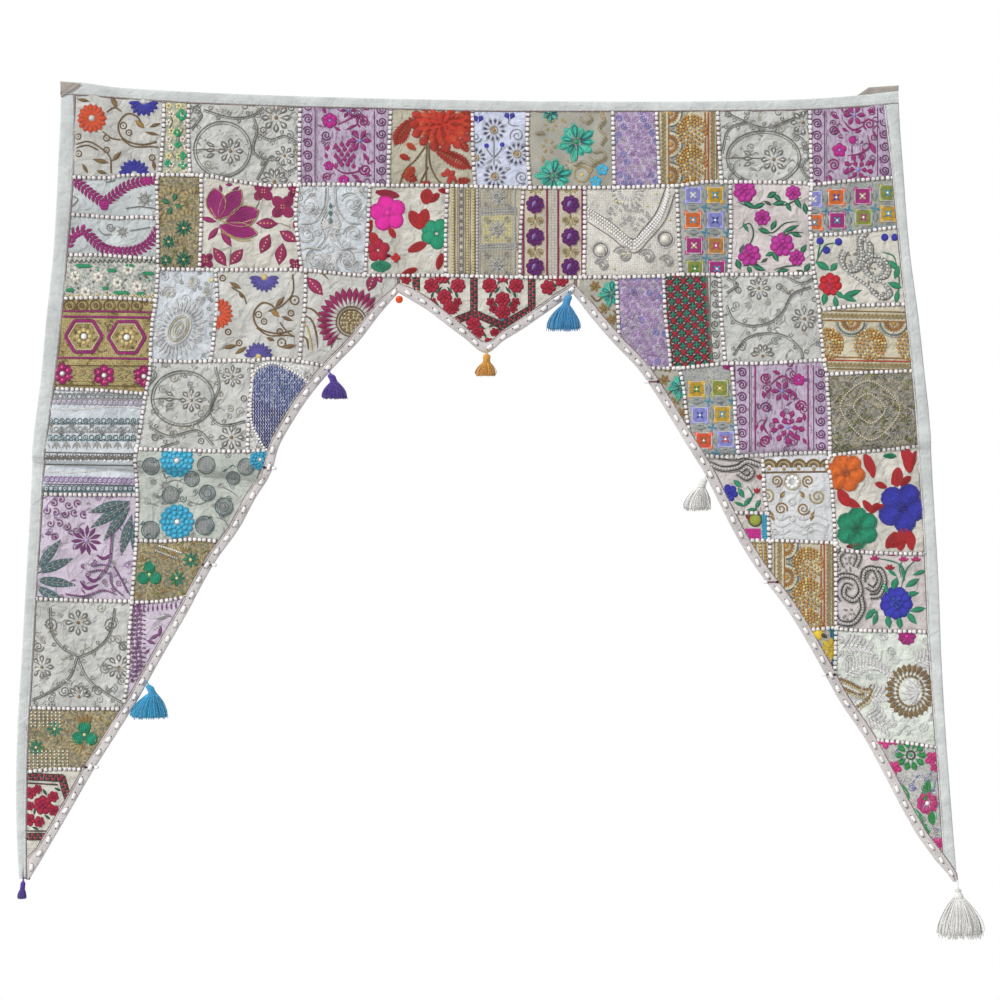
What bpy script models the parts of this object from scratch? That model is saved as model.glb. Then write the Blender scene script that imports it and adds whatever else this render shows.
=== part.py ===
"""A patchwork door hanging, or toran: a cloth valance with a top band, two long pointed legs and a small
middle drop, its edges bound with folded strips, and tassels along the doorway edge.

Metres, +Z up. The origin is at the middle of the top edge and the front faces -Y. The tables below are in
millimetres: across is the place along X, and drop is measured down from the origin.
"""

import math
from collections import namedtuple

import bmesh
import bpy
import numpy as np
from mathutils.geometry import delaunay_2d_cdt

MM = 0.001

# Cloth
PANEL_THICK = 1.6
BINDING_THICK = 1.0
GAP = 0.3
TAPE_WIDTH = 10.5
PITCH = 20.0
EDGE_CLEARANCE = 18.0
SEAM_CLEARANCE = 2.0
ROW_MATCH = 0.3

# Corner tabs, with their corners as across and drop
TAB_THICK = 1.2
LEFT_TAB = ((-452.8, -20.2), (-433.6, -19.0), (-433.9, -5.0), (-452.6, -4.2))
RIGHT_TAB = ((406.6, -5.0), (420.0, -14.4), (452.4, -16.6), (452.4, 3.0), (408.0, 5.6))

# How the cloth is divided: stations along the top, rows down, and columns in each half
TOP_STATIONS = 44
LEG_ROWS = 42
HALF_COLUMNS = 26
ROW_CLEARANCE = 8.0

# Where the folds, waves and corner ridges fade out
LEG_STARTS_ACROSS = 150
WAVES_FULL_BELOW = 60
RIDGE_MIDDLE_DROP = 80

# Tassels
STRAND_RADIUS = 0.48
STRAND_RINGS = (0.4, 1.0)
HEAD_SIDES = 10
NECK_RADIUS = 0.8
STRAND_LEAST_LENGTH = 0.82


def rows(columns, *values):
    """A short table whose columns have names."""
    row = namedtuple("Row", columns)
    return [row(*each) for each in values]


# The top edge sags between its two pulled-up corners. The seam is the binding's lower edge.
TOP = rows(
    "across edge seam",
    (-453, -20.4, -6.4),
    (-438, -20.0, -6.0),
    (-393, -14.1, -2.6),
    (-339, -10.6, 1.2),
    (-238, -6.0, 5.6),
    (-130, -2.6, 8.4),
    (0, 0.0, 11.6),
    (150, 1.3, 11.9),
    (258, 0.9, 11.4),
    (345, -1.2, 10.2),
    (408, -5.3, 7.0),
    (452, -10.2, 3.4),
)

# The outer edges of the two legs, with the inner edges of their bindings.
SIDES = rows(
    "drop left left_seam right_seam right",
    (-20, -453.1, -437.8, 434.5, 452.4),
    (0, -452.8, -437.7, 435.6, 452.4),
    (80, -455.7, -438.9, 444.7, 457.4),
    (160, -460.3, -445.2, 452.4, 463.8),
    (240, -468.7, -452.4, 460.6, 474.1),
    (300, -474.1, -458.8, 466.4, 480.6),
    (340, -479.4, -464.4, 469.9, 485.0),
    (375, -482.9, -468.7, 472.2, 487.2),
    (405, -484.1, -471.2, 474.4, 488.6),
    (440, -485.8, -473.2, 477.3, 490.9),
    (520, -490.2, -478.0, 481.6, 495.6),
    (600, -495.0, -482.7, 484.6, 498.3),
    (680, -499.9, -487.7, 490.6, 502.7),
    (760, -501.3, -489.8, 496.4, 508.7),
    (820, -499.4, -489.9, 500.4, 513.6),
    (846, -497.9, -489.9, 502.6, 515.9),
)

# The doorway edges of the two legs, from the apexes to the tips.
DOORWAY = rows(
    "drop left right",
    (207.5, -88.0, 100.4),
    (230, -107.4, 116.6),
    (258, -128.9, 140.2),
    (292, -161.1, 172.2),
    (320, -184.0, 191.6),
    (348, -202.6, 208.8),
    (374, -216.9, 224.4),
    (401, -224.6, 241.3),
    (430, -242.2, 255.9),
    (464, -260.8, 273.1),
    (496, -284.1, 291.9),
    (557, -317.9, 336.2),
    (607, -346.9, 365.5),
    (648, -369.8, 388.0),
    (688, -394.7, 415.0),
    (728, -420.1, 436.6),
    (773, -446.0, 460.4),
    (811, -468.3, 483.7),
    (826, -477.1, 496.2),
    (844, -487.0, 511.2),
)

# The edge of the middle drop, with the upper edge of its tape.
MIDDLE = rows(
    "across edge seam",
    (-88.0, 207.5, 197.8),
    (-71.3, 217.7, 204.4),
    (-57.0, 226.3, 213.2),
    (-43.2, 236.8, 223.7),
    (-18.0, 255.8, 243.2),
    (7.6, 272.8, 261.4),
    (25.9, 259.4, 247.8),
    (43.2, 248.9, 236.4),
    (67.4, 232.3, 219.6),
    (84.0, 220.6, 207.9),
    (100.4, 209.1, 198.0),
)

# Places across of the middle tape's stations.
MIDDLE_STEPS = (-88.0, -71.3, -57.0, -43.2, -26.0, -9.0, 7.6, 25.9, 43.2, 59.0, 75.0, 88.0, 100.4)

# The ends of the bindings and of the tape at the tips, after their last even row: pairs of points, each
# across and drop, first on the outer edge and then on the seam. The tape laps over the right binding's end.
BINDING_ENDS = {
    -1: {"last_row": 834, "pairs": (((-498.1, 841.0), (-489.9, 841.0)),)},
    1: {
        "last_row": 802,
        "pairs": (((512.6, 808.0), (499.4, 804.0)), ((514.6, 832.6), (500.2, 812.8))),
    },
}
TAPE_ENDS = {
    -1: {
        "last_row": 812,
        "pairs": (((-474.7, 822.0), (-489.4, 818.0)), ((-486.9, 841.6), (-489.4, 841.6))),
    },
    1: {
        "last_row": 794,
        "pairs": (
            ((476.6, 800.0), (489.9, 800.0)),
            ((492.9, 822.0), (505.6, 821.4)),
            ((504.6, 835.0), (514.6, 835.0)),
            ((510.4, 843.6), (515.7, 843.6)),
        ),
    },
}

# The panel's own corners at the tips, inside the pockets of the binding and the tape.
LEFT_TIP = ((-488.3, 838.0), (-496.6, 838.0))
RIGHT_TIP = ((512.0, 826.0), (510.0, 836.0), (506.9, 834.0))

# The fold across each leg from when the hanging lay folded: its crease runs along row, rising by slope.
FOLDS = rows(
    "side row slope middle reach depth",
    (-1, 397, 0.081, -359, 150, 1.0),
    (1, 378, -0.047, 361, 150, 0.6),
)

# Across a fold the cloth swells forwards above the crease and falls back below it.
FOLD_SHAPE = rows(
    "below depth",
    (-60, 0.0),
    (-26, -1.5),
    (-10, -5.0),
    (-2, -6.0),
    (3, 1.0),
    (12, -0.5),
    (28, -2.2),
    (60, 0.0),
)

# Slow waves of the hanging cloth: how deep, and how long across and down.
WAVES = rows(
    "depth across down shift",
    (1.6, 310, 900, 0.4),
    (1.1, 170, 420, 1.9),
    (0.6, 130, -260, 3.1),
)

# The corners are pulled up and out, which raises a soft ridge running down and in from each.
CORNER_RIDGES = rows(
    "across drop lean width depth",
    (-453, -20, 0.62, 26, -2.6),
    (452, -10, -0.70, 30, -2.2),
)

# A tassel's head, neck at the top: radius as a share of the head's, and place down from neck to skirt.
HEAD_SHAPE = rows(
    "radius down",
    (0.42, 0.36),
    (0.86, 0.48),
    (1.00, 0.62),
    (0.88, 0.76),
    (0.82, 0.84),
    (1.14, 1.00),
)

# The large tassel's head: an oval glass bead over a cone.
CAP_SHAPE = rows(
    "radius down",
    (0.55, 0.24),
    (0.80, 0.34),
    (0.74, 0.45),
    (0.36, 0.54),
    (0.62, 0.68),
    (1.00, 1.00),
)

# Tassels: where the neck meets the tape, the head's foot and radius, and the skirt's foot, half width and
# half depth. Forward is how far in front of the cloth's middle the head and the skirt's foot hang.
TASSELS = rows(
    "name shape neck_x neck_drop head_x head_drop radius skirt_x skirt_drop half_width half_depth "
    "forward skirt_forward strands colour",
    ("tassel_left_tip", "head", -492.6, 838.0, -493.6, 852.0, 2.9, -494.2, 862.0, 5.2, 4.0,
     5.8, 6.4, 10, (0.043, 0.008, 0.190)),
    ("tassel_left_leg", "head", -359.8, 626.0, -352.8, 640.0, 4.6, -356.4, 669.0, 21.0, 11.0,
     5.2, 6.5, 28, (0.028, 0.376, 0.624)),
    ("tassel_left_upper", "head", -163.4, 290.6, -157.2, 304.6, 4.5, -156.6, 323.8, 14.8, 9.0,
     5.2, 5.9, 26, (0.043, 0.008, 0.190)),
    ("tassel_centre", "head", 7.6, 268.6, 7.0, 283.4, 4.3, 6.4, 298.8, 11.8, 8.0,
     4.8, 5.2, 24, (0.807, 0.392, 0.042)),
    ("tassel_right_apex", "head", 98.0, 204.6, 92.4, 221.6, 4.5, 90.2, 251.0, 19.0, 8.0,
     10.4, 12.8, 28, (0.047, 0.328, 0.638)),
    ("tassel_right_leg", "head", 243.8, 403.6, 238.8, 418.0, 4.5, 234.2, 444.4, 15.6, 9.0,
     5.2, 5.9, 26, (0.716, 0.665, 0.584)),
    ("tassel_right_tip", "cap", 515.0, 841.0, 516.2, 860.3, 5.6, 518.4, 905.8, 25.6, 13.0,
     6.4, 7.0, 52, (0.716, 0.665, 0.584)),
)

# The bead at the left apex.
BEAD_X = -87.2
BEAD_DROP = 215.2
BEAD_RADIUS = 4.0
BEAD_NECK_DROP = 204.8
BEAD_FORWARD = 3.6

COLOURS = {
    "panel": (0.55, 0.46, 0.42),
    "binding": (0.56, 0.57, 0.53),
    "tape": (0.60, 0.56, 0.52),
    "tab": (0.30, 0.27, 0.24),
    "bead": (0.80, 0.20, 0.04),
}

HALF_PANEL = PANEL_THICK / 2
HALF_POCKET = HALF_PANEL + GAP
HALF_BINDING = HALF_POCKET + BINDING_THICK
PANEL_INSET = BINDING_THICK + GAP


def clear_scene():
    for thing in list(bpy.data.objects):
        bpy.data.objects.remove(thing, do_unlink=True)


def material(name, colour, roughness=0.85):
    made = bpy.data.materials.new(name)
    made.use_nodes = True
    shader = made.node_tree.nodes["Principled BSDF"]
    shader.inputs["Base Color"].default_value = (*colour, 1.0)
    shader.inputs["Roughness"].default_value = roughness
    shader.inputs["Metallic"].default_value = 0.0
    return made


def place(name, mesh_data, colour, roughness=0.85):
    """Makes the named object from a bmesh whose faces are put facing out."""
    bmesh.ops.recalc_face_normals(mesh_data, faces=mesh_data.faces)
    mesh = bpy.data.meshes.new(name)
    mesh_data.to_mesh(mesh)
    mesh_data.free()
    mesh.materials.append(material(name, colour, roughness))
    thing = bpy.data.objects.new(name, mesh)
    bpy.context.scene.collection.objects.link(thing)
    return thing


def smooth_between(table, key, column, at):
    """A soft curve through a table's points, straight past its ends."""
    keys = [getattr(row, key) for row in table]
    values = [getattr(row, column) for row in table]
    slopes = np.gradient(values, keys)
    at = min(max(at, keys[0]), keys[-1])
    i = min(int(np.searchsorted(keys, at, side="right")) - 1, len(keys) - 2)
    span = keys[i + 1] - keys[i]
    t = (at - keys[i]) / span
    start = (1 + 2 * t) * (1 - t) ** 2 * values[i] + t * (1 - t) ** 2 * span * slopes[i]
    end = t * t * (3 - 2 * t) * values[i + 1] + t * t * (t - 1) * span * slopes[i + 1]
    return start + end


def fold_of(across):
    return FOLDS[0] if across < 0 else FOLDS[1]


def tilt(row, across):
    """How far a row of the cloth lies below level there: rows run along the fold near it, and level away from it."""
    fold = fold_of(across)
    near = max(0.0, 1 - abs(row - fold.row) / fold.reach)
    return fold.slope * (across - fold.middle) * near


def row_at(across, drop):
    row = drop
    for _ in range(4):
        row = drop - tilt(row, across)
    return row


def depth_at(across, drop):
    """The cloth's middle surface, as its place along Y in millimetres; forwards is negative."""
    depth = 0.0
    for wave in WAVES:
        turn = across / wave.across + drop / wave.down
        strength = min(1, max(0, drop) / WAVES_FULL_BELOW)
        depth += wave.depth * math.sin(2 * math.pi * turn + wave.shift) * strength
    for ridge in CORNER_RIDGES:
        off = across - ridge.across - (drop - ridge.drop) * ridge.lean
        fade = max(0.0, 1 - abs(drop - RIDGE_MIDDLE_DROP) / RIDGE_MIDDLE_DROP)
        depth += ridge.depth * fade * math.exp(-((off / ridge.width) ** 2))
    fold = fold_of(across)
    below = row_at(across, drop) - fold.row
    steps = [step.below for step in FOLD_SHAPE]
    depths = [step.depth for step in FOLD_SHAPE]
    if abs(across) > LEG_STARTS_ACROSS:
        depth += fold.depth * float(np.interp(below, steps, depths))
    return depth


def point(across, drop, forward=0.0):
    """A point in metres, forward of the cloth's middle surface by that many millimetres."""
    return (across * MM, (depth_at(across, drop) - forward) * MM, -drop * MM)


def rows_of_leg(side):
    """The rows on which one half of the cloth has points: even ones, and the creases of its fold."""
    creases = [fold_of(side).row + step.below for step in FOLD_SHAPE]
    even = [PITCH * k for k in range(LEG_ROWS)]
    kept = [row for row in even if min(abs(row - crease) for crease in creases) > ROW_CLEARANCE]
    return sorted(creases + kept)


def on_row(edge, row):
    """The point at which an edge, given as across by drop, crosses a row of the cloth."""
    drop = row
    for _ in range(5):
        across = edge(drop)
        drop = row + tilt(row, across)
    return edge(drop), drop


def tape_width(side, drop):
    """The tape's width along a level line: wider on a slant, and narrow where it ends at the tip."""
    column = "left" if side < 0 else "right"
    reach = 12.0
    run = abs(
        smooth_between(DOORWAY, "drop", column, drop + reach)
        - smooth_between(DOORWAY, "drop", column, drop - reach)
    )
    return TAPE_WIDTH * math.hypot(1, run / (2 * reach))


def station(outer, inner):
    """A place along a strip: its point on the outer edge and its point on the seam."""
    return {"outer": outer, "inner": inner}


def top_stations():
    """From left to right along the top edge."""
    first, last = TOP[0].across, TOP[-1].across
    made = []
    for k in range(TOP_STATIONS + 1):
        across = first + (last - first) * k / TOP_STATIONS
        edge = smooth_between(TOP, "across", "edge", across)
        seam = smooth_between(TOP, "across", "seam", across)
        made.append(station((across, edge), (across, seam)))
    return made


def side_stations(side):
    """Down the outer edge of one leg, from under the top binding to the tip."""
    column = "left" if side < 0 else "right"
    made = []
    corner = [smooth_between(SIDES, "drop", name, 0) for name in (column, column + "_seam")]
    start = [(x, smooth_between(TOP, "across", "seam", x) + GAP) for x in corner]
    made.append(station(*start))
    for row in rows_of_leg(side):
        if PITCH * 0.6 < row < BINDING_ENDS[side]["last_row"]:
            outer = on_row(lambda drop: smooth_between(SIDES, "drop", column, drop), row)
            inner = on_row(lambda drop: smooth_between(SIDES, "drop", column + "_seam", drop), row)
            made.append(station(outer, inner))
    return made + [station(*pair) for pair in BINDING_ENDS[side]["pairs"]]


def leg_tape_stations(side):
    """Down the doorway edge of one leg, from just below its apex to the tip."""
    column = "left" if side < 0 else "right"

    def doorway(drop):
        return smooth_between(DOORWAY, "drop", column, drop)

    def seam(drop):
        return doorway(drop) + side * tape_width(side, drop)

    made = []
    for row in rows_of_leg(side):
        if DOORWAY[0].drop + PITCH / 2 < row < TAPE_ENDS[side]["last_row"]:
            made.append(station(on_row(doorway, row), on_row(seam, row)))
    return made + [station(*pair) for pair in TAPE_ENDS[side]["pairs"]]


def middle_stations():
    """Along the middle drop, from the left apex round its point to the right apex."""
    made = []
    for across in MIDDLE_STEPS:
        edge = smooth_between(MIDDLE, "across", "edge", across)
        seam = smooth_between(MIDDLE, "across", "seam", across)
        made.append(station((across, edge), (across, seam)))
    return made


def tape_stations():
    """The whole tape: left tip, left apex, middle point, right apex, right tip."""
    left = leg_tape_stations(-1)[::-1]
    right = leg_tape_stations(1)
    return left + middle_stations() + right


def strip(name, stations, colour):
    """A strip folded over the cloth's edge: a U section with one end of its pocket open to the cloth."""
    made = bmesh.new()
    rings = []
    for each in stations:
        outer = np.array(each["outer"])
        inner = np.array(each["inner"])
        width = float(np.linalg.norm(inner - outer))
        share = BINDING_THICK / width
        levels = (depth_at(*outer), depth_at(*inner))
        section = (
            (0, HALF_BINDING),
            (1, HALF_BINDING),
            (1, HALF_POCKET),
            (share, HALF_POCKET),
            (share, -HALF_POCKET),
            (1, -HALF_POCKET),
            (1, -HALF_BINDING),
            (0, -HALF_BINDING),
        )
        ring = []
        for along, forward in section:
            across, drop = outer + (inner - outer) * along
            level = levels[0] + (levels[1] - levels[0]) * along
            ring.append(made.verts.new((across * MM, (level - forward) * MM, -drop * MM)))
        rings.append(ring)
    for ring, following in zip(rings, rings[1:]):
        for k in range(len(ring)):
            after = (k + 1) % len(ring)
            made.faces.new((ring[k], ring[after], following[after], following[k]))
    made.faces.new(rings[0])
    made.faces.new(rings[-1][::-1])
    return place(name, made, colour)


def inset(each, distance=PANEL_INSET):
    outer = np.array(each["outer"])
    inner = np.array(each["inner"])
    return outer + (inner - outer) * distance / float(np.linalg.norm(inner - outer))


def panel_outline():
    """The patchwork's own edge, inside the pockets of its bindings, clockwise from the top left corner."""
    top = [inset(each) for each in top_stations()]
    top[0][0] += PANEL_INSET
    top[-1][0] -= PANEL_INSET
    right = [inset(each) for each in side_stations(1)[:-1]]
    left = [inset(each) for each in side_stations(-1)[:-1]]
    right_tip = [np.array(each) for each in RIGHT_TIP]
    left_tip = [np.array(each) for each in LEFT_TIP]
    opening = [inset(each) for each in tape_stations()[2:-3]][::-1]
    return top + right + right_tip + opening + left_tip + left[::-1]


def is_well_inside(spot, outline, clearance):
    """True where a point lies inside the outline, and not as close to it as the clearance."""
    starts = np.array(outline)
    ends = np.roll(starts, -1, axis=0)
    runs = ends - starts
    along = np.clip(((spot - starts) * runs).sum(1) / (runs * runs).sum(1), 0, 1)
    nearest = np.linalg.norm(starts + runs * along[:, None] - spot, axis=1).min()
    crossing = (starts[:, 1] > spot[1]) != (ends[:, 1] > spot[1])
    rise = np.where(runs[:, 1] == 0, 1, runs[:, 1])
    meets = starts[:, 0] + (spot[1] - starts[:, 1]) * runs[:, 0] / rise
    return (crossing & (meets > spot[0])).sum() % 2 == 1 and nearest > clearance


def panel_spots(outline):
    """Where the patchwork has points: its edge, the seams of its bindings, and its rows in between."""
    spots = [tuple(each) for each in outline]
    bound = top_stations() + side_stations(-1) + side_stations(1) + tape_stations()
    for each in bound:
        if is_well_inside(np.array(each["inner"]), outline, SEAM_CLEARANCE):
            spots.append(each["inner"])
    for side in (-1, 1):
        for row in rows_of_leg(side):
            for k in range(HALF_COLUMNS):
                across = side * PITCH * (k + 0.5)
                spot = (across, row + tilt(row, across))
                if is_well_inside(np.array(spot), outline, EDGE_CLEARANCE):
                    spots.append(spot)
    return spots


def crease_edges(spots):
    """Edges that join the points along each crease, so that no face lies across a fold."""
    edges = []
    for fold in FOLDS:
        for step in FOLD_SHAPE:
            crease = fold.row + step.below
            met = [
                k
                for k, (across, drop) in enumerate(spots)
                if across * fold.side > LEG_STARTS_ACROSS
                and abs(row_at(across, drop) - crease) < ROW_MATCH
            ]
            met.sort(key=lambda k: spots[k][0])
            edges += list(zip(met, met[1:]))
    return edges


def panel():
    """The patchwork: one sheet with points along the rows of the cloth, so that its folds stay crisp."""
    outline = panel_outline()
    spots = panel_spots(outline)
    found = delaunay_2d_cdt(spots, crease_edges(spots), [list(range(len(outline)))], 1, 1e-4)
    made = bmesh.new()
    corners = [made.verts.new(point(spot[0], spot[1], HALF_PANEL)) for spot in found[0]]
    front = [made.faces.new([corners[k] for k in face]) for face in found[2]]
    back = bmesh.ops.extrude_face_region(made, geom=front, use_keep_orig=True)["geom"]
    moved = [each for each in back if isinstance(each, bmesh.types.BMVert)]
    bmesh.ops.translate(made, verts=moved, vec=(0, PANEL_THICK * MM, 0))
    return place("panel", made, COLOURS["panel"])


def tab(name, corners, front):
    """A small flat tab, given by its corners; front is its front face's place before the cloth's middle."""
    made = bmesh.new()
    face = made.faces.new([made.verts.new(point(*corner, front)) for corner in corners])
    back = bmesh.ops.extrude_face_region(made, geom=[face], use_keep_orig=True)["geom"]
    moved = [each for each in back if isinstance(each, bmesh.types.BMVert)]
    bmesh.ops.translate(made, verts=moved, vec=(0, TAB_THICK * MM, 0))
    return place(name, made, COLOURS["tab"])


def corner_tabs():
    """The left tab is folded over the front of the corner; the right one shows above it from behind."""
    front = HALF_BINDING + GAP + TAB_THICK
    tab("corner_tab_left", LEFT_TAB, front)
    tab("corner_tab_right", RIGHT_TAB, -HALF_BINDING - GAP)


def ring_of(made, centre, radius_x, radius_y, sides=HEAD_SIDES):
    ring = []
    for k in range(sides):
        turn = 2 * math.pi * k / sides
        offset = (radius_x * math.cos(turn), radius_y * math.sin(turn), 0)
        ring.append(made.verts.new([(c + o) * MM for c, o in zip(centre, offset)]))
    return ring


def join_rings(made, ring, following):
    for k in range(len(ring)):
        after = (k + 1) % len(ring)
        made.faces.new((ring[k], ring[after], following[after], following[k]))


def strand_places(count, radius):
    """Places of the strands' roots under a head, in a sunflower's spiral."""
    golden = math.pi * (3 - math.sqrt(5))
    places = []
    for k in range(count):
        out = radius * math.sqrt((k + 0.5) / count)
        places.append((out * math.cos(golden * k), out * math.sin(golden * k)))
    return places


def tassel(each):
    """One solid: a neck, a turned head, and strands that grow from its underside and spread apart."""
    made = bmesh.new()
    level = depth_at(each.neck_x, each.neck_drop)
    neck = np.array((each.neck_x, level - HALF_BINDING - GAP - NECK_RADIUS, -each.neck_drop))
    foot = np.array((each.head_x, level - each.forward, -each.head_drop))
    rings = [
        ring_of(made, neck, NECK_RADIUS, NECK_RADIUS),
        ring_of(made, neck + (foot - neck) * 0.18, NECK_RADIUS, NECK_RADIUS),
    ]
    for step in HEAD_SHAPE if each.shape == "head" else CAP_SHAPE:
        size = each.radius * step.radius
        rings.append(ring_of(made, neck + (foot - neck) * step.down, size, size))
    made.faces.new(rings[0])
    for ring, following in zip(rings, rings[1:]):
        join_rings(made, ring, following)
    under(made, each, foot, rings[-1])
    return place(each.name, made, each.colour)


def under(made, each, foot, rim):
    """The underside of a tassel's head, with a strand drawn out of each small triangle in it."""
    rim_spots = [(v.co.x / MM - foot[0], v.co.y / MM - foot[1]) for v in rim]
    spots = list(rim_spots)
    roots = []
    root_radius = math.hypot(*rim_spots[0]) - 2.2 * STRAND_RADIUS
    for place_x, place_y in strand_places(each.strands, root_radius):
        first = len(spots)
        for k in range(3):
            turn = 2 * math.pi * (k / 3 + 0.25)
            spots.append((place_x + STRAND_RADIUS * math.cos(turn), place_y + STRAND_RADIUS * math.sin(turn)))
        roots.append((first, first + 1, first + 2))
    faces = [list(range(len(rim)))] + [list(root) for root in roots]
    found = delaunay_2d_cdt(spots, [], faces, 1, 1e-5)
    corners = []
    for spot, origins in zip(found[0], found[3]):
        if origins and origins[0] < len(rim):
            corners.append(rim[origins[0]])
        else:
            corners.append(made.verts.new(((spot[0] + foot[0]) * MM, (spot[1] + foot[1]) * MM, foot[2] * MM)))
    for face, origins in zip(found[2], found[5]):
        root = [origin - 1 for origin in origins if origin > 0]
        ring = [corners[k] for k in face]
        if not root:
            made.faces.new(ring)
            continue
        strand(made, each, foot, root_radius, ring, root[0])


def strand(made, each, foot, root_radius, ring, number):
    """One strand of a skirt, three-sided, from its root's triangle to its own length."""
    middle = sum((np.array(v.co) for v in ring), np.zeros(3)) / len(ring) / MM
    share = (middle[:2] - foot[:2]) / root_radius
    least = STRAND_LEAST_LENGTH
    length = least + (1 - least) * (0.5 + 0.5 * math.sin(2.4 * number + each.skirt_x))
    corners = [np.array(v.co) / MM - middle for v in ring]
    spread_to = np.array((
        each.skirt_x + share[0] * each.half_width,
        foot[1] - (each.skirt_forward - each.forward) + share[1] * each.half_depth,
    ))
    before = ring
    for step in STRAND_RINGS:
        eased = math.sin(step * math.pi / 2) ** 0.8
        across, back = middle[:2] + (spread_to - middle[:2]) * eased
        drop = each.head_drop + (each.skirt_drop - each.head_drop) * length * step
        centre = np.array((across, back, -drop))
        following = [made.verts.new((centre + corner) * MM) for corner in corners]
        join_rings(made, before, following)
        before = following
    made.faces.new(before[::-1])


def apex_bead():
    """A round bead on a short thread neck, one turned solid."""
    made = bmesh.new()
    level = depth_at(BEAD_X, BEAD_NECK_DROP)
    front = level - HALF_BINDING - GAP - NECK_RADIUS
    back = level - BEAD_FORWARD
    centre = np.array((BEAD_X, back, -BEAD_DROP))
    neck = np.array((BEAD_X, front, -BEAD_NECK_DROP))
    rings = [ring_of(made, neck, NECK_RADIUS, NECK_RADIUS)]
    first_turn = 0.35
    bands = 7
    for k in range(bands):
        turn = first_turn + (math.pi - 1.5 * first_turn) * k / (bands - 1)
        size = BEAD_RADIUS * math.sin(turn)
        high = centre + np.array((0, 0, BEAD_RADIUS * math.cos(turn)))
        rings.append(ring_of(made, high, size, size))
    made.faces.new(rings[0])
    for ring, following in zip(rings, rings[1:]):
        join_rings(made, ring, following)
    made.faces.new(rings[-1][::-1])
    return place("apex_bead", made, COLOURS["bead"], roughness=0.4)


def build():
    clear_scene()
    panel()
    strip("binding_top", top_stations(), COLOURS["binding"])
    strip("binding_left", side_stations(-1), COLOURS["binding"])
    strip("binding_right", side_stations(1), COLOURS["binding"])
    strip("opening_tape", tape_stations(), COLOURS["tape"])
    corner_tabs()
    for each in TASSELS:
        tassel(each)
    apex_bead()


build()
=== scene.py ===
"""The looks of a patchwork door hanging: embroidered patches, beaded seams, bound edges and tassels.

Tables are in millimetres on the hanging cloth: across is the place along X, and drop is measured down from
the middle of the top edge. The front faces -Y. Meshes are in metres.
"""

import math
import random
from collections import namedtuple

import bpy
import numpy as np
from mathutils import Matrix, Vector
from mathutils.geometry import delaunay_2d_cdt


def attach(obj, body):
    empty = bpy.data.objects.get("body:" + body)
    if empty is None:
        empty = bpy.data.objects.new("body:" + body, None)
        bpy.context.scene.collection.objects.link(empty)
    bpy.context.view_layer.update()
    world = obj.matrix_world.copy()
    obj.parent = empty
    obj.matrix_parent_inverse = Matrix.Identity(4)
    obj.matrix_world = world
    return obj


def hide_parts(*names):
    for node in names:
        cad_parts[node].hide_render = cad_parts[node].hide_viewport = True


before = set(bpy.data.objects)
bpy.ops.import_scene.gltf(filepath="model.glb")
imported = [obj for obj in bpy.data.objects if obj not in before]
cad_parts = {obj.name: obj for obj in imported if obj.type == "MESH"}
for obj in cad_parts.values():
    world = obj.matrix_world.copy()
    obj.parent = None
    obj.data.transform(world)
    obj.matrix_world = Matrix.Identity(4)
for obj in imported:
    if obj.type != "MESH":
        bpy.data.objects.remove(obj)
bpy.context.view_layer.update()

MM = 0.001


def rows(columns, *values):
    """A short table whose columns have names."""
    row = namedtuple("Row", columns)
    return [row(*each) for each in values]


# Cloth and strips, as in the model's source
HALF_PANEL = 0.8
HALF_BINDING = 2.1
STRIP_INSET = 1.3
TAPE_WIDTH = 10.5
PITCH = 20.0
LEG_STARTS_ACROSS = 150
WAVES_FULL_BELOW = 60
RIDGE_MIDDLE_DROP = 80

# Looks
GROUND_PITCH = 5.0
FOLD_PITCH = 2.5
FOLD_ZONE = 16
OVERSHOOT = 9.0
EDGE_REACH = 26.0
PUFF = 1.4
WRINKLE = 1.4
PUFF_REACH = 4.5
BEAD_PITCH = 5.3
BEAD_LENGTH = 4.6
BEAD_WIDTH = 4.0
BEAD_HEIGHT = 1.7
TAPE_BEAD_PITCH = 18.0

# The photograph's frame: its width and middle on the cloth
VIEW_WIDTH = 1080
VIEW_ACROSS = 21.6
VIEW_DROP = 431.6
VIEW_DISTANCE = 3.6
SENSOR = 36
FLOOR_LEVEL = -2.0
FLOOR_SIZE = 9.0

# Each light's strength, its width in degrees and the way it shines
KEY_LIGHT = (3.1, 12, (0.95, 0.82, -1.1))
FILL_LIGHT = (0.5, 60, (-0.6, 1.0, 0.15))
SKY_BEHIND_CAMERA = (0.36, 0.36, 0.37, 1)
SKY_BEHIND_CLOTH = (1, 1, 1, 1)
SKY_TURN = 0.75

TOP = rows(
    "across edge seam",
    (-453, -20.4, -6.4),
    (-438, -20.0, -6.0),
    (-393, -14.1, -2.6),
    (-339, -10.6, 1.2),
    (-238, -6.0, 5.6),
    (-130, -2.6, 8.4),
    (0, 0.0, 11.6),
    (150, 1.3, 11.9),
    (258, 0.9, 11.4),
    (345, -1.2, 10.2),
    (408, -5.3, 7.0),
    (452, -10.2, 3.4),
)

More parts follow.
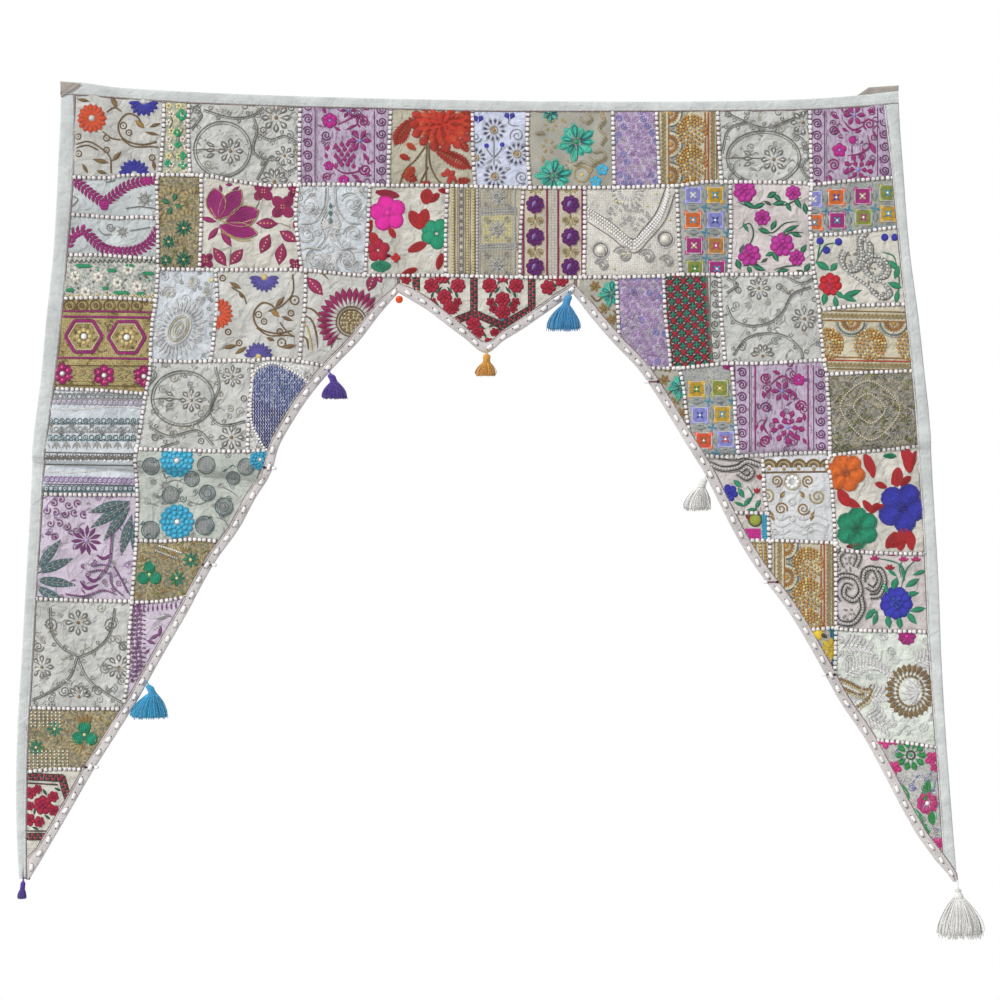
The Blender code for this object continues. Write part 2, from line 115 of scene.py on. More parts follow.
SIDES = rows(
    "drop left left_seam right_seam right",
    (-20, -453.1, -437.8, 434.5, 452.4),
    (0, -452.8, -437.7, 435.6, 452.4),
    (80, -455.7, -438.9, 444.7, 457.4),
    (160, -460.3, -445.2, 452.4, 463.8),
    (240, -468.7, -452.4, 460.6, 474.1),
    (300, -474.1, -458.8, 466.4, 480.6),
    (340, -479.4, -464.4, 469.9, 485.0),
    (375, -482.9, -468.7, 472.2, 487.2),
    (405, -484.1, -471.2, 474.4, 488.6),
    (440, -485.8, -473.2, 477.3, 490.9),
    (520, -490.2, -478.0, 481.6, 495.6),
    (600, -495.0, -482.7, 484.6, 498.3),
    (680, -499.9, -487.7, 490.6, 502.7),
    (760, -501.3, -489.8, 496.4, 508.7),
    (820, -499.4, -489.9, 500.4, 513.6),
    (846, -497.9, -489.9, 502.6, 515.9),
)

DOORWAY = rows(
    "drop left right",
    (207.5, -88.0, 100.4),
    (230, -107.4, 116.6),
    (258, -128.9, 140.2),
    (292, -161.1, 172.2),
    (320, -184.0, 191.6),
    (348, -202.6, 208.8),
    (374, -216.9, 224.4),
    (401, -224.6, 241.3),
    (430, -242.2, 255.9),
    (464, -260.8, 273.1),
    (496, -284.1, 291.9),
    (557, -317.9, 336.2),
    (607, -346.9, 365.5),
    (648, -369.8, 388.0),
    (688, -394.7, 415.0),
    (728, -420.1, 436.6),
    (773, -446.0, 460.4),
    (811, -468.3, 483.7),
    (826, -477.1, 496.2),
    (844, -487.0, 511.2),
)

MIDDLE = rows(
    "across edge seam",
    (-88.0, 207.5, 197.8),
    (-71.3, 217.7, 204.4),
    (-57.0, 226.3, 213.2),
    (-43.2, 236.8, 223.7),
    (-18.0, 255.8, 243.2),
    (7.6, 272.8, 261.4),
    (25.9, 259.4, 247.8),
    (43.2, 248.9, 236.4),
    (67.4, 232.3, 219.6),
    (84.0, 220.6, 207.9),
    (100.4, 209.1, 198.0),
)

MIDDLE_STEPS = (-88.0, -71.3, -57.0, -43.2, -26.0, -9.0, 7.6, 25.9, 43.2, 59.0, 75.0, 88.0, 100.4)

BINDING_ENDS = {
    -1: {"last_row": 834, "pairs": (((-498.1, 841.0), (-489.9, 841.0)),)},
    1: {
        "last_row": 802,
        "pairs": (((512.6, 808.0), (499.4, 804.0)), ((514.6, 832.6), (500.2, 812.8))),
    },
}
TAPE_ENDS = {
    -1: {
        "last_row": 812,
        "pairs": (((-474.7, 822.0), (-489.4, 818.0)), ((-486.9, 841.6), (-489.4, 841.6))),
    },
    1: {
        "last_row": 794,
        "pairs": (
            ((476.6, 800.0), (489.9, 800.0)),
            ((492.9, 822.0), (505.6, 821.4)),
            ((504.6, 835.0), (514.6, 835.0)),
            ((510.4, 843.6), (515.7, 843.6)),
        ),
    },
}
LEFT_TIP = ((-488.3, 838.0), (-496.6, 838.0))
RIGHT_TIP = ((512.0, 826.0), (510.0, 836.0), (506.9, 834.0))

FOLDS = rows(
    "side row slope middle reach depth",
    (-1, 397, 0.081, -359, 150, 1.0),
    (1, 378, -0.047, 361, 150, 0.6),
)
FOLD_SHAPE = rows(
    "below depth",
    (-60, 0.0),
    (-26, -1.5),
    (-10, -5.0),
    (-2, -6.0),
    (3, 1.0),
    (12, -0.5),
    (28, -2.2),
    (60, 0.0),
)
WAVES = rows(
    "depth across down shift",
    (1.6, 310, 900, 0.4),
    (1.1, 170, 420, 1.9),
    (0.6, 130, -260, 3.1),
)
CORNER_RIDGES = rows(
    "across drop lean width depth",
    (-453, -20, 0.62, 26, -2.6),
    (452, -10, -0.70, 30, -2.2),
)

# Small wrinkles of the cloth between its stitches: how deep, and how long across and down
WRINKLES = rows(
    "depth across down shift",
    (0.30, 47, 120, 0.3),
    (0.26, -38, 74, 2.2),
    (0.22, 29, -51, 4.0),
    (0.16, 21, 33, 1.1),
    (0.14, -17, 26, 5.2),
)

# Seams of the patchwork, each a line of points that are across and drop. All but the plain ones are beaded.
SEAMS = {
    "band_foot": (
        (-447, 83), (-402, 84), (-378, 81), (-301, 81), (-270, 86), (-226, 92), (-194, 91), (-145, 91),
        (-95, 92), (-40, 92), (50, 94), (145, 94), (190, 93), (217, 92), (244, 88), (288, 88), (346, 89),
        (360, 91), (399, 87), (451, 83),
    ),
    "second_foot": (
        (-350, 182), (-270, 183), (-199, 183), (-163, 186), (-125, 189), (-49, 189), (-4, 190), (50, 191),
        (146, 191), (190, 190), (217, 188), (292, 188), (363, 187),
    ),
    "garland_upper": ((-447, 123), (-404, 126), (-389, 127), (-366, 126), (-346, 128)),
    "garland_lower": ((-451, 167), (-411, 167), (-384, 169), (-346, 171)),
    "green_foot": ((-456, 214), (-411, 213), (-384, 214), (-348, 216)),
    "gold_foot": ((-464, 311), (-411, 313), (-386, 315), (-358, 317)),
    "satin_foot": ((-478, 425), (-421, 426), (-368, 426)),
    "palm_foot": ((-483, 538), (-429, 540), (-374, 541)),
    "sequin_foot": ((-491, 656), (-443, 657), (-382, 657)),
    "left_green_foot": ((-495, 726), (-470, 723), (-447, 722), (-414, 723)),
    "left_column": (
        (-341, -4), (-342, 35), (-346, 79), (-349, 87), (-348, 125), (-348, 181), (-350, 215), (-354, 242),
        (-356, 278), (-357, 296), (-361, 316), (-364, 334), (-368, 362), (-371, 378), (-372, 394),
        (-370, 430), (-372, 485), (-376, 540), (-379, 584), (-380, 619), (-384, 650),
    ),
    "first_1": ((-314, -3), (-315, 35), (-313, 82)),
    "first_2": ((-194, 1), (-195, 50), (-195, 92)),
    "first_3": ((-96, 4), (-98, 50), (-99, 93)),
    "first_4": ((-8, 6), (-8, 50), (-5, 95)),
    "first_5": ((52, 6), (51, 50), (54, 95)),
    "first_6": ((143, 5), (144, 50), (145, 95)),
    "first_7": ((190, 5), (192, 50), (194, 94)),
    "first_8": ((256, 5), (258, 50), (261, 90)),
    "first_9": ((356, 3), (357, 49), (358, 93)),
    "second_1": ((-301, 79), (-301, 125), (-303, 184)),
    "second_2": ((-196, 89), (-199, 121), (-196, 157), (-192, 185)),
    "second_3": ((-119, 90), (-121, 139), (-124, 190)),
    "second_4": ((-35, 90), (-37, 139), (-37, 191)),
    "second_5": ((47, 92), (44, 139), (43, 192)),
    "second_6": ((113, 92), (113, 139), (112, 192)),
    "second_7": ((212, 90), (214, 139), (217, 190)),
    "second_8": ((270, 86), (271, 139), (269, 189)),
    "right_column": (
        (358, 88), (356, 121), (357, 146), (359, 175), (362, 196), (366, 224), (367, 240), (369, 258),
        (371, 280), (374, 294), (375, 312), (377, 339), (377, 380), (374, 393), (378, 406), (381, 438),
        (383, 478), (384, 528), (384, 570), (384, 582), (383, 618), (380, 637),
    ),
    "squares_foot": ((355, 146), (392, 144), (417, 141), (456, 136)),
    "spray_foot": ((364, 227), (406, 222), (463, 220)),
    "mango_foot": ((372, 296), (415, 294), (471, 292)),
    "sage_foot": ((375, 384), (406, 380), (442, 377), (477, 373)),
    "bright_foot": ((381, 477), (390, 485), (404, 487), (440, 489), (487, 490)),
    "blue_rose_foot": ((382, 570), (404, 572), (438, 573), (490, 574)),
    "wreath_foot": ((405, 685), (421, 690), (454, 693), (497, 699)),
    "third_1": ((-286, 181), (-284, 213), (-287, 249), (-291, 283)),
    "third_2": ((-188, 182), (-189, 222), (-192, 247), (-195, 284)),
    "third_foot_left": (
        (-358, 281), (-317, 282), (-281, 281), (-245, 281), (-224, 279), (-195, 282), (-165, 287),
    ),
    "fourth_left": ((-246, 279), (-246, 303), (-249, 330), (-250, 357), (-251, 381)),
    "fourth_foot_left": ((-374, 376), (-317, 378), (-263, 379), (-228, 378)),
    "circles_foot": ((-374, 475), (-339, 476), (-311, 474), (-283, 476)),
    "trefoil_foot": ((-378, 542), (-348, 541), (-316, 536)),
    "third_4": ((147, 189), (148, 213), (150, 254)),
    "third_5": ((198, 188), (200, 231), (204, 267), (206, 291)),
    "third_6": ((258, 186), (261, 240), (265, 286)),
    "third_foot_right": (
        (178, 289), (215, 289), (244, 286), (269, 284), (305, 284), (341, 282), (373, 280),
    ),
    "fourth_1": ((215, 287), (220, 312), (223, 339), (226, 358)),
    "fourth_2": ((271, 282), (274, 312), (276, 348), (279, 386)),
    "fourth_foot_right": ((236, 383), (261, 385), (306, 383), (341, 381), (379, 380)),
    "fifth_1": ((305, 381), (306, 403), (307, 426), (311, 449), (312, 478)),
    "fifth_half": ((273, 445), (313, 446)),
    "fifth_foot": ((292, 475), (341, 476), (385, 478)),
    "sixth_1": ((313, 474), (313, 508)),
    "sixth_foot": ((350, 572), (386, 569)),
    "check_side": ((244, 186), (247, 239), (251, 287)),
    "apex_left": ((-88, 187), (-88, 205)),
    "apex_right": ((103, 188), (103, 206)),
}
PLAIN_SEAMS = ("check_side", "apex_left", "apex_right")

TASSELS = rows(
    "name shape neck_x neck_drop head_x head_drop radius skirt_x skirt_drop half_width half_depth "
    "forward skirt_forward strands colour",
    ("tassel_left_tip", "head", -492.6, 838.0, -493.6, 852.0, 2.9, -494.2, 862.0, 5.2, 4.0,
     5.8, 6.4, 70, "tassel purple"),
    ("tassel_left_leg", "head", -359.8, 626.0, -352.8, 640.0, 4.6, -356.4, 669.0, 21.0, 11.0,
     5.2, 6.5, 210, "tassel turquoise"),
    ("tassel_left_upper", "head", -163.4, 290.6, -157.2, 304.6, 4.5, -156.6, 323.8, 14.8, 9.0,
     5.2, 5.9, 190, "tassel purple"),
    ("tassel_centre", "head", 7.6, 268.6, 7.0, 283.4, 4.3, 6.4, 298.8, 11.8, 8.0,
     4.8, 5.2, 170, "tassel amber"),
    ("tassel_right_apex", "head", 98.0, 204.6, 92.4, 221.6, 4.5, 90.2, 251.0, 19.0, 8.0,
     10.4, 12.8, 210, "tassel sky"),
    ("tassel_right_leg", "head", 243.8, 403.6, 238.8, 418.0, 4.5, 234.2, 444.4, 15.6, 9.0,
     5.2, 5.9, 190, "tassel cream"),
    ("tassel_right_tip", "cap", 515.0, 841.0, 516.2, 860.3, 5.6, 518.4, 905.8, 25.6, 13.0,
     6.4, 7.0, 330, "tassel cream"),
)

# Colours as they look in soft light, in ordinary screen values
PALETTE = {
    "orange": "E2511F",
    "flame": "C42E18",
    "ember": "E0531F",
    "red": "C01018",
    "crimson": "A50F35",
    "wine": "A30F5C",
    "orchid": "B42C92",
    "tangerine": "DE6A1C",
    "rose": "D0307F",
    "pink": "E85FA0",
    "hot pink": "DD1C9C",
    "magenta": "AC157C",
    "plum": "87327F",
    "purple": "4A1A66",
    "indigo": "2B2F8F",
    "royal": "2E2FA8",
    "cobalt": "3B55B4",
    "sky knit": "7C9BD8",
    "violet": "6055AE",
    "lavender": "8E8FD6",
    "lilac": "BE9BCF",
    "pale lilac": "CDBFD2",
    "mauve": "96538F",
    "teal": "3FAFD2",
    "deep teal": "1E7C94",
    "steel": "5F8488",
    "mint": "3FCFB0",
    "pale mint": "9FE6D0",
    "green": "12906A",
    "leaf": "23A06C",
    "grass": "2E9E4C",
    "dark green": "145C46",
    "moss": "4F5F3C",
    "olive": "8C9636",
    "mustard": "CDA220",
    "yellow": "E0C030",
    "gold": "AE8640",
    "orange gold": "BC8030",
    "pale gold": "CBB679",
    "straw": "DDD29E",
    "bronze": "8A6B3E",
    "umber": "4C3B30",
    "pewter": "86827A",
    "grey": "A2A6A3",
    "silver": "C3C2BD",
    "chalk": "F1EFEC",
    "white": "EDEDEF",
    "ivory": "DFDACD",
    "cream": "D6D0C2",
    "sand": "C2B9A2",
    "dark": "2E2628",
    "pale ground": "CCCBC5",
    "silver ground": "C0C1BC",
    "beige ground": "BAB4A0",
    "blue ground": "CDD2E6",
    "gold ground": "C6BEA6",
    "cool ground": "C3C8C8",
    "lilac ground": "C6B9C8",
    "cream ground": "D0CCC1",
    "pale blue ground": "C7CDD1",
    "rose ground": "CEC6C3",
    "green grey ground": "B4B9B0",
    "white ground": "D2D3D4",
    "mint ground": "CED3C9",
    "seam thread": "84706C",
    "bead": "F6F2F0",
    "binding": "CBCFCD",
    "tape": "CCC7C5",
    "tab": "A69E95",
    "lining": "CFCBC0",
    "tassel purple": "4A1C9C",
    "tassel turquoise": "22A6D6",
    "tassel amber": "E8A22E",
    "tassel sky": "2F97D0",
    "tassel cream": "F0EEEA",
}


def tone(name, shade=1.0):
    """A palette colour as light values, made darker or lighter by shade."""
    code = PALETTE[name]
    parts = [int(code[k : k + 2], 16) / 255 for k in (0, 2, 4)]
    straight = [p / 12.92 if p <= 0.04045 else ((p + 0.055) / 1.055) ** 2.4 for p in parts]
    return tuple(min(1.0, p * shade) for p in straight)


# The surface of the hanging cloth


def smooth_between(table, key, column, at):
    """A soft curve through a table's points, level past its ends."""
    keys = np.array([getattr(row, key) for row in table], float)
    values = np.array([getattr(row, column) for row in table], float)
    slopes = np.gradient(values, keys)
    at = np.clip(at, keys[0], keys[-1])
    i = np.clip(np.searchsorted(keys, at, side="right") - 1, 0, len(keys) - 2)
    span = keys[i + 1] - keys[i]
    t = (at - keys[i]) / span
    start = (1 + 2 * t) * (1 - t) ** 2 * values[i] + t * (1 - t) ** 2 * span * slopes[i]
    end = t * t * (3 - 2 * t) * values[i + 1] + t * t * (t - 1) * span * slopes[i + 1]
    return start + end


def of_fold(across, column):
    return np.where(np.asarray(across) < 0, getattr(FOLDS[0], column), getattr(FOLDS[1], column))


def tilt(row, across):
    """How far a row of the cloth lies below level there."""
    near = np.maximum(0, 1 - abs(row - of_fold(across, "row")) / of_fold(across, "reach"))
    return of_fold(across, "slope") * (across - of_fold(across, "middle")) * near


def row_at(across, drop):
    row = drop
    for _ in range(4):
        row = drop - tilt(row, across)
    return row


def waves(table, across, drop):
    depth = 0.0
    for wave in table:
        turn = across / wave.across + drop / wave.down
        depth = depth + wave.depth * np.sin(2 * np.pi * turn + wave.shift)
    return depth


def depth_at(across, drop):
    """The cloth's middle surface along Y, with the folds' creases slightly softened."""
    across = np.asarray(across, float)
    drop = np.asarray(drop, float)
    depth = waves(WAVES, across, drop) * np.clip(drop / WAVES_FULL_BELOW, 0, 1)
    for ridge in CORNER_RIDGES:
        off = across - ridge.across - (drop - ridge.drop) * ridge.lean
        fade = np.maximum(0, 1 - abs(drop - RIDGE_MIDDLE_DROP) / RIDGE_MIDDLE_DROP)
        depth = depth + ridge.depth * fade * np.exp(-((off / ridge.width) ** 2))
    below = row_at(across, drop) - of_fold(across, "row")
    steps = [step.below for step in FOLD_SHAPE]
    depths = [step.depth for step in FOLD_SHAPE]
    soft = sum(np.interp(below + shift, steps, depths) for shift in (-1.5, 0, 1.5)) / 3
    return depth + of_fold(across, "depth") * soft * (abs(across) > LEG_STARTS_ACROSS)


def seam_segments():
    starts, ends = [], []
    for line in SEAMS.values():
        starts += line[:-1]
        ends += line[1:]
    return np.array(starts, float), np.array(ends, float)


SEAM_STARTS, SEAM_ENDS = seam_segments()


def to_nearest_seam(across, drop):
    """How far each point of the cloth is from the nearest seam."""
    spots = np.stack([np.ravel(across), np.ravel(drop)], 1).astype(float)
    runs = SEAM_ENDS - SEAM_STARTS
    lengths = (runs * runs).sum(1)
    nearest = np.empty(len(spots))
    for first in range(0, len(spots), 20000):
        part = spots[first : first + 20000, None, :]
        along = np.clip(((part - SEAM_STARTS) * runs).sum(2) / lengths, 0, 1)
        gap = SEAM_STARTS + runs * along[:, :, None] - part
        nearest[first : first + 20000] = np.sqrt((gap * gap).sum(2)).min(1)
    return nearest.reshape(np.shape(across))


def front_of(across, drop):
    """The patchwork's front face along Y: it puffs forwards between its seams, with small wrinkles."""
    free = 1 - np.exp(-to_nearest_seam(across, drop) / PUFF_REACH)
    return depth_at(across, drop) - HALF_PANEL - free * (PUFF + WRINKLE * waves(WRINKLES, across, drop))


def in_space(across, drop, depth):
    return np.stack([np.asarray(across) * MM, np.asarray(depth) * MM, -np.asarray(drop) * MM], -1)


# Places along the strips, as in the model's source


def even_rows(side, pitch=PITCH):
    creases = [float(of_fold(side, "row")) + step.below for step in FOLD_SHAPE]
    even = list(np.arange(0, 840, pitch))
    kept = [row for row in even if min(abs(row - crease) for crease in creases) > pitch * 0.4]
    return sorted(creases + kept)


def on_row(edge, row):
    drop = row
    for _ in range(5):
        across = float(edge(drop))
        drop = row + float(tilt(row, across))
    return float(edge(drop)), drop


def tape_width(side, drop):
    column = "left" if side < 0 else "right"
    reach = 12.0
    run = abs(
        smooth_between(DOORWAY, "drop", column, drop + reach)
        - smooth_between(DOORWAY, "drop", column, drop - reach)
    )
    return TAPE_WIDTH * np.hypot(1, run / (2 * reach))


def top_stations(count=180):
    acrosses = np.linspace(TOP[0].across, TOP[-1].across, count + 1)
    edge = smooth_between(TOP, "across", "edge", acrosses)
    seam = smooth_between(TOP, "across", "seam", acrosses)
    return [((a, e), (a, s)) for a, e, s in zip(acrosses, edge, seam)]


def side_stations(side, pitch=PITCH):
    column = "left" if side < 0 else "right"
    corner = [float(smooth_between(SIDES, "drop", name, 0)) for name in (column, column + "_seam")]
    made = [tuple((x, float(smooth_between(TOP, "across", "seam", x)) + 0.3) for x in corner)]
    for row in even_rows(side, pitch):
        if 12 < row < BINDING_ENDS[side]["last_row"]:
            outer = on_row(lambda drop: smooth_between(SIDES, "drop", column, drop), row)
            inner = on_row(lambda drop: smooth_between(SIDES, "drop", column + "_seam", drop), row)
            made.append((outer, inner))
    return made + list(BINDING_ENDS[side]["pairs"])


def leg_tape_stations(side, pitch=PITCH):
    column = "left" if side < 0 else "right"

    def doorway(drop):
        return smooth_between(DOORWAY, "drop", column, drop)

    def seam(drop):
        return doorway(drop) + side * tape_width(side, drop)

    made = []
    for row in even_rows(side, pitch):
        if 218 < row < TAPE_ENDS[side]["last_row"]:
            made.append((on_row(doorway, row), on_row(seam, row)))
    return made + list(TAPE_ENDS[side]["pairs"])


def middle_stations(steps=MIDDLE_STEPS):
    edge = smooth_between(MIDDLE, "across", "edge", np.array(steps))
    seam = smooth_between(MIDDLE, "across", "seam", np.array(steps))
    return [((a, e), (a, s)) for a, e, s in zip(steps, edge, seam)]


def tape_stations(pitch=PITCH, steps=MIDDLE_STEPS):
    return leg_tape_stations(-1, pitch)[::-1] + middle_stations(steps) + leg_tape_stations(1, pitch)


def inset(pair, distance=STRIP_INSET):
    outer, inner = np.array(pair[0]), np.array(pair[1])
    return outer + (inner - outer) * distance / np.linalg.norm(inner - outer)


def panel_outline():
    """The patchwork's own edge, inside the pockets of its strips."""
    top = [inset(pair) for pair in top_stations(44)]
    top[0][0] += STRIP_INSET
    top[-1][0] -= STRIP_INSET
    right = [inset(pair) for pair in side_stations(1)[:-1]]
    left = [inset(pair) for pair in side_stations(-1)[:-1]]
    opening = [inset(pair) for pair in tape_stations()[2:-3]][::-1]
    ends = [np.array(spot) for spot in RIGHT_TIP], [np.array(spot) for spot in LEFT_TIP]
    return np.array(top + right + ends[0] + opening + ends[1] + left[::-1])


def are_inside(spots, starts, ends):
    """Which points lie inside the loops that the given edges make, by counting crossings."""
    spots = np.asarray(spots, float)
    inside = np.zeros(len(spots), bool)
    for (x0, y0), (x1, y1) in zip(starts, ends):
        if y0 == y1:
            continue
        crosses = (y0 > spots[:, 1]) != (y1 > spots[:, 1])
        inside ^= crosses & (x0 + (spots[:, 1] - y0) * (x1 - x0) / (y1 - y0) > spots[:, 0])
    return inside


def from_lines(spots, starts, ends):
    """How far each point is from the nearest of some edges."""
    runs = ends - starts
    gaps = []
    for start, run in zip(starts, runs):
        along = np.clip(((spots - start) @ run) / (run @ run), 0, 1)
        gaps.append(np.linalg.norm(start + along[:, None] * run - spots, axis=1))
    return np.min(gaps, axis=0)


# Materials


class Shader:
    """A material's node tree, with short calls to add nodes."""

    def __init__(self, name, roughness=0.85, sheen=0.15, specular=0.25, metallic=0.0, coat=0.0):
        self.material = bpy.data.materials.new(name)
        self.material.use_nodes = True
        self.tree = self.material.node_tree
        self.surface = self.tree.nodes["Principled BSDF"]
        self.surface.inputs["Roughness"].default_value = roughness
        self.surface.inputs["Metallic"].default_value = metallic
        self.surface.inputs["Specular IOR Level"].default_value = specular
        self.surface.inputs["Sheen Weight"].default_value = sheen
        self.surface.inputs["Sheen Roughness"].default_value = 0.6
        self.surface.inputs["Coat Weight"].default_value = coat
        self.place = self.add("ShaderNodeTexCoord").outputs["Object"]

    def add(self, kind, **settings):
        node = self.tree.nodes.new(kind)
        for key, value in settings.items():
            if isinstance(value, bpy.types.NodeSocket):
                self.tree.links.new(value, node.inputs[key.replace("_", " ")])
            elif key.replace("_", " ") in node.inputs:
                node.inputs[key.replace("_", " ")].default_value = value
            else:
                setattr(node, key, value)
        return node

    def sum(self, operation, first, second=0.0, clamp=False):
        node = self.tree.nodes.new("ShaderNodeMath")
        node.operation = operation
        node.use_clamp = clamp
        for socket, value in zip(node.inputs, (first, second)):
            if isinstance(value, bpy.types.NodeSocket):
                self.tree.links.new(value, socket)
            else:
                socket.default_value = value
        return node.outputs[0]

    def noise(self, size, detail=3.0, roughness=0.55, stretch=(1, 1, 1), warp=0.0):
        """Noise whose lumps are about size millimetres across."""
        scale = tuple(s / (size * MM) for s in stretch)
        mapping = self.add("ShaderNodeMapping", Vector=self.place, Scale=scale)
        node = self.add("ShaderNodeTexNoise", Vector=mapping.outputs[0], Scale=1.0, Detail=detail)
        node.inputs["Roughness"].default_value = roughness
        node.inputs["Distortion"].default_value = warp
        return node.outputs["Fac"]

    def cells(self, size, randomness=0.6, feature="F1"):
        scale = (1 / (size * MM),) * 3
        mapping = self.add("ShaderNodeMapping", Vector=self.place, Scale=scale)
        node = self.add("ShaderNodeTexVoronoi", Vector=mapping.outputs[0], Scale=1.0, Randomness=randomness)
        node.feature = feature
        return node.outputs["Distance"]

    def stripes(self, pitch, axis):
        """Rounded ridges along one axis, a pitch in millimetres apart."""
        split = self.add("ShaderNodeSeparateXYZ", Vector=self.place).outputs[axis]
        turn = self.sum("MULTIPLY", split, 2 * math.pi / (pitch * MM))
        return self.sum("SINE", turn)

    def ramp(self, value, *stops):
        node = self.add("ShaderNodeValToRGB", Fac=value)
        ramp = node.color_ramp
        for k, (place, colour) in enumerate(stops):
            stop = ramp.elements[k] if k < 2 else ramp.elements.new(place)
            stop.position = place
            stop.color = (*colour, 1)
        return node.outputs["Color"]

    def blend(self, kind, share, first, second):
        node = self.add("ShaderNodeMix", data_type="RGBA", blend_type=kind)
        for socket, value in zip((node.inputs[0], node.inputs[6], node.inputs[7]), (share, first, second)):
            if isinstance(value, bpy.types.NodeSocket):
                self.tree.links.new(value, socket)
            elif isinstance(value, tuple):
                socket.default_value = (*value, 1)
            else:
                socket.default_value = value
        return node.outputs[2]

    def finish(self, colour, height=None, depth=0.3, strength=0.8):
        """Sets the colour, and the height in millimetres as a bump."""
        if isinstance(colour, bpy.types.NodeSocket):
            self.tree.links.new(colour, self.surface.inputs["Base Color"])
        else:
            self.surface.inputs["Base Color"].default_value = (*colour, 1)
        if height is not None:
            bump = self.add("ShaderNodeBump", Height=height, Strength=strength, Distance=depth * MM)
            self.tree.links.new(bump.outputs["Normal"], self.surface.inputs["Normal"])
        return self.material


def weave(shader, pitch=1.1):
    """A plain weave's height, from threads both ways."""
    both = shader.sum("ADD", shader.stripes(pitch, "X"), shader.stripes(pitch, "Z"))
    return shader.sum("MULTIPLY_ADD", both, 0.25)


def plain_cloth(name, colour, mottle=0.16, pitch=1.1, roughness=0.9, slubs=7.0, crumple=1.5):
    """Woven cotton: thread ridges, slubs, soft crumples and a slightly cloudy colour."""
    shader = Shader(name, roughness=roughness)
    cloudy = shader.noise(38, detail=4)
    slubby = shader.noise(slubs, detail=5, roughness=0.7, stretch=(0.35, 1, 1))
    mixed = shader.sum("ADD", shader.sum("MULTIPLY", cloudy, 0.55), shader.sum("MULTIPLY", slubby, 0.45))
    dark = tuple(c * (1 - 1.6 * mottle) for c in colour)
    light = tuple(min(1, c * (1 + mottle)) for c in colour)
    tint = shader.ramp(mixed, (0.3, dark), (0.7, light))
    height = shader.sum("ADD", weave(shader, pitch), shader.sum("MULTIPLY", slubby, 1.6))
    creased = shader.noise(13, detail=3, roughness=0.5, warp=0.8)
    height = shader.sum("ADD", height, shader.sum("MULTIPLY", creased, crumple * 6))
    return shader.finish(tint, height, depth=0.3)


def worked_cloth(name, kind, size, tones, depth=0.5, roughness=0.8, metallic=0.0, cloud=0.12):
    """Densely worked cloth. The kind is swirl, bead, fleck or thread, and size is in millimetres."""
    shader = Shader(name, roughness=roughness, metallic=metallic)
    if kind == "swirl":
        field = shader.noise(size * 2.2, detail=1.5, roughness=0.4, warp=0.6)
        value = shader.sum("PINGPONG", shader.sum("MULTIPLY", field, 9.0), 0.5)
        value = shader.sum("MULTIPLY", value, 2.0)
    elif kind == "bead":
        value = shader.sum("SUBTRACT", 1.0, shader.cells(size, 0.5), clamp=True)
    elif kind == "thread":
        value = shader.noise(size, detail=3, roughness=0.7, stretch=(1, 1, 0.3), warp=0.5)
    else:
        value = shader.noise(size, detail=4, roughness=0.75)
    ends = (0.3, 0.72) if kind in ("fleck", "thread") else (0.1, 0.95)
    stops = []
    for k, colour in enumerate(tones):
        stops.append((ends[0] + (ends[1] - ends[0]) * k / (len(tones) - 1), colour))
    # The value that picks the tone is also the bump height, and the tones run darkest first: real mixed
    # thread colours, set as painted shade in the hollows and painted light on the raised stitches.
    tint = shader.ramp(value, *stops)
    cloudy = shader.noise(30, detail=4)
    shade = shader.ramp(cloudy, (0.3, (1 - 1.8 * cloud,) * 3), (0.7, (1.0,) * 3))
    tint = shader.blend("MULTIPLY", 1.0, tint, shade)
    return shader.finish(tint, value, depth=depth)


def thread_material(name, roughness=0.6, sheen=0.25, metallic=0.0, pitch=0.8):
    """Thread that takes its colour from each stitch, painted shade and highlights included, with ridges
    along its lay.
    """
    shader = Shader(name, roughness=roughness, sheen=sheen, metallic=metallic)
    own = shader.add("ShaderNodeAttribute", attribute_name="tint").outputs["Color"]
    lay = shader.add("ShaderNodeAttribute", attribute_name="lay").outputs["Fac"]
    ridges = shader.sum("SINE", shader.sum("MULTIPLY", lay, 2 * math.pi / pitch))
    flecks = shader.noise(1.6, detail=3, roughness=0.7)
    shade = shader.ramp(flecks, (0.3, (0.72,) * 3), (0.65, (1.08,) * 3))
    tint = shader.blend("MULTIPLY", 1.0, own, shade)
    height = shader.sum("ADD", ridges, shader.sum("MULTIPLY", flecks, 1.5))
    return shader.finish(tint, height, depth=0.24, strength=1.0)


# Meshes


def new_object(name, points, faces, material, smooth=True, tints=None, lays=None):
    mesh = bpy.data.meshes.new(name)
    mesh.from_pydata([tuple(p) for p in points], [], [tuple(int(k) for k in f) for f in faces])
    if tints is not None:
        layer = mesh.attributes.new("tint", "FLOAT_COLOR", "POINT")
        flat = np.ones((len(points), 4), np.float32)
        flat[:, :3] = tints
        layer.data.foreach_set("color", flat.ravel())
    if lays is not None:
        layer = mesh.attributes.new("lay", "FLOAT", "POINT")
        layer.data.foreach_set("value", np.asarray(lays, np.float32))
    mesh.validate()
    mesh.update()
    mesh.shade_smooth() if smooth else mesh.shade_flat()
    mesh.materials.append(material)
    made = bpy.data.objects.new(name, mesh)
    bpy.context.scene.collection.objects.link(made)
    return made


class Build:
    """Points and faces gathered for one joined mesh, each point with its thread colour and lay."""

    def __init__(self):
        self.points, self.faces, self.tints, self.lays = [], [], [], []
        self.count = 0

    def add(self, points, faces, tints, lays=None):
        points = np.asarray(points, float)
        self.points.append(points)
        self.faces.append(np.asarray(faces, int) + self.count)
        self.tints.append(np.broadcast_to(np.asarray(tints, float), (len(points), 3)))
        self.lays.append(np.zeros(len(points)) if lays is None else np.asarray(lays, float))
        self.count += len(points)

    def object(self, name, material, smooth=True):
        points = np.concatenate(self.points)
        faces = [face for part in self.faces for face in part]
        tints, lays = np.concatenate(self.tints), np.concatenate(self.lays)
        return new_object(name, points, faces, material, smooth, tints, lays)


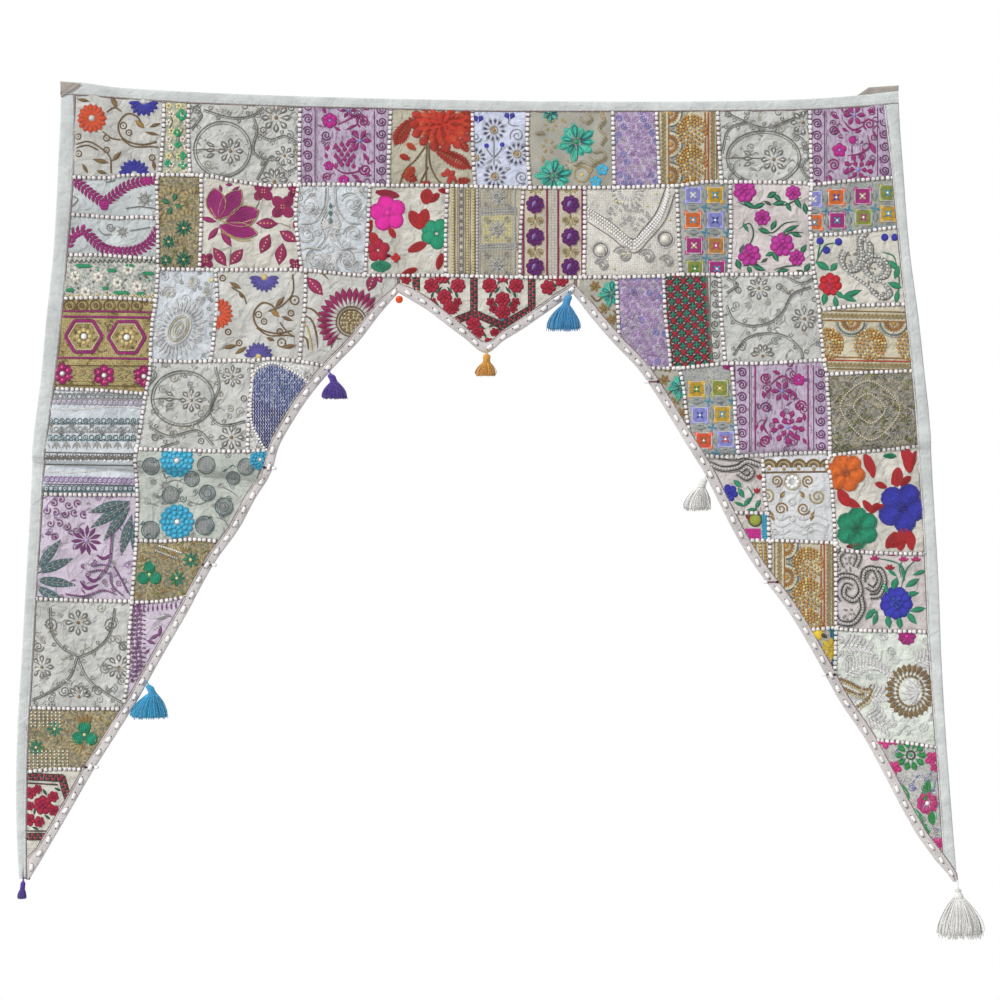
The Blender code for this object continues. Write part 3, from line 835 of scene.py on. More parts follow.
def smooth_path(spots, step=2.0):
    """A soft curve through a few points, as evenly spaced points."""
    spots = np.asarray(spots, float)
    if len(spots) < 3:
        count = max(2, int(np.linalg.norm(spots[-1] - spots[0]) / step) + 1)
        return spots[0] + (spots[-1] - spots[0]) * np.linspace(0, 1, count)[:, None]
    closed = bool(np.allclose(spots[0], spots[-1]))
    before = spots[-2] if closed else 2 * spots[0] - spots[1]
    after = spots[1] if closed else 2 * spots[-1] - spots[-2]
    padded = np.vstack([before, spots, after])
    made = []
    for a, b, c, d in zip(padded, padded[1:], padded[2:], padded[3:]):
        count = max(1, int(np.linalg.norm(c - b) / step))
        t = (np.arange(count) / count)[:, None]
        curve = 2 * b + (c - a) * t + (2 * a - 5 * b + 4 * c - d) * t**2 + (3 * b - a - 3 * c + d) * t**3
        made.append(0.5 * curve)
    return np.vstack(made + [spots[-1:]])


def spiral_path(x, y, radius, turns=1.75, start=0.0, hand=1, step=1.3):
    """From the rim of a scroll to its middle."""
    length = math.pi * radius * turns
    t = np.linspace(0, 1, max(8, int(length / step)))
    out = radius * (1 - 0.86 * t)
    turn = start + hand * 2 * math.pi * turns * t
    return np.stack([x + out * np.cos(turn), y + out * np.sin(turn)], 1)


def arc_path(x, y, radius_x, radius_y=None, start=0.0, end=360.0, step=2.0):
    radius_y = radius_x if radius_y is None else radius_y
    span = math.radians(abs(end - start)) * max(radius_x, radius_y)
    turn = np.radians(np.linspace(start, end, max(6, int(span / step) + 1)))
    return np.stack([x + radius_x * np.cos(turn), y + radius_y * np.sin(turn)], 1)


class Stitches:
    """Raised stitches on one patch. Places are millimetres from the patch's middle: x right and y down."""

    def __init__(self, middle, seed=0):
        self.middle = np.array(middle, float)
        self.turn = 0.0
        self.size = 1.0
        self.chance = random.Random(seed)
        self.spots, self.lifts, self.faces, self.tints, self.lays = [], [], [], [], []
        self.count = 0

    def add(self, spots, lifts, faces, tints, lays):
        spots = np.asarray(spots, float) * self.size
        cos, sin = math.cos(self.turn), math.sin(self.turn)
        turned = np.stack([spots[:, 0] * cos - spots[:, 1] * sin, spots[:, 0] * sin + spots[:, 1] * cos], 1)
        self.spots.append(turned + self.middle)
        self.lifts.append(np.asarray(lifts, float))
        self.faces.append(np.asarray(faces, int) + self.count)
        self.tints.append(np.asarray(tints, float))
        self.lays.append(np.asarray(lays, float))
        self.count += len(spots)

    def band(
        self, path, widths, colour, height=0.7, rim=0.45, glow=1.12, across=True, twist=0.0, vein=None,
    ):
        """A raised strip of stitches along a path, with painted shade at its rims and a painted highlight
        along its middle.
        """
        path = np.asarray(path, float)
        count = len(path)
        widths = np.broadcast_to(np.asarray(widths, float), (count,))
        runs = np.gradient(path, axis=0)
        runs /= np.maximum(np.linalg.norm(runs, axis=1), 1e-9)[:, None]
        sides = np.stack([-runs[:, 1], runs[:, 0]], 1)
        wide = widths.max() > 4.5
        places = (-1, -0.6, 0, 0.6, 1) if wide else (-1, 0, 1)
        shares = (0, 0.75, 1, 0.75, 0) if wide else (0, 1, 0)
        # The rims are darkened as painted shade and the middle lightened as a painted highlight.
        shades = (rim, 1, glow, 1, rim) if wide else (rim, glow, rim)
        base = np.array(tone(colour))
        steps = np.concatenate([[0], np.cumsum(np.linalg.norm(np.diff(path, axis=0), axis=1))])
        # Painted light and shade of a twisted cord: alternate points lighter and darker, times a small
        # random tone.
        twist_shade_and_tone = 1 + twist * np.where(np.arange(count) % 2, 1, -1)
        twist_shade_and_tone = twist_shade_and_tone * np.array([self.chance.uniform(0.93, 1.07) for _ in range(count)])
        plump = np.sqrt(np.clip(widths / max(widths.max(), 1e-6), 0, 1))
        spots, lifts, tints, lays = [], [], [], []
        for place, share, shade in zip(places, shares, shades):
            spots.append(path + sides * (widths / 2 * place)[:, None])
            lifts.append(0.14 + share * height * plump)
            own = np.array(tone(vein)) if vein and place == 0 else base * shade
            tints.append(np.clip(own[None, :] * twist_shade_and_tone[:, None], 0, 1))
            lays.append(steps if across else widths / 2 * place)
        faces = []
        for k in range(len(places) - 1):
            first = k * count + np.arange(count - 1)
            second = first + count
            faces.append(np.stack([first, first + 1, second + 1, second], 1))
        self.add(np.vstack(spots), np.hstack(lifts), np.vstack(faces), np.vstack(tints), np.hstack(lays))

    def cord(self, points, width, colour, height=0.8, twist=0.16, step=1.5, **more):
        self.band(smooth_path(points, step), width, colour, height=height, twist=twist, **more)

    def taper(self, points, width, colour, height=0.8, step=1.6, **more):
        """A cord that thins towards both ends, as a worked stem or curl does."""
        path = smooth_path(points, step)
        t = np.linspace(0, 1, len(path))
        self.band(path, width * np.clip(np.sin(np.pi * t) ** 0.55, 0.18, 1), colour, height=height, **more)

    def petal(self, x, y, angle, length, width, colour, bend=0.0, full=0.55, height=0.9, **more):
        """A petal or leaf from its foot, towards the angle in degrees, where 0 is right and 90 is down."""
        count = 6 if length < 9 else 9
        t = np.linspace(0, 1, count)
        turn = math.radians(angle) + bend * (t - 0.5) * 2
        steps = np.stack([np.cos(turn), np.sin(turn)], 1) * length / (count - 1)
        path = np.array([x, y]) + np.vstack([[0, 0], np.cumsum(steps[:-1], axis=0)])
        peak = t ** (math.log(0.5) / math.log(full))
        widths = width * np.clip(np.sin(np.pi * peak), 0.06, 1)
        self.band(path, widths, colour, height=height, **more)

    def dot(self, x, y, radius, colour, height=0.8, sides=8, rim=0.5, glow=1.15):
        turn = np.linspace(0, 2 * np.pi, sides, endpoint=False)
        ring = np.stack([np.cos(turn), np.sin(turn)], 1)
        spots = np.vstack([ring * radius, ring * radius * 0.62, [[0, 0]]]) + np.array([x, y])
        lifts = np.hstack([np.full(sides, 0.14), np.full(sides, 0.14 + 0.75 * height), [0.14 + height]])
        base = np.array(tone(colour))
        # The outer ring is darkened as painted shade and the peak lightened as a painted highlight.
        tints = np.vstack([np.tile(base * rim, (sides, 1)), np.tile(base, (sides, 1)), base[None] * glow])
        k = np.arange(sides)
        after = (k + 1) % sides
        ring_faces = np.stack([k, after, after + sides, k + sides], 1)
        cap = np.stack([k + sides, after + sides, np.full(sides, 2 * sides), np.full(sides, 2 * sides)], 1)
        self.add(spots, lifts, np.vstack([ring_faces, cap]), np.clip(tints, 0, 1), np.zeros(len(spots)))

    def ring(self, x, y, radius, width, colour, radius_y=None, **more):
        step = 1.2 if radius < 5 else 2.0
        self.band(arc_path(x, y, radius, radius_y, step=step), width, colour, **more)

    def spiral(self, x, y, radius, width, colour, turns=1.75, start=0.0, hand=1, **more):
        more.setdefault("twist", 0.12)
        path = spiral_path(x, y, radius, turns, math.radians(start), hand)
        self.band(path, np.linspace(width, width * 0.7, len(path)), colour, **more)

    def daisy(
        self, x, y, radius, colour, petals=14, heart="silver", wide=None, start=0.0, sweep=360, **more,
    ):
        """Petals round a middle, or round part of it."""
        count = petals
        inner = radius * 0.22
        width = wide or 2 * math.pi * radius * 0.9 / count * sweep / 360
        for k in range(count):
            angle = start + sweep * k / (count if sweep == 360 else max(1, count - 1))
            turn = math.radians(angle)
            reach = (radius - inner) * self.chance.uniform(0.92, 1.04)
            foot = (x + inner * math.cos(turn), y + inner * math.sin(turn))
            self.petal(x, y, angle, radius * 0.7, width, colour, full=0.75, height=0.5, rim=0.7)
            self.petal(*foot, angle, reach, width, colour, full=0.7, **more)
        if heart:
            self.dot(x, y, inner, heart, height=1.3)

    def blossom(self, x, y, radius, colour, petals=5, heart=None, start=-90.0, rings=2, **more):
        """Broad round petals, each worked in from its rim."""
        for k in range(petals):
            turn = math.radians(start + 360 * k / petals)
            reach = radius * 0.55
            spot = (x + reach * math.cos(turn), y + reach * math.sin(turn))
            size = radius * 0.47
            self.dot(*spot, size, colour, height=0.9, sides=12, rim=0.6)
            for ring in range(rings):
                across = size * (0.82 - 0.36 * ring)
                self.ring(*spot, across, 1.1, colour, height=0.5 + 0.3 * ring, rim=0.62, glow=1.2, **more)
        if heart:
            self.dot(x, y, radius * 0.2, heart, height=1.3)

    def sequins(self, x, y, radius, petals=8, metal="pewter", start=0.0, sweep=360):
        """A flower of drop-shaped sequins in couched outlines, each with a painted highlight down its
        middle.
        """
        for k in range(petals):
            angle = start + sweep * k / (petals if sweep == 360 else max(1, petals - 1))
            turn = math.radians(angle)
            foot = (x + radius * 0.26 * math.cos(turn), y + radius * 0.26 * math.sin(turn))
            self.petal(*foot, angle, radius * 0.76, radius * 0.42, metal, full=0.66, rim=0.5, height=0.5)
            # The small chalk petal on each sequin is a painted highlight.
            foot = (x + radius * 0.45 * math.cos(turn), y + radius * 0.45 * math.sin(turn))
            self.petal(*foot, angle, radius * 0.42, radius * 0.2, "chalk", full=0.6, rim=0.9, height=1.3)
        self.dot(x, y, radius * 0.14, "bronze", height=1.0)

    def square(self, x, y, size, colour, heart):
        """A small filled square with a drop in its middle."""
        half = size / 2
        for k in range(4):
            angle = 90 * k
            turn = math.radians(angle)
            self.petal(x, y, angle, half * 1.05, size * 0.9, colour, full=0.72, rim=0.8, height=0.6)
            corner = (
                x + half * math.cos(turn + math.pi / 4) * 1.2,
                y + half * math.sin(turn + math.pi / 4) * 1.2,
            )
            self.dot(*corner, half * 0.38, colour, height=0.5, rim=0.8)
        loop = [(x - half, y - half), (x + half, y - half), (x + half, y + half), (x - half, y + half)]
        for first, second in zip(loop, loop[1:] + loop[:1]):
            self.band(smooth_path([first, second], 2.0), 1.2, "chalk", height=0.7, rim=0.7)
        for angle in (45, 135, 225, 315):
            self.petal(x, y, angle, size * 0.3, size * 0.2, heart, height=1.1)
        self.dot(x, y, size * 0.1, "chalk", height=1.4)

    def object(self, name, material, starts=None, ends=None, front=front_of):
        """Joins the stitches, leaves out those outside the given patch, and lays them on the cloth."""
        if not self.spots:
            return None
        spots = np.vstack(self.spots)
        lifts, lays = np.hstack(self.lifts), np.hstack(self.lays)
        faces, tints = np.vstack(self.faces), np.vstack(self.tints)
        if starts is not None:
            middles = spots[faces].mean(1)
            faces = faces[are_inside(middles, starts, ends) & ~are_under_strips(middles)]
        used, places = np.unique(faces, return_inverse=True)
        faces = places.reshape(faces.shape)
        spots, lifts, tints, lays = spots[used], lifts[used], tints[used], lays[used]
        points = in_space(spots[:, 0], spots[:, 1], front(spots[:, 0], spots[:, 1]) - lifts)
        clean = []
        for face in faces:
            corners = list(dict.fromkeys(int(k) for k in face))
            if len(corners) > 2:
                clean.append(corners)
        return new_object(name, points, clean, material, True, tints, lays)


# The patchwork

# Each patch with a point inside it and its ground
PATCHES = rows(
    "name across drop ground",
    ("daisy_corner", -390, 40, "pale cloth"),
    ("lemon_brocade", -328, 42, "lemon"),
    ("silver_medallion", -254, 46, "silver cloth"),
    ("lilac_lotus_top", -146, 49, "lilac grey"),
    ("peony", -53, 52, "beige cloth"),
    ("blue_daisies", 22, 52, "blue white cloth"),
    ("mint_ribbons", 98, 52, "stone beige"),
    ("lilac_swirl_top", 168, 51, "lilac swirl"),
    ("mango_border_top", 226, 51, "gold cloth"),
    ("silver_loops", 308, 49, "silver cloth"),
    ("lilac_lotus_corner", 400, 48, "lilac grey"),
    ("zigzag_garland", -394, 103, "cool cloth"),
    ("round_garland", -396, 149, "cool cloth"),
    ("cream_sprigs", -400, 193, "green cream"),
    ("gold_hexagons", -407, 264, "old gold"),
    ("lace_bands", -419, 370, "satin white"),
    ("palm_leaves", -424, 483, "lilac cloth"),
    ("silver_arcs", -431, 598, "silver cloth"),
    ("trefoils_low", -445, 691, "olive gold"),
    ("rose_hexagons_low", -470, 756, "cream cloth"),
    ("gold_rays", -325, 131, "olive gold"),
    ("magenta_lotus", -249, 136, "cream cloth"),
    ("white_damask", -159, 139, "pale blue cloth"),
    ("pink_peony", -79, 141, "cream cloth"),
    ("stripes_and_squares", 4, 142, "warm beige"),
    ("purple_lattice", 79, 142, "warm beige"),
    ("bead_bands", 164, 141, "ivory bead"),
    ("check_squares", 242, 139, "mixed gold"),
    ("pink_roses", 313, 139, "rose cloth"),
    ("check_wide", 403, 117, "mixed gold"),
    ("silver_spray", 408, 182, "cream cloth"),
    ("sun_oval", -318, 232, "pale blue cloth"),
    ("violet_daisies", -238, 232, "pale cloth"),
    ("half_sunflower", -153, 224, "pale cloth"),
    ("rose_hexagons", 8, 221, "cream cloth"),
    ("mango_border_apex", 130, 203, "stone beige"),
    ("lilac_swirl_low", 174, 237, "lilac swirl"),
    ("star_speckle", 224, 237, "dark speckle"),
    ("check_strip", 254, 235, "silver cloth"),
    ("silver_scrolls", 313, 235, "silver cloth"),
    ("mango_border_side", 416, 259, "gold cloth"),
    ("silver_rounds", -305, 330, "silver cloth"),
    ("blue_knit", -221, 326, "white knit"),
    ("mint_corner", 205, 304, "stone beige"),
    ("check_small", 248, 332, "mixed gold"),
    ("lilac_lotus_low", 324, 332, "lilac grey"),
    ("sage_fleck", 423, 337, "sage"),
    ("teal_circles", -311, 426, "green grey cloth"),
    ("trefoils", -337, 507, "olive gold"),
    ("mauve_fringe", -367, 561, "lilac cloth"),
    ("silver_paisley", 278, 412, "rose cloth"),
    ("pink_olive", 299, 462, "cream cloth"),
    ("gold_arches", 342, 432, "white cloth"),
    ("bright_garden", 429, 432, "cream cloth"),
    ("narrow_corner", 305, 483, "gold cloth"),
    ("mango_border_low", 349, 523, "gold cloth"),
    ("blue_rose", 433, 530, "rose cloth"),
    ("yellow_olive", 377, 588, "yellow olive"),
    ("mint_relief", 434, 629, "mint cloth"),
    ("lilac_tip", 470, 734, "lilac white"),
)

# How each ground is worked: its kind, the size of its grain in millimetres, its depth and its colours,
# listed darkest first so that the hollows take painted shade
GROUNDS = rows(
    "name kind size depth tones",
    ("pale cloth", "cloth", 1.1, 0.3, (("pale ground", 0.94),)),
    ("silver cloth", "cloth", 1.1, 0.3, (("silver ground", 1.06),)),
    ("beige cloth", "cloth", 1.2, 0.3, (("beige ground", 1.0),)),
    ("blue white cloth", "cloth", 1.1, 0.3, (("blue ground", 1.0),)),
    ("gold cloth", "cloth", 1.2, 0.3, (("gold ground", 1.0),)),
    ("cool cloth", "cloth", 1.1, 0.3, (("cool ground", 1.0),)),
    ("lilac cloth", "cloth", 1.1, 0.3, (("lilac ground", 1.08),)),
    ("cream cloth", "cloth", 1.2, 0.3, (("cream ground", 1.0),)),
    ("pale blue cloth", "cloth", 1.1, 0.3, (("pale blue ground", 1.07),)),
    ("rose cloth", "cloth", 1.1, 0.3, (("rose ground", 1.0),)),
    ("green grey cloth", "cloth", 1.1, 0.3, (("green grey ground", 1.08),)),
    ("white cloth", "cloth", 1.1, 0.3, (("white ground", 1.0),)),
    ("mint cloth", "cloth", 1.1, 0.3, (("mint ground", 1.08),)),
    (
        "olive gold", "fleck", 2.6, 0.5,
        (("moss", 1.0), ("pewter", 0.8), ("pale gold", 0.74), ("ivory", 0.85)),
    ),
    ("dark speckle", "fleck", 2.0, 0.4, (("dark", 0.8), ("umber", 0.9), ("plum", 0.6), ("silver", 0.8))),
    ("lemon", "fleck", 3.4, 0.5, (("leaf", 0.8), ("grey", 0.98), ("straw", 0.95), ("ivory", 0.95))),
    ("lilac grey", "thread", 2.0, 0.4, (("mauve", 0.8), ("pale lilac", 0.82), ("pale lilac", 0.95))),
    ("warm beige", "bead", 2.0, 0.5, (("sand", 0.85), ("sand", 1.05), ("ivory", 0.95))),
    ("stone beige", "fleck", 2.4, 0.5, (("pewter", 1.0), ("sand", 0.86), ("grey", 1.05), ("ivory", 0.92))),
    ("lilac swirl", "swirl", 3.6, 0.6, (("lilac", 0.95), ("pale lilac", 0.88), ("pale lilac", 1.0))),
    ("green cream", "fleck", 3.0, 0.5, (("green", 0.75), ("grey", 0.95), ("ivory", 0.95), ("chalk", 0.9))),
    ("old gold", "bead", 2.2, 0.5, (("bronze", 0.85), ("pale gold", 0.7), ("straw", 0.8))),
    ("satin white", "cloth", 1.1, 0.3, (("pale blue ground", 1.07),)),
    ("ivory bead", "bead", 2.4, 0.5, (("silver", 0.85), ("ivory", 0.9), ("chalk", 0.95))),
    (
        "mixed gold", "fleck", 2.4, 0.5,
        (("steel", 0.85), ("grey", 0.85), ("silver", 0.85), ("pale gold", 0.85)),
    ),
    ("white knit", "fleck", 2.6, 0.6, (("steel", 0.75), ("silver", 0.9), ("chalk", 0.9), ("chalk", 1.0))),
    ("sage", "fleck", 3.0, 0.5, (("moss", 0.9), ("pewter", 0.85), ("sand", 0.74), ("silver", 0.8))),
    ("yellow olive", "fleck", 2.4, 0.5, (("pewter", 0.9), ("silver", 0.9), ("ivory", 0.9))),
    ("lilac white", "fleck", 2.6, 0.6, (("grey", 0.8), ("silver", 0.95), ("chalk", 0.92))),
)


def ground_material(ground):
    colours = [tone(*each) for each in ground.tones]
    name = "ground_" + ground.name.replace(" ", "_")
    if ground.kind == "cloth":
        return plain_cloth(name, colours[0], mottle=0.2, pitch=ground.size, crumple=4.0)
    return worked_cloth(name, ground.kind, ground.size, colours, depth=ground.depth * 1.4, cloud=0.16)


def grid_spots(outline):
    """Points in rows that follow the folds, closer together near them, clear of edges and seams."""
    spots = []
    for side in (-1, 1):
        fold_row = float(of_fold(side, "row"))
        every = np.arange(-20, 850, GROUND_PITCH)
        every = every[abs(every - fold_row) > FOLD_ZONE]
        close = np.arange(fold_row - FOLD_ZONE, fold_row + FOLD_ZONE + 0.1, FOLD_PITCH)
        columns = side * np.arange(GROUND_PITCH / 2, 525, GROUND_PITCH)
        for level in np.concatenate([every, close]):
            spots.append(np.stack([columns, level + tilt(level, columns)], 1))
    spots = np.vstack(spots)
    starts, ends = outline, np.roll(outline, -1, axis=0)
    spots = spots[are_inside(spots, starts, ends)]
    spots = spots[from_lines(spots, starts, ends) > 1.8]
    return spots[to_nearest_seam(spots[:, 0], spots[:, 1]) > 1.6]


def lengthened(path, by, step=1.5):
    """A line made longer at both ends, so that it crosses what it meets."""
    path = np.array(path, float)
    first = (path[0] - path[1]) / np.linalg.norm(path[0] - path[1])
    last = (path[-1] - path[-2]) / np.linalg.norm(path[-1] - path[-2])
    steps = np.arange(step, by + 0.1, step)[:, None]
    return np.vstack([path[0] + first * steps[::-1], path, path[-1] + last * steps])


def as_wall(path, outline):
    """A seam's line that ends a little past what it meets, or outside the cloth's edge."""
    near = from_lines(path[[0, -1]], outline, np.roll(outline, -1, axis=0)) < EDGE_REACH
    by = np.where(near, EDGE_REACH + OVERSHOOT / 2, OVERSHOOT)
    first = (path[0] - path[1]) / np.linalg.norm(path[0] - path[1])
    last = (path[-1] - path[-2]) / np.linalg.norm(path[-1] - path[-2])
    return np.vstack([path[0] + first * by[0], path, path[-1] + last * by[1]])


def divided_cloth():
    """The cloth's points and triangles, with each triangle's patch number."""
    outline = panel_outline()
    spots, edges = [tuple(spot) for spot in outline], []
    for line in SEAMS.values():
        path = as_wall(smooth_path(line, GROUND_PITCH), outline)
        first = len(spots)
        spots += [tuple(spot) for spot in path]
        edges += [(k, k + 1) for k in range(first, len(spots) - 1)]
    spots += [tuple(spot) for spot in grid_spots(outline)]
    face = [list(range(len(outline)))]
    found = delaunay_2d_cdt([Vector(spot) for spot in spots], edges, face, 1, 1e-4)
    points = np.array([tuple(spot) for spot in found[0]])
    triangles = np.array([list(face) for face in found[2]])
    walls = {tuple(sorted(edge)) for edge, source in zip(found[1], found[4]) if source}
    return points, triangles, patch_of_each(points, triangles, walls)


def patch_of_each(points, triangles, walls):
    """Spreads each patch's number from the triangle round its point, up to the seams."""
    beside = {}
    for number, triangle in enumerate(triangles):
        for a, b in zip(triangle, np.roll(triangle, -1)):
            edge = (int(min(a, b)), int(max(a, b)))
            if edge not in walls:
                beside.setdefault(edge, []).append(number)
    neighbours = [[] for _ in triangles]
    for pair in beside.values():
        if len(pair) == 2:
            neighbours[pair[0]].append(pair[1])
            neighbours[pair[1]].append(pair[0])
    middles = points[triangles].mean(1)
    patch = np.full(len(triangles), -1)
    for number, each in enumerate(PATCHES):
        near = np.argmin(((middles - (each.across, each.drop)) ** 2).sum(1))
        waiting = [int(near)] if patch[near] < 0 else []
        while waiting:
            at = waiting.pop()
            if patch[at] < 0:
                patch[at] = number
                waiting += neighbours[at]
    reached = np.flatnonzero(patch >= 0)
    for at in np.flatnonzero(patch < 0):
        patch[at] = patch[reached[np.argmin(((middles[reached] - middles[at]) ** 2).sum(1))]]
    return patch


def facing_front(points, triangles):
    """The same triangles, each turned to face the front."""
    a, b, c = (points[triangles[:, k]] for k in range(3))
    ab, ac = b - a, c - a
    turned = ab[:, 0] * ac[:, 1] - ab[:, 1] * ac[:, 0] > 0
    flipped = triangles.copy()
    flipped[turned] = triangles[turned][:, ::-1]
    return flipped


def rim_of(triangles):
    """The edges that only one of the triangles has."""
    edges = np.vstack([triangles[:, [0, 1]], triangles[:, [1, 2]], triangles[:, [2, 0]]])
    edges.sort(axis=1)
    unique, counts = np.unique(edges, axis=0, return_counts=True)
    return unique[counts == 1]


def part_mesh(name, points, triangles, material):
    used, places = np.unique(triangles, return_inverse=True)
    return new_object(name, points[used], places.reshape(triangles.shape), material)


def strip_edges():
    """Each strip's loop of edges, from its outer edge and back along its seam."""
    loops = []
    for stations in (top_stations(44), side_stations(-1), side_stations(1), tape_stations()):
        loop = [pair[0] for pair in stations] + [pair[1] for pair in stations][::-1]
        loops.append((np.array(loop, float), np.roll(np.array(loop, float), -1, axis=0)))
    return loops


STRIP_LOOPS = strip_edges()


def are_under_strips(spots):
    hidden = np.zeros(len(spots), bool)
    for starts, ends in STRIP_LOOPS:
        hidden |= are_inside(spots, starts, ends)
    return hidden


# The seams' beads and threads


def bead_shape(sides=10):
    """An oblong dome's rings as shares of its length, width and height."""
    turn = np.linspace(0, 2 * np.pi, sides, endpoint=False)
    round_x = np.sign(np.cos(turn)) * abs(np.cos(turn)) ** 0.62
    round_y = np.sign(np.sin(turn)) * abs(np.sin(turn)) ** 0.62
    spots, lifts, shades = [], [], []
    # The rings' shades are painted shade, darkest at the foot, with a painted highlight on top.
    for share, lift, shade in ((1.0, 0.0, 0.42), (0.94, 0.5, 0.8), (0.66, 0.92, 1.0)):
        spots.append(np.stack([round_x * share, round_y * share], 1) / 2)
        lifts += [lift] * sides
        shades += [shade] * sides
    spots.append(np.zeros((1, 2)))
    k = np.arange(sides)
    after = (k + 1) % sides
    faces = []
    for ring in (0, 1):
        low, high = ring * sides, (ring + 1) * sides
        faces.append(np.stack([k + low, after + low, after + high, k + high], 1))
    top = np.full(sides, 3 * sides)
    faces.append(np.stack([k + 2 * sides, after + 2 * sides, top, top], 1))
    return np.vstack(spots), np.array(lifts + [1.0]), np.vstack(faces), np.array(shades + [1.05])


BEAD_SPOTS, BEAD_LIFTS, BEAD_FACES, BEAD_PAINTED_SHADES = bead_shape()


def lay_bead(work, spot, along, length, width, height, colour, lift=0.3):
    cos, sin = along
    x = BEAD_SPOTS[:, 0] * length
    y = BEAD_SPOTS[:, 1] * width
    spots = np.stack([x * cos - y * sin, x * sin + y * cos], 1) + spot
    # The bead's colour carries the painted shade and highlight of its rings.
    tints = np.clip(np.array(colour)[None, :] * BEAD_PAINTED_SHADES[:, None], 0, 1)
    work.add(spots, lift + BEAD_LIFTS * height, BEAD_FACES, tints, np.zeros(len(spots)))


def reaching_edges(path, starts, ends):
    """The line, made longer where it ends close to the cloth's edge."""
    longer = lengthened(path, OVERSHOOT)
    added = (len(longer) - len(path)) // 2
    near = from_lines(path[[0, -1]], starts, ends) < OVERSHOOT
    first = 0 if near[0] else added
    last = len(longer) if near[1] else len(longer) - added
    return longer[first:last]


def beaded_seam(name, line, material, starts, ends):
    """A row of oblong beads along a seam, couched over a dark thread whose dark in the gaps between beads
    is partly painted shade.
    """
    work = Stitches((0, 0), seed=sum(map(ord, name)))
    path = reaching_edges(smooth_path(line, 1.5), starts, ends)
    # The dark thread band is the real couching thread, and where it shows between the beads it also stands
    # as painted shade of the gaps.
    work.band(path, 3.6, "seam thread", height=0.4, rim=0.75, glow=1.2, twist=0.25)
    if name not in PLAIN_SEAMS:
        steps = np.concatenate([[0], np.cumsum(np.linalg.norm(np.diff(path, axis=0), axis=1))])
        at = np.arange(BEAD_PITCH / 2, steps[-1], BEAD_PITCH)
        for place in at:
            place += work.chance.uniform(-0.5, 0.5)
            spot = np.array([np.interp(place, steps, path[:, k]) for k in (0, 1)])
            ahead = np.array([np.interp(place + 1, steps, path[:, k]) for k in (0, 1)]) - spot
            if np.linalg.norm(ahead) < 0.2:
                continue
            lean = math.atan2(ahead[1], ahead[0]) + work.chance.uniform(-0.16, 0.16)
            length = BEAD_LENGTH * work.chance.uniform(0.86, 1.08)
            colour = tone("bead", work.chance.uniform(0.74, 1.0))
            width = BEAD_WIDTH * work.chance.uniform(0.9, 1.12)
            lay_bead(work, spot, (math.cos(lean), math.sin(lean)), length, width, BEAD_HEIGHT, colour)
    return work.object("seam_" + name, material, starts, ends)


# Folded strips along the edges


# A strip's section: share of its width from the outer edge, or millimetres from an edge, and place forward
def strip_section(width):
    """From the seam at the back, round the outer edge, to the seam at the front."""
    face = (
        (0.25, 1.25),
        (0.9, 1.95),
        (2.0, 2.25),
        (0.40 * width, 2.3),
        (0.62 * width, 2.25),
        (width - 3.4, 2.2),
        (width - 2.4, 1.8),
        (width - 1.4, 2.15),
        (width - 0.5, 2.05),
        (width, 1.25),
    )
    back = [(at, -forward) for at, forward in face[::-1] if at not in (face[3][0],)]
    return back + [(0.0, 0.0)] + list(face)


def fine_strip(name, stations, material, sections, puckers=0.35, seed=1):
    """A strip folded over the cloth's edge, puckered by its line of stitches."""
    chance = random.Random(seed)
    shifts = [chance.uniform(0, 6.3) for _ in range(6)]
    points, lengths, widths = [], 0.0, []
    count = None
    before = None
    for outer, inner in stations:
        outer, inner = np.array(outer, float), np.array(inner, float)
        width = float(np.linalg.norm(inner - outer))
        middle = (outer + inner) / 2
        if before is not None:
            lengths += float(np.linalg.norm(middle - before))
        before = middle
        widths.append(width)
        levels = depth_at(*outer), depth_at(*inner)
        section = sections(width)
        count = len(section)
        for at, forward in section:
            share = at / width
            across, drop = outer + (inner - outer) * share
            level = levels[0] + (levels[1] - levels[0]) * share
            near = math.exp(-abs(width - 2.4 - at) / 4)
            ripple = math.sin(lengths / 1.9 + shifts[0]) * 0.35 + math.sin(lengths / 3.7 + shifts[1]) * 0.65
            slow = math.sin(lengths / 9 + at / 5 + shifts[2]) + math.sin(lengths / 23 - at / 7 + shifts[3])
            rise = puckers * (0.55 * near * ripple + 0.45 * slow * min(1, at / 3))
            sign = 1 if forward >= 0 else -1
            points.append(in_space(across, drop, level - forward - sign * max(-0.35, rise)))
    faces = []
    rings = len(points) // count
    for ring in range(rings - 1):
        for k in range(count - 1):
            first = ring * count + k
            faces.append((first, first + 1, first + count + 1, first + count))
    made = new_object(name, points, faces, material)
    return made, (2 * float(np.mean(widths)) * MM + 0.004, lengths * MM)


def strip_seams():
    """Inner edges, middles and outer edges of the strips: the patches lie flat at them, as at a seam."""
    lines = (top_stations(44), side_stations(-1), side_stations(1), tape_stations())
    starts, ends = [], []
    for stations in lines:
        outer = np.array([pair[0] for pair in stations])
        inner = np.array([pair[1] for pair in stations])
        for line in (inner, (inner[::2] + outer[::2]) / 2, outer[::2]):
            starts += list(line[:-1])
            ends += list(line[1:])
    return np.array(starts, float), np.array(ends, float)


# Beads and stitches on the strips

# Places on the doorway's edge where the tape's thread is knotted round a small bead
KNOTS = rows(
    "across drop",
    (-226.8, 400.3),
    (-288.4, 497.5),
    (-423.4, 726.5),
    (179.3, 296.6),
    (307.8, 509.3),
    (372.6, 617.3),
)
TAPE_BEAD = (7.8, 4.3, 1.9)
KNOT_BEAD = (5.6, 4.0, 2.4)


def on_strip(across, drop):
    """The front face of a folded strip, along Y."""
    return depth_at(across, drop) - 2.2


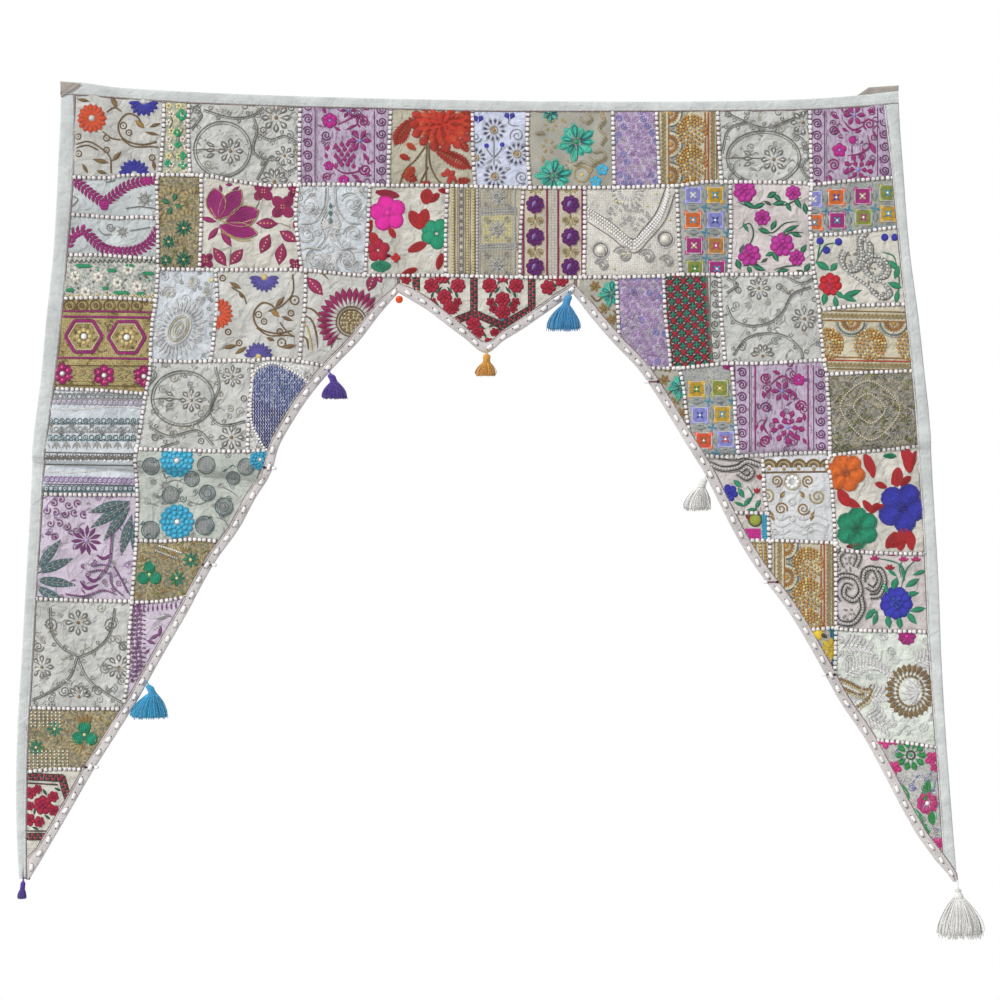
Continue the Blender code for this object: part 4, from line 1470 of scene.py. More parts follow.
def at_strip_foot(across, drop):
    """Where a strip's inner edge meets the patchwork, along Y."""
    return depth_at(across, drop) - 1.45


def walked(path, pitch, start=0.0):
    """Places at an even pitch along a path, each with its direction."""
    path = np.array(path, float)
    steps = np.concatenate([[0], np.cumsum(np.linalg.norm(np.diff(path, axis=0), axis=1))])
    for place in np.arange(start, steps[-1] - 1, pitch):
        spot = np.array([np.interp(place, steps, path[:, k]) for k in (0, 1)])
        ahead = np.array([np.interp(place + 1, steps, path[:, k]) for k in (0, 1)]) - spot
        yield spot, ahead / max(float(np.linalg.norm(ahead)), 1e-6)


def make_tape_beads():
    """Oval glass beads sewn along the tape, with the dark ends of their thread."""
    glass = thread_material("milk_glass", roughness=0.16, sheen=0.0, pitch=9)
    work = Stitches((0, 0), seed=41)
    stations = tape_stations(4.0, middle_steps())
    middle = [np.array(outer) * 0.52 + np.array(inner) * 0.48 for outer, inner in stations]
    for spot, ahead in walked(middle, TAPE_BEAD_PITCH, start=14):
        spot = spot + work.chance.uniform(-0.7, 0.7)
        lean = math.atan2(ahead[1], ahead[0]) + work.chance.uniform(-0.22, 0.22)
        along = np.array((math.cos(lean), math.sin(lean)))
        reach = TAPE_BEAD[0] * 0.5 + 1.1
        work.band([spot - along * reach, spot + along * reach], 1.0, "dark", height=0.45)
        length, width, height = (size * work.chance.uniform(0.9, 1.1) for size in TAPE_BEAD)
        lay_bead(work, spot, along, length, width, height, tone("bead", work.chance.uniform(0.92, 1.05)))
    for knot in KNOTS:
        spot = np.array((knot.across, knot.drop))
        pairs = [(np.linalg.norm(np.array(outer) - spot), outer, inner) for outer, inner in tape_stations()]
        outer, inner = (np.array(place, float) for place in min(pairs, key=lambda pair: pair[0])[1:])
        along = (outer - inner) / np.linalg.norm(outer - inner)
        work.band([inner, outer + along], 1.3, "crimson", height=0.6)
        work.band([inner + along * 2, outer + along], 0.9, "dark", height=0.8)
        work.dot(*(inner + along * 1.5), 1.6, "dark", height=0.9)
        lay_bead(work, outer + along * 1.2, along, *KNOT_BEAD, tone("bead"), lift=-0.6)
    ride(work.object("tape_beads", glass, front=on_strip))


def make_edge_stitches():
    """A fine line of dark stitches where each strip is sewn down."""
    thread = thread_material("edge_thread", roughness=0.8, sheen=0.05, pitch=3.2)
    work = Stitches((0, 0), seed=43)
    for stations in (
        top_stations(260), side_stations(-1, 4.0), side_stations(1, 4.0),
        tape_stations(4.0, middle_steps()),
    ):
        inner = [np.array(pair[1]) + (np.array(pair[1]) - np.array(pair[0])) * 0.03 for pair in stations]
        work.band(np.array(inner), 1.0, "seam thread", height=0.4, rim=0.8)
        raised = [np.array(pair[1]) + (np.array(pair[0]) - np.array(pair[1])) * 0.09 for pair in stations]
        work.band(np.array(raised), 0.8, "tape", height=0.95, rim=0.8, twist=0.3)
    ride(work.object("edge_stitches", thread, front=at_strip_foot))


# Tassels


def add_tube(build, path, radii, colour, sides=6, lay=0.0):
    """A tube through points in millimetres, given in space with Y back and Z up."""
    path = np.asarray(path, float)
    count = len(path)
    radii = np.broadcast_to(np.asarray(radii, float), (count,))
    runs = np.gradient(path, axis=0)
    runs /= np.maximum(np.linalg.norm(runs, axis=1), 1e-9)[:, None]
    first = np.cross(runs, (0, 1, 0.13))
    first /= np.maximum(np.linalg.norm(first, axis=1), 1e-9)[:, None]
    second = np.cross(runs, first)
    turn = np.linspace(0, 2 * np.pi, sides, endpoint=False)
    rings = path[:, None, :] + radii[:, None, None] * (
        first[:, None, :] * np.cos(turn)[None, :, None] + second[:, None, :] * np.sin(turn)[None, :, None]
    )
    points = rings.reshape(-1, 3)
    k = np.arange(sides)
    after = (k + 1) % sides
    faces = []
    for ring in range(count - 1):
        low, high = ring * sides, (ring + 1) * sides
        faces.append(np.stack([k + low, after + low, after + high, k + high], 1))
    faces = [list(face) for face in np.vstack(faces)]
    faces.append(list(range(sides))[::-1])
    faces.append([k + (count - 1) * sides for k in range(sides)])
    steps = np.repeat(np.arange(count) * 0.4 + lay, sides)
    build_faces(build, points * MM, faces, colour, steps)


def build_faces(build, points, faces, colour, lays):
    build.points.append(np.asarray(points, float))
    build.faces.append([[k + build.count for k in face] for face in faces])
    build.tints.append(np.broadcast_to(np.asarray(colour, float), (len(points), 3)))
    build.lays.append(np.asarray(lays, float))
    build.count += len(points)


def tassel_bead(build, centre, radius, height, colour, sides=14, bands=8):
    """A turned bead with a slightly flattened top and foot."""
    profile = []
    for k in range(bands + 1):
        turn = math.pi * (0.06 + 0.88 * k / bands)
        profile.append((radius * math.sin(turn) ** 0.8, height / 2 * math.cos(turn)))
    turned(build, centre, profile, colour, sides)


def turned(build, centre, profile, colour, sides=14):
    """A turned form: each step of the profile is a radius and a place above the centre, in millimetres."""
    turn = np.linspace(0, 2 * np.pi, sides, endpoint=False)
    rings = []
    for radius, above in profile:
        ring = [radius * np.cos(turn), radius * np.sin(turn), np.full(sides, above)]
        rings.append(np.stack(ring, 1) + centre)
    points = np.vstack(rings)
    faces = []
    for ring in range(len(profile) - 1):
        low, high = ring * sides, (ring + 1) * sides
        for k in range(sides):
            after = (k + 1) % sides
            faces.append([k + low, k + high, after + high, after + low])
    faces.append([k for k in range(sides)])
    faces.append([k + (len(profile) - 1) * sides for k in range(sides)][::-1])
    lays = np.repeat(np.arange(len(profile)) * 0.8, sides)
    build_faces(build, points * MM, faces, colour, lays)


def tassel(each, material):
    """A knotted head wound with thread, and a skirt of many fine strands."""
    chance = random.Random(each.name)
    build = Build()
    level = float(depth_at(each.neck_x, each.neck_drop))
    neck = np.array((each.neck_x, level - HALF_BINDING - 1.1, -each.neck_drop))
    foot = np.array((each.head_x, level - each.forward, -each.head_drop))
    base = np.array(tone(each.colour))
    turned_head = [
        (0.7, 0.02), (0.7, 0.3), (0.45, 0.36), (0.86, 0.46), (1.0, 0.6), (0.9, 0.74), (0.78, 0.84),
    ]
    turned_head += [(0.95, 0.93), (1.08, 1.0)]
    if each.shape == "cap":
        turned_head = [
            (0.16, 0.02), (0.16, 0.46), (0.3, 0.52), (0.5, 0.62), (0.72, 0.76), (0.92, 0.9), (1.0, 1.0),
        ]
    rings = []
    for k, (share, down) in enumerate(turned_head):
        size = each.radius * share if share > 0.5 or k > 1 else 0.8
        rings.append((size if k > 1 else 0.8, neck + (foot - neck) * down))
    sides = 14
    turn = np.linspace(0, 2 * np.pi, sides, endpoint=False)
    spots = []
    for size, centre in rings:
        ring = np.stack([size * np.cos(turn), size * 0.9 * np.sin(turn), np.zeros(sides)], 1)
        spots.append(ring + centre)
    faces = []
    for ring in range(len(rings) - 1):
        low, high = ring * sides, (ring + 1) * sides
        faces += [[k + low, k + high, (k + 1) % sides + high, (k + 1) % sides + low] for k in range(sides)]
    build_faces(
        build, np.vstack(spots) * MM, faces, base * 0.9, np.repeat(np.arange(len(rings)) * 1.1, sides),
    )
    wind(build, neck, foot, each, base)
    skirt_core(build, each, foot, base)
    for k in range(each.strands):
        strand(build, each, foot, k, chance, base)
    made = build.object(each.name + "_threads", material)
    return made


def wind(build, neck, foot, each, base):
    """Threads wound round the head's waist."""
    share = 0.84 if each.shape == "head" else 0.62
    size = each.radius * (0.86 if each.shape == "head" else 0.55)
    for turn_number in range(4):
        centre = neck + (foot - neck) * (share + 0.035 * (turn_number - 1.5))
        turn = np.linspace(0, 2 * np.pi, 17)
        path = np.stack([size * np.cos(turn), size * 0.92 * np.sin(turn), 0 * turn], 1) + centre
        add_tube(build, path, 0.42, base * 0.8, sides=5)


def skirt_core(build, each, foot, base, sides=40, bands=9):
    """The close middle of the skirt, in lengthwise folds, under its loose strands."""
    turn = np.linspace(0, 2 * np.pi, sides, endpoint=False)
    folds = 1 + 0.09 * np.sin(turn * 9) + 0.06 * np.sin(turn * 17 + 1)
    points, lays = [], []
    for band in range(bands + 1):
        t = band / bands
        eased = math.sin(t * math.pi / 2) ** 0.9
        wide = each.radius * 0.9 + (each.half_width * 0.86 - each.radius * 0.9) * eased
        deep = each.radius * 0.8 + (each.half_depth * 0.74 - each.radius * 0.8) * eased
        x = foot[0] + (each.skirt_x - foot[0]) * eased
        y = foot[1] + (each.forward - each.skirt_forward) * eased
        drop = each.head_drop + (each.skirt_drop - each.head_drop) * 0.86 * t
        ends = np.sin(turn * 13) * 1.2 * t
        ring = [x + wide * folds * np.cos(turn), y + deep * folds * np.sin(turn), -drop + ends]
        points.append(np.stack(ring, 1))
        lays.append(turn * 12)
    faces = []
    for band in range(bands):
        low, high = band * sides, (band + 1) * sides
        faces += [[k + low, k + high, (k + 1) % sides + high, (k + 1) % sides + low] for k in range(sides)]
    faces.append([k + bands * sides for k in range(sides)][::-1])
    # The core is the tassel colour darkened to 0.8, painted shade under the loose strands.
    build_faces(build, np.vstack(points) * MM, faces, np.clip(base * 0.8, 0, 1), np.hstack(lays))


def strand(build, each, foot, number, chance, base):
    """One strand: it springs from the head's foot, spreads, and hangs with a slight wave."""
    golden = math.pi * (3 - math.sqrt(5))
    out = math.sqrt((number + 0.5) / each.strands)
    angle = golden * number
    root = np.array((math.cos(angle), math.sin(angle))) * out
    length = chance.uniform(0.80, 1.0)
    end_x = each.skirt_x + root[0] * each.half_width * chance.uniform(0.85, 1.05)
    end_y = foot[1] - (each.skirt_forward - each.forward) + root[1] * each.half_depth * 0.9
    wave = chance.uniform(0, 6.3)
    sway = chance.uniform(0.2, 0.9) * each.half_width / 20
    path = []
    for t in np.linspace(0, 1, 11):
        eased = math.sin(t * math.pi / 2) ** 0.9
        start = foot[:2] + root * each.radius * 0.8
        x = start[0] + (end_x - start[0]) * eased + sway * math.sin(5 * t + wave) * t
        y = start[1] + (end_y - start[1]) * eased + sway * 0.6 * math.cos(4 * t + wave) * t
        drop = each.head_drop + (each.skirt_drop - each.head_drop) * length * t
        path.append((x, y, -drop + 0.5))
    shade = chance.uniform(0.74, 1.2)
    radii = np.linspace(0.42, 0.3, 11)
    add_tube(build, path, radii, np.clip(base * shade, 0, 1), sides=4, lay=wave)


# The arts of each patch are drawn by name

ARTS = {}


def art(*names):
    """Marks a function as the one that works the named patches."""

    def keep(function):
        for name in names:
            ARTS[name] = function
        return function

    return keep


# Forms that several patches share


def leaf(work, x, y, angle, length, width, colour, vein=None, **more):
    """A pointed leaf by its middle."""
    turn = math.radians(angle)
    foot = (x - length / 2 * math.cos(turn), y - length / 2 * math.sin(turn))
    work.petal(*foot, angle, length, width, colour, full=0.5, vein=vein, **more)


def leaves(work, colour, *each, vein=None):
    """Leaves, each given by its middle, angle, length and width."""
    for x, y, angle, length, width in each:
        leaf(work, x, y, angle, length, width, colour, vein=vein)


def rings(work, colour, width, *each):
    """Small couched circles, each given by its middle and radius."""
    for x, y, radius in each:
        work.ring(x, y, radius, width, colour, height=0.7)
        work.dot(x, y, radius * 0.3, colour, height=0.4)


def tapers(work, colour, width, *paths):
    for path in paths:
        work.taper(path, width, colour)


def cords(work, colour, width, *paths, **more):
    for path in paths:
        work.cord(path, width, colour, **more)


def rose(work, x, y, radius, colour, dark, petals=7):
    """Round petals round a wound middle."""
    for ring_radius, count, size in ((0.66, petals, 0.42), (0.3, 4, 0.32)):
        for k in range(count):
            turn = 2 * math.pi * (k + 0.3 * ring_radius) / count
            spot = (x + radius * ring_radius * math.cos(turn), y + radius * ring_radius * math.sin(turn))
            work.dot(*spot, radius * size, colour, height=0.8, sides=10, rim=0.5)
            work.ring(*spot, radius * size * 0.6, 0.9, dark if k % 2 else colour, height=0.95)
    work.spiral(x, y, radius * 0.34, 1.1, dark, turns=1.5, height=1.1)


def filled_petal(work, x, y, angle, length, width, colour, edge=None, bend=0.0):
    """A broad petal of long stitches beside each other, from its foot."""
    turn = math.radians(angle)
    along = np.array((math.cos(turn), math.sin(turn)))
    aside = np.array((-along[1], along[0]))
    t = np.linspace(0.02, 1, 10)
    outline = width / 2 * np.sin(np.pi * t**1.15) ** 0.7
    count = max(5, int(width / 2.1))
    foot = np.array((x, y))
    for k in range(count):
        place = -1 + 2 * (k + 0.5) / count
        curve = bend * length * (t**2)[:, None] * aside
        path = foot + along * (t * length)[:, None] + aside * (outline * place)[:, None] + curve
        # Every other stitch gets a stronger painted highlight, a painted satin sheen.
        shade = 1.05 + 0.22 * (k % 2)
        work.band(
            path, width / count * 1.12, colour, height=0.5 + 0.5 * (1 - place * place), rim=0.62,
            glow=shade,
        )
    if edge:
        for side in (-1, 1):
            path = foot + along * (t * length)[:, None] + aside * (outline * side)[:, None]
            path = path + bend * length * (t**2)[:, None] * aside
            work.band(path, 1.5, edge, height=1.1, twist=0.25)


def sprig_flower(work, x, y, radius, colour, heart, petals=5):
    for k in range(petals):
        turn = 2 * math.pi * k / petals - 1.4
        spot = (x + radius * 0.6 * math.cos(turn), y + radius * 0.6 * math.sin(turn))
        work.dot(*spot, radius * 0.42, colour, height=0.7, sides=7, rim=0.62)
    work.dot(x, y, radius * 0.26, heart, height=1.1, sides=6)


def beads_along(work, path, radius, colour, gap=1.0):
    """A row of round beads."""
    path = smooth_path(path, 1.0)
    steps = np.concatenate([[0], np.cumsum(np.linalg.norm(np.diff(path, axis=0), axis=1))])
    for place in np.arange(radius, steps[-1], radius * 2 * gap):
        x, y = (np.interp(place, steps, path[:, k]) for k in (0, 1))
        work.dot(x, y, radius, colour, height=radius * 0.9, sides=7)


# The top band, from left to right


def beaded_leaves(work, colour, *each):
    """Leaves with a row of tiny gold beads down the middle of each."""
    leaves(work, colour, *each)
    for x, y, angle, length, _ in each:
        turn = math.radians(angle)
        ahead = length * 0.34 * math.cos(turn)
        below = length * 0.34 * math.sin(turn)
        beads_along(
            work, ((x - ahead, y - below), (x, y), (x + ahead, y + below)), 1.3, "pale gold", gap=1.5,
        )


def light_curls(work, count, reach_x, reach_y, colours, radius=4.0, height=0.6):
    """Small curls and leaves scattered between larger motifs."""
    for _ in range(count):
        x, y = work.chance.uniform(-reach_x, reach_x), work.chance.uniform(-reach_y, reach_y)
        colour = work.chance.choice(colours)
        angle = work.chance.uniform(0, 360)
        size = radius * work.chance.uniform(0.7, 1.2)
        if work.chance.random() < 0.55:
            work.spiral(x, y, size, size * 0.26, colour, turns=1.5, start=angle, height=height, rim=0.6)
        else:
            work.petal(x, y, angle, size * 1.9, size * 0.55, colour, height=height, rim=0.6)
            work.taper(((x, y), (x + size, y - size * 0.8), (x + size * 1.8, y)), size * 0.24, colour)


@art("daisy_corner")
def daisy_corner(work):
    work.daisy(-29, -20.5, 16.4, "orange", petals=15)
    work.daisy(27, -39, 17, "royal", petals=9, start=8, sweep=164)
    work.daisy(17, 40, 17, "royal", petals=9, start=188, sweep=164)
    bronze_scroll(work, 0, 0)
    cords(work, "bronze", 1.7, ((-46, 8), (-32, 5), (-19, 12), (-9, 22), (-8, 39)))
    cords(work, "bronze", 1.6, ((-46, 12), (-34, 9), (-22, 14)), ((-17, -6), (-8, 1), (2, 3)))
    cords(work, "bronze", 1.6, ((-13, -27), (-5, -32), (3, -28)), ((-8, -42), (-4, -33)))
    rings(work, "bronze", 1.4, (-13, 1, 3.2), (-43.5, -0.5, 3), (-13, 14, 3), (-43, 18, 3.2), (36, 22, 3))
    leaves(
        work, "bronze", (-19, 26, 12, 18, 5), (-2, 21, -45, 15, 5), (-36, 34, 60, 12, 4),
        (-18, 38, 15, 12, 4),
        (39, -13, -18, 13, 4), (36, -4, 12, 16, 3.5), (-5, -38, 60, 13, 6), (38, 30, 80, 12, 4),
        (-38, -40, 10, 14, 4),
    )


def bronze_scroll(work, x, y, hand=1):
    """A hooked scroll with a leaf in its bend, two little rings, and a double stem."""
    scroll = ((25, -13), (20, -22), (9, -25), (0, -15), (2, -2), (11, 5), (26, 8), (41, 5))
    cords(work, "bronze", 2.0, [(x + hand * a, y + b) for a, b in scroll])
    cords(work, "bronze", 1.6, [(x + hand * a, y + b) for a, b in ((3, 2), (16, 10), (34, 10), (43, 11))])
    leaf(work, x + hand * 23, y - 14, 90 - hand * 50, 13, 6, "gold")
    rings(work, "bronze", 1.4, (x + hand * 5, y - 12.5, 3.4), (x + hand * 11, y - 5, 3))


@art("lemon_brocade")
def lemon_brocade(work):
    for x, y, radius in ((6, -26, 5), (1, -7, 3.5), (2, 6, 3), (7, 18, 3.4), (7, 28, 3.6), (-9, 26, 3.2)):
        work.blossom(x, y, radius * 1.3, "leaf", petals=4, rings=1)
    for k, y in enumerate(range(-36, 40, 9)):
        for x in (-8 + 3 * (k % 2), 3 + 4 * (k % 3)):
            sprig_flower(work, x, y, 3.8, "ivory" if k % 3 else "straw", "crimson" if k % 2 else "gold")
    tapers(
        work, "bronze", 0.9, ((-10, -30), (-4, -20), (-8, -10)), ((8, -12), (3, 0), (8, 10)),
        ((-6, 12), (0, 22)),
    )


def medallion(work, x, y, radius_x, radius_y, flower=13.5):
    """An oval of double cord round a flower of sequins and its two leaves."""
    work.ring(x, y, radius_x, 1.3, "pewter", radius_y=radius_y, height=0.8, twist=0.2)
    work.ring(x, y, radius_x - 2.6, 0.9, "grey", radius_y=radius_y - 2.6, height=0.6, twist=0.2)
    work.sequins(x + radius_x * 0.28, y + 2, flower)
    for angle, rise in ((180, 0), (205, -6), (155, 6)):
        leaf(work, x - radius_x * 0.42, y + 1 + rise, angle, 11, 5, "pewter", height=0.5)
        leaf(work, x - radius_x * 0.42, y + 1 + rise, angle, 6, 2.2, "chalk", height=1.1)
    tapers(work, "pewter", 1.2, ((x - radius_x, y + 1), (x - radius_x * 0.6, y), (x + 4, y + 1)))
    for k in range(7):
        turn = 2 * math.pi * k / 7
        spot = (x + radius_x * 0.72 * math.cos(turn), y + radius_y * 0.72 * math.sin(turn))
        work.petal(*spot, math.degrees(turn) + 120, 3.4, 1.6, "silver", height=0.9)


def silver_vines(work, *paths):
    """Double cords with small curls and sequins beside them."""
    for path in paths:
        smooth = smooth_path(path, 1.5)
        work.band(smooth, 1.3, "pewter", height=0.8, twist=0.22)
        runs = np.gradient(smooth, axis=0)
        runs /= np.linalg.norm(runs, axis=1)[:, None]
        sides = np.stack([-runs[:, 1], runs[:, 0]], 1)
        work.band(smooth + sides * 2.0, 0.9, "grey", height=0.55, twist=0.2)
        for k in range(4, len(smooth) - 3, 7):
            side = 1 if (k // 7) % 2 else -1
            x, y = smooth[k] + sides[k] * side * 3.6
            angle = math.degrees(math.atan2(*(sides[k] * side)[::-1]))
            work.petal(x, y, angle + 35, 3.6, 1.8, "chalk", height=1.1)
            work.ring(x, y, 1.9, 0.7, "pewter", height=0.5)


@art("silver_medallion")
def silver_medallion(work):
    light_curls(work, 70, 62, 60, ("silver", "grey", "chalk", "sand"), radius=4.6)
    medallion(work, -24, 7, 31, 30, flower=14)
    work.sequins(34, -27, 16)
    work.sequins(43, 14, 11, petals=7)
    work.sequins(32, 42, 15, petals=6, start=190, sweep=160)
    silver_vines(
        work,
        ((-58, -40), (-46, -30), (-57, -14)),
        ((-44, -36), (-16, -28), (8, -30), (24, -44)),
        ((8, -34), (14, -14), (10, 8), (22, 22), (14, 40)),
        ((14, -10), (28, -4), (42, -8), (56, -2)),
        ((20, 24), (30, 14), (44, 30), (56, 26)),
        ((-56, 36), (-40, 42), (-16, 42)),
    )
    rings(work, "pewter", 1.0, (-52, -36, 4), (20, -14, 3), (50, -38, 3), (56, 10, 3), (0, -40, 3))


@art("silver_loops")
def silver_loops(work):
    light_curls(work, 70, 62, 60, ("silver", "grey", "chalk", "sand"), radius=4.6)
    medallion(work, -2, 13, 40, 29, flower=14)
    work.sequins(41, -25, 14)
    silver_vines(
        work,
        ((-46, -40), (-30, -30), (0, -20), (30, -30), (46, -38)),
        ((-48, 8), (-40, -18), (-20, -26)),
        ((30, -14), (42, -6), (48, 10), (40, 24), (48, 36)),
        ((-46, 34), (-34, 40), (-24, 34)),
    )
    rings(work, "pewter", 1.0, (-40, -34, 3), (14, -36, 3), (44, 2, 2.6), (-20, -36, 2.6))


@art("silver_scrolls")
def silver_scrolls(work):
    light_curls(work, 70, 62, 60, ("silver", "grey", "chalk", "sand"), radius=4.6)
    work.sequins(-12, -32, 13)
    work.sequins(37, 1, 14)
    work.sequins(-8, 41, 13, petals=6, start=190, sweep=160)
    silver_vines(
        work,
        ((-46, -14), (-38, 2), (-20, 8), (0, 4), (14, -8), (24, -26), (44, -34)),
        ((-40, 40), (-26, 22), (-4, 16), (18, 20), (34, 34), (36, 46)),
        ((-46, -44), (-34, -36), (-46, -26)),
        ((20, -44), (34, -38), (48, -44)),
    )
    rings(work, "pewter", 1.0, (-34, -30, 3), (10, -34, 3), (-30, 32, 3), (48, -20, 2.6))


@art("silver_rounds")
def silver_rounds(work):
    light_curls(work, 70, 62, 60, ("silver", "grey", "chalk", "sand"), radius=4.6)
    medallion(work, -16, -8, 34, 30, flower=13)
    work.sequins(38, -32, 12)
    work.sequins(37, 34, 14)
    silver_vines(
        work,
        ((-56, -40), (-44, -34), (-54, -20)),
        ((20, -42), (24, -20), (14, 6), (26, 20), (52, 16)),
        ((-52, 22), (-30, 32), (0, 26), (18, 42)),
        ((-40, 44), (-20, 38)),
    )
    rings(work, "pewter", 1.0, (-46, 34, 3.4), (50, -8, 3), (4, 38, 3))


@art("silver_arcs")
def silver_arcs(work):
    light_curls(work, 70, 62, 60, ("silver", "grey", "chalk", "sand"), radius=4.6)
    work.sequins(-3, -34, 14)
    work.sequins(-42, 14, 13)
    work.sequins(41, 14, 14)
    work.sequins(-2, 46, 13, petals=6, start=190, sweep=160)
    silver_vines(
        work,
        ((-3, 3), (-12, 26), (-34, 42), (-56, 52)),
        ((-3, 3), (8, 26), (28, 42), (50, 54)),
        ((-3, 3), (-20, -6), (-32, -24), (-34, -50)),
        ((-3, 3), (16, -6), (30, -22), (36, -50)),
    )
    for hand in (-1, 1):
        work.spiral(hand * 33, -32, 8, 1.3, "pewter", hand=hand, start=90)
        work.spiral(hand * 46, -8, 6, 1.2, "pewter", hand=-hand)
        work.spiral(hand * 18, 40, 6, 1.2, "pewter", hand=hand, start=180)


def spiral_strip(work, x, top, bottom, hand=1):
    """A column of plum spirals between dark lines."""
    for y in np.arange(top, bottom, 13.2):
        work.spiral(x, y, 5.4, 1.7, "plum", turns=1.8, start=200, hand=hand)
    for side in (-8, 8):
        cords(work, "plum", 1.0, ((x + side, top - 8), (x + side, bottom + 6)), height=0.4)
    cords(work, "grey", 0.9, ((x + 9.8, top - 8), (x + 9.8, bottom + 6)), height=0.4)


def lotus(work, x, y, radius, colour="magenta", start=-90.0, petals=6, sweep=300):
    for k in range(petals):
        angle = start - sweep / 2 + sweep * k / (petals - 1)
        turn = math.radians(angle)
        foot = (x + radius * 0.16 * math.cos(turn), y + radius * 0.16 * math.sin(turn))
        work.petal(*foot, angle, radius * 0.86, radius * 0.44, colour, full=0.55, rim=0.35)
        work.petal(*foot, angle, radius * 0.7, radius * 0.1, "lavender", full=0.5, height=1.2)
    work.dot(x, y, radius * 0.16, "lavender", height=1.1)


def scale_fan(work, x, y, colour="magenta", columns=4, turn=0):
    """Overlapping scales in rows, as a bird's breast or a fruit is worked."""
    for row in range(5):
        for column in range(columns - row % 2):
            spot_x = x + (column - (columns - 1) / 2 + 0.5 * (row % 2)) * 6.4
            spot_y = y + (row - 2) * 5.4 + 0.12 * (spot_x - x) ** 2 / 5
            work.petal(spot_x, spot_y - 3.6, 90 + turn, 7.0, 5.2, colour, full=0.6, rim=0.35)


@art("lilac_lotus_top")
def lilac_lotus_top(work):
    light_curls(work, 34, 26, 48, ("magenta", "magenta", "mauve"), radius=4.4, height=0.8)
    spiral_strip(work, -40, -42, 44)
    spiral_strip(work, 40, -39, 44, hand=-1)
    work.blossom(-16, -27, 8.5, "magenta", petals=6, heart="lavender")
    lotus(work, 16, -5, 13)
    scale_fan(work, 0, 9)
    work.spiral(20, -26, 7, 2.2, "magenta", start=120)
    work.spiral(-20, -11, 5.5, 1.6, "plum", start=20)
    work.spiral(22, 26, 6.5, 2.2, "magenta", start=200, hand=-1)
    work.spiral(-19, 34, 5, 1.6, "magenta", start=100)
    work.blossom(-17, 22, 5.4, "magenta", petals=5, heart="lavender")
    work.blossom(-1, 38, 6.4, "magenta", petals=6, heart="lavender")
    lotus(work, 4, -38, 9, start=90)
    leaves(
        work, "magenta", (-22, -38, 60, 8, 4), (-18, 2, 100, 7, 4), (-20, 11, 80, 7, 4),
        (12, 34, 30, 10, 4),
        (22, 12, 70, 9, 4), (22, -40, 20, 9, 4), (8, -20, -25, 16, 3), (-8, -18, 30, 9, 3.4),
    )
    tapers(work, "magenta", 2.0, ((-8, -22), (4, -28), (16, -34)), ((-12, 24), (0, 30), (14, 28), (20, 20)))


@art("lilac_lotus_corner")
def lilac_lotus_corner(work):
    light_curls(work, 34, 26, 48, ("magenta", "magenta", "mauve"), radius=4.4, height=0.8)
    spiral_strip(work, -36, -36, 44)
    spiral_strip(work, 37, -38, 44, hand=-1)
    lotus(work, 4, -32, 12)
    big_magenta_flower(work, 8, 27, 17)
    work.dot(2, -5, 4.5, "magenta")
    work.blossom(-12, 6, 8, "magenta", petals=5, heart="lavender")
    work.spiral(-18, -16, 5.5, 1.6, "plum", start=20)
    work.spiral(-18, 22, 6.5, 2.0, "magenta", start=200)
    work.spiral(20, -22, 6.5, 2.2, "magenta", start=120)
    tapers(work, "magenta", 2.4, ((18, -10), (20, 2), (10, 10), (-4, 12)), ((-8, -26), (2, -16), (14, -20)))
    leaves(
        work, "magenta", (24, 4, 70, 13, 6), (-16, -30, 30, 9, 4), (22, -36, 20, 9, 4), (24, 20, 90, 9, 4),
        (-22, 36, 60, 8, 4), (8, -14, -20, 8, 4), (-6, -16, 30, 8, 3.6),
    )


def big_magenta_flower(work, x, y, radius):
    for ring_radius, count, length, width in ((0.5, 9, 0.5, 0.34), (0.16, 6, 0.42, 0.3)):
        for k in range(count):
            angle = 360 * (k + 0.4 * ring_radius) / count
            turn = math.radians(angle)
            foot = (x + radius * ring_radius * math.cos(turn), y + radius * ring_radius * math.sin(turn))
            work.petal(*foot, angle, radius * length, radius * width, "magenta", full=0.6, rim=0.3)
    work.dot(x, y, radius * 0.13, "lavender", height=1.2)


@art("lilac_lotus_low")
def lilac_lotus_low(work):
    light_curls(work, 34, 26, 48, ("magenta", "magenta", "mauve"), radius=4.4, height=0.8)
    spiral_strip(work, -41, -38, 42)
    spiral_strip(work, 44, -38, 42, hand=-1)
    cords(work, "magenta", 1.6, ((-27, -46), (-27, 46)), ((30, -46), (30, 46)))
    big_magenta_flower(work, 8, 21, 19)
    lotus(work, 2, -18, 12)
    work.blossom(20, -30, 7, "magenta", petals=5, heart="lavender")
    work.spiral(-16, -32, 6, 2.0, "magenta", start=30)
    work.spiral(-15, 0, 6, 1.8, "plum", start=200)
    work.spiral(22, -2, 6, 2.0, "magenta", hand=-1)
    work.spiral(-16, 36, 6, 2.0, "magenta", start=90)
    tapers(work, "magenta", 2.4, ((-12, -24), (2, -34), (14, -28)), ((-14, 10), (-18, 20), (-12, 30)))
    leaves(
        work, "magenta", (-4, -38, 20, 10, 4), (16, -14, 60, 9, 4), (-18, -14, 80, 9, 4),
        (26, 10, 90, 9, 4),
        (26, 36, 60, 8, 4), (-20, 22, 90, 8, 4),
    )


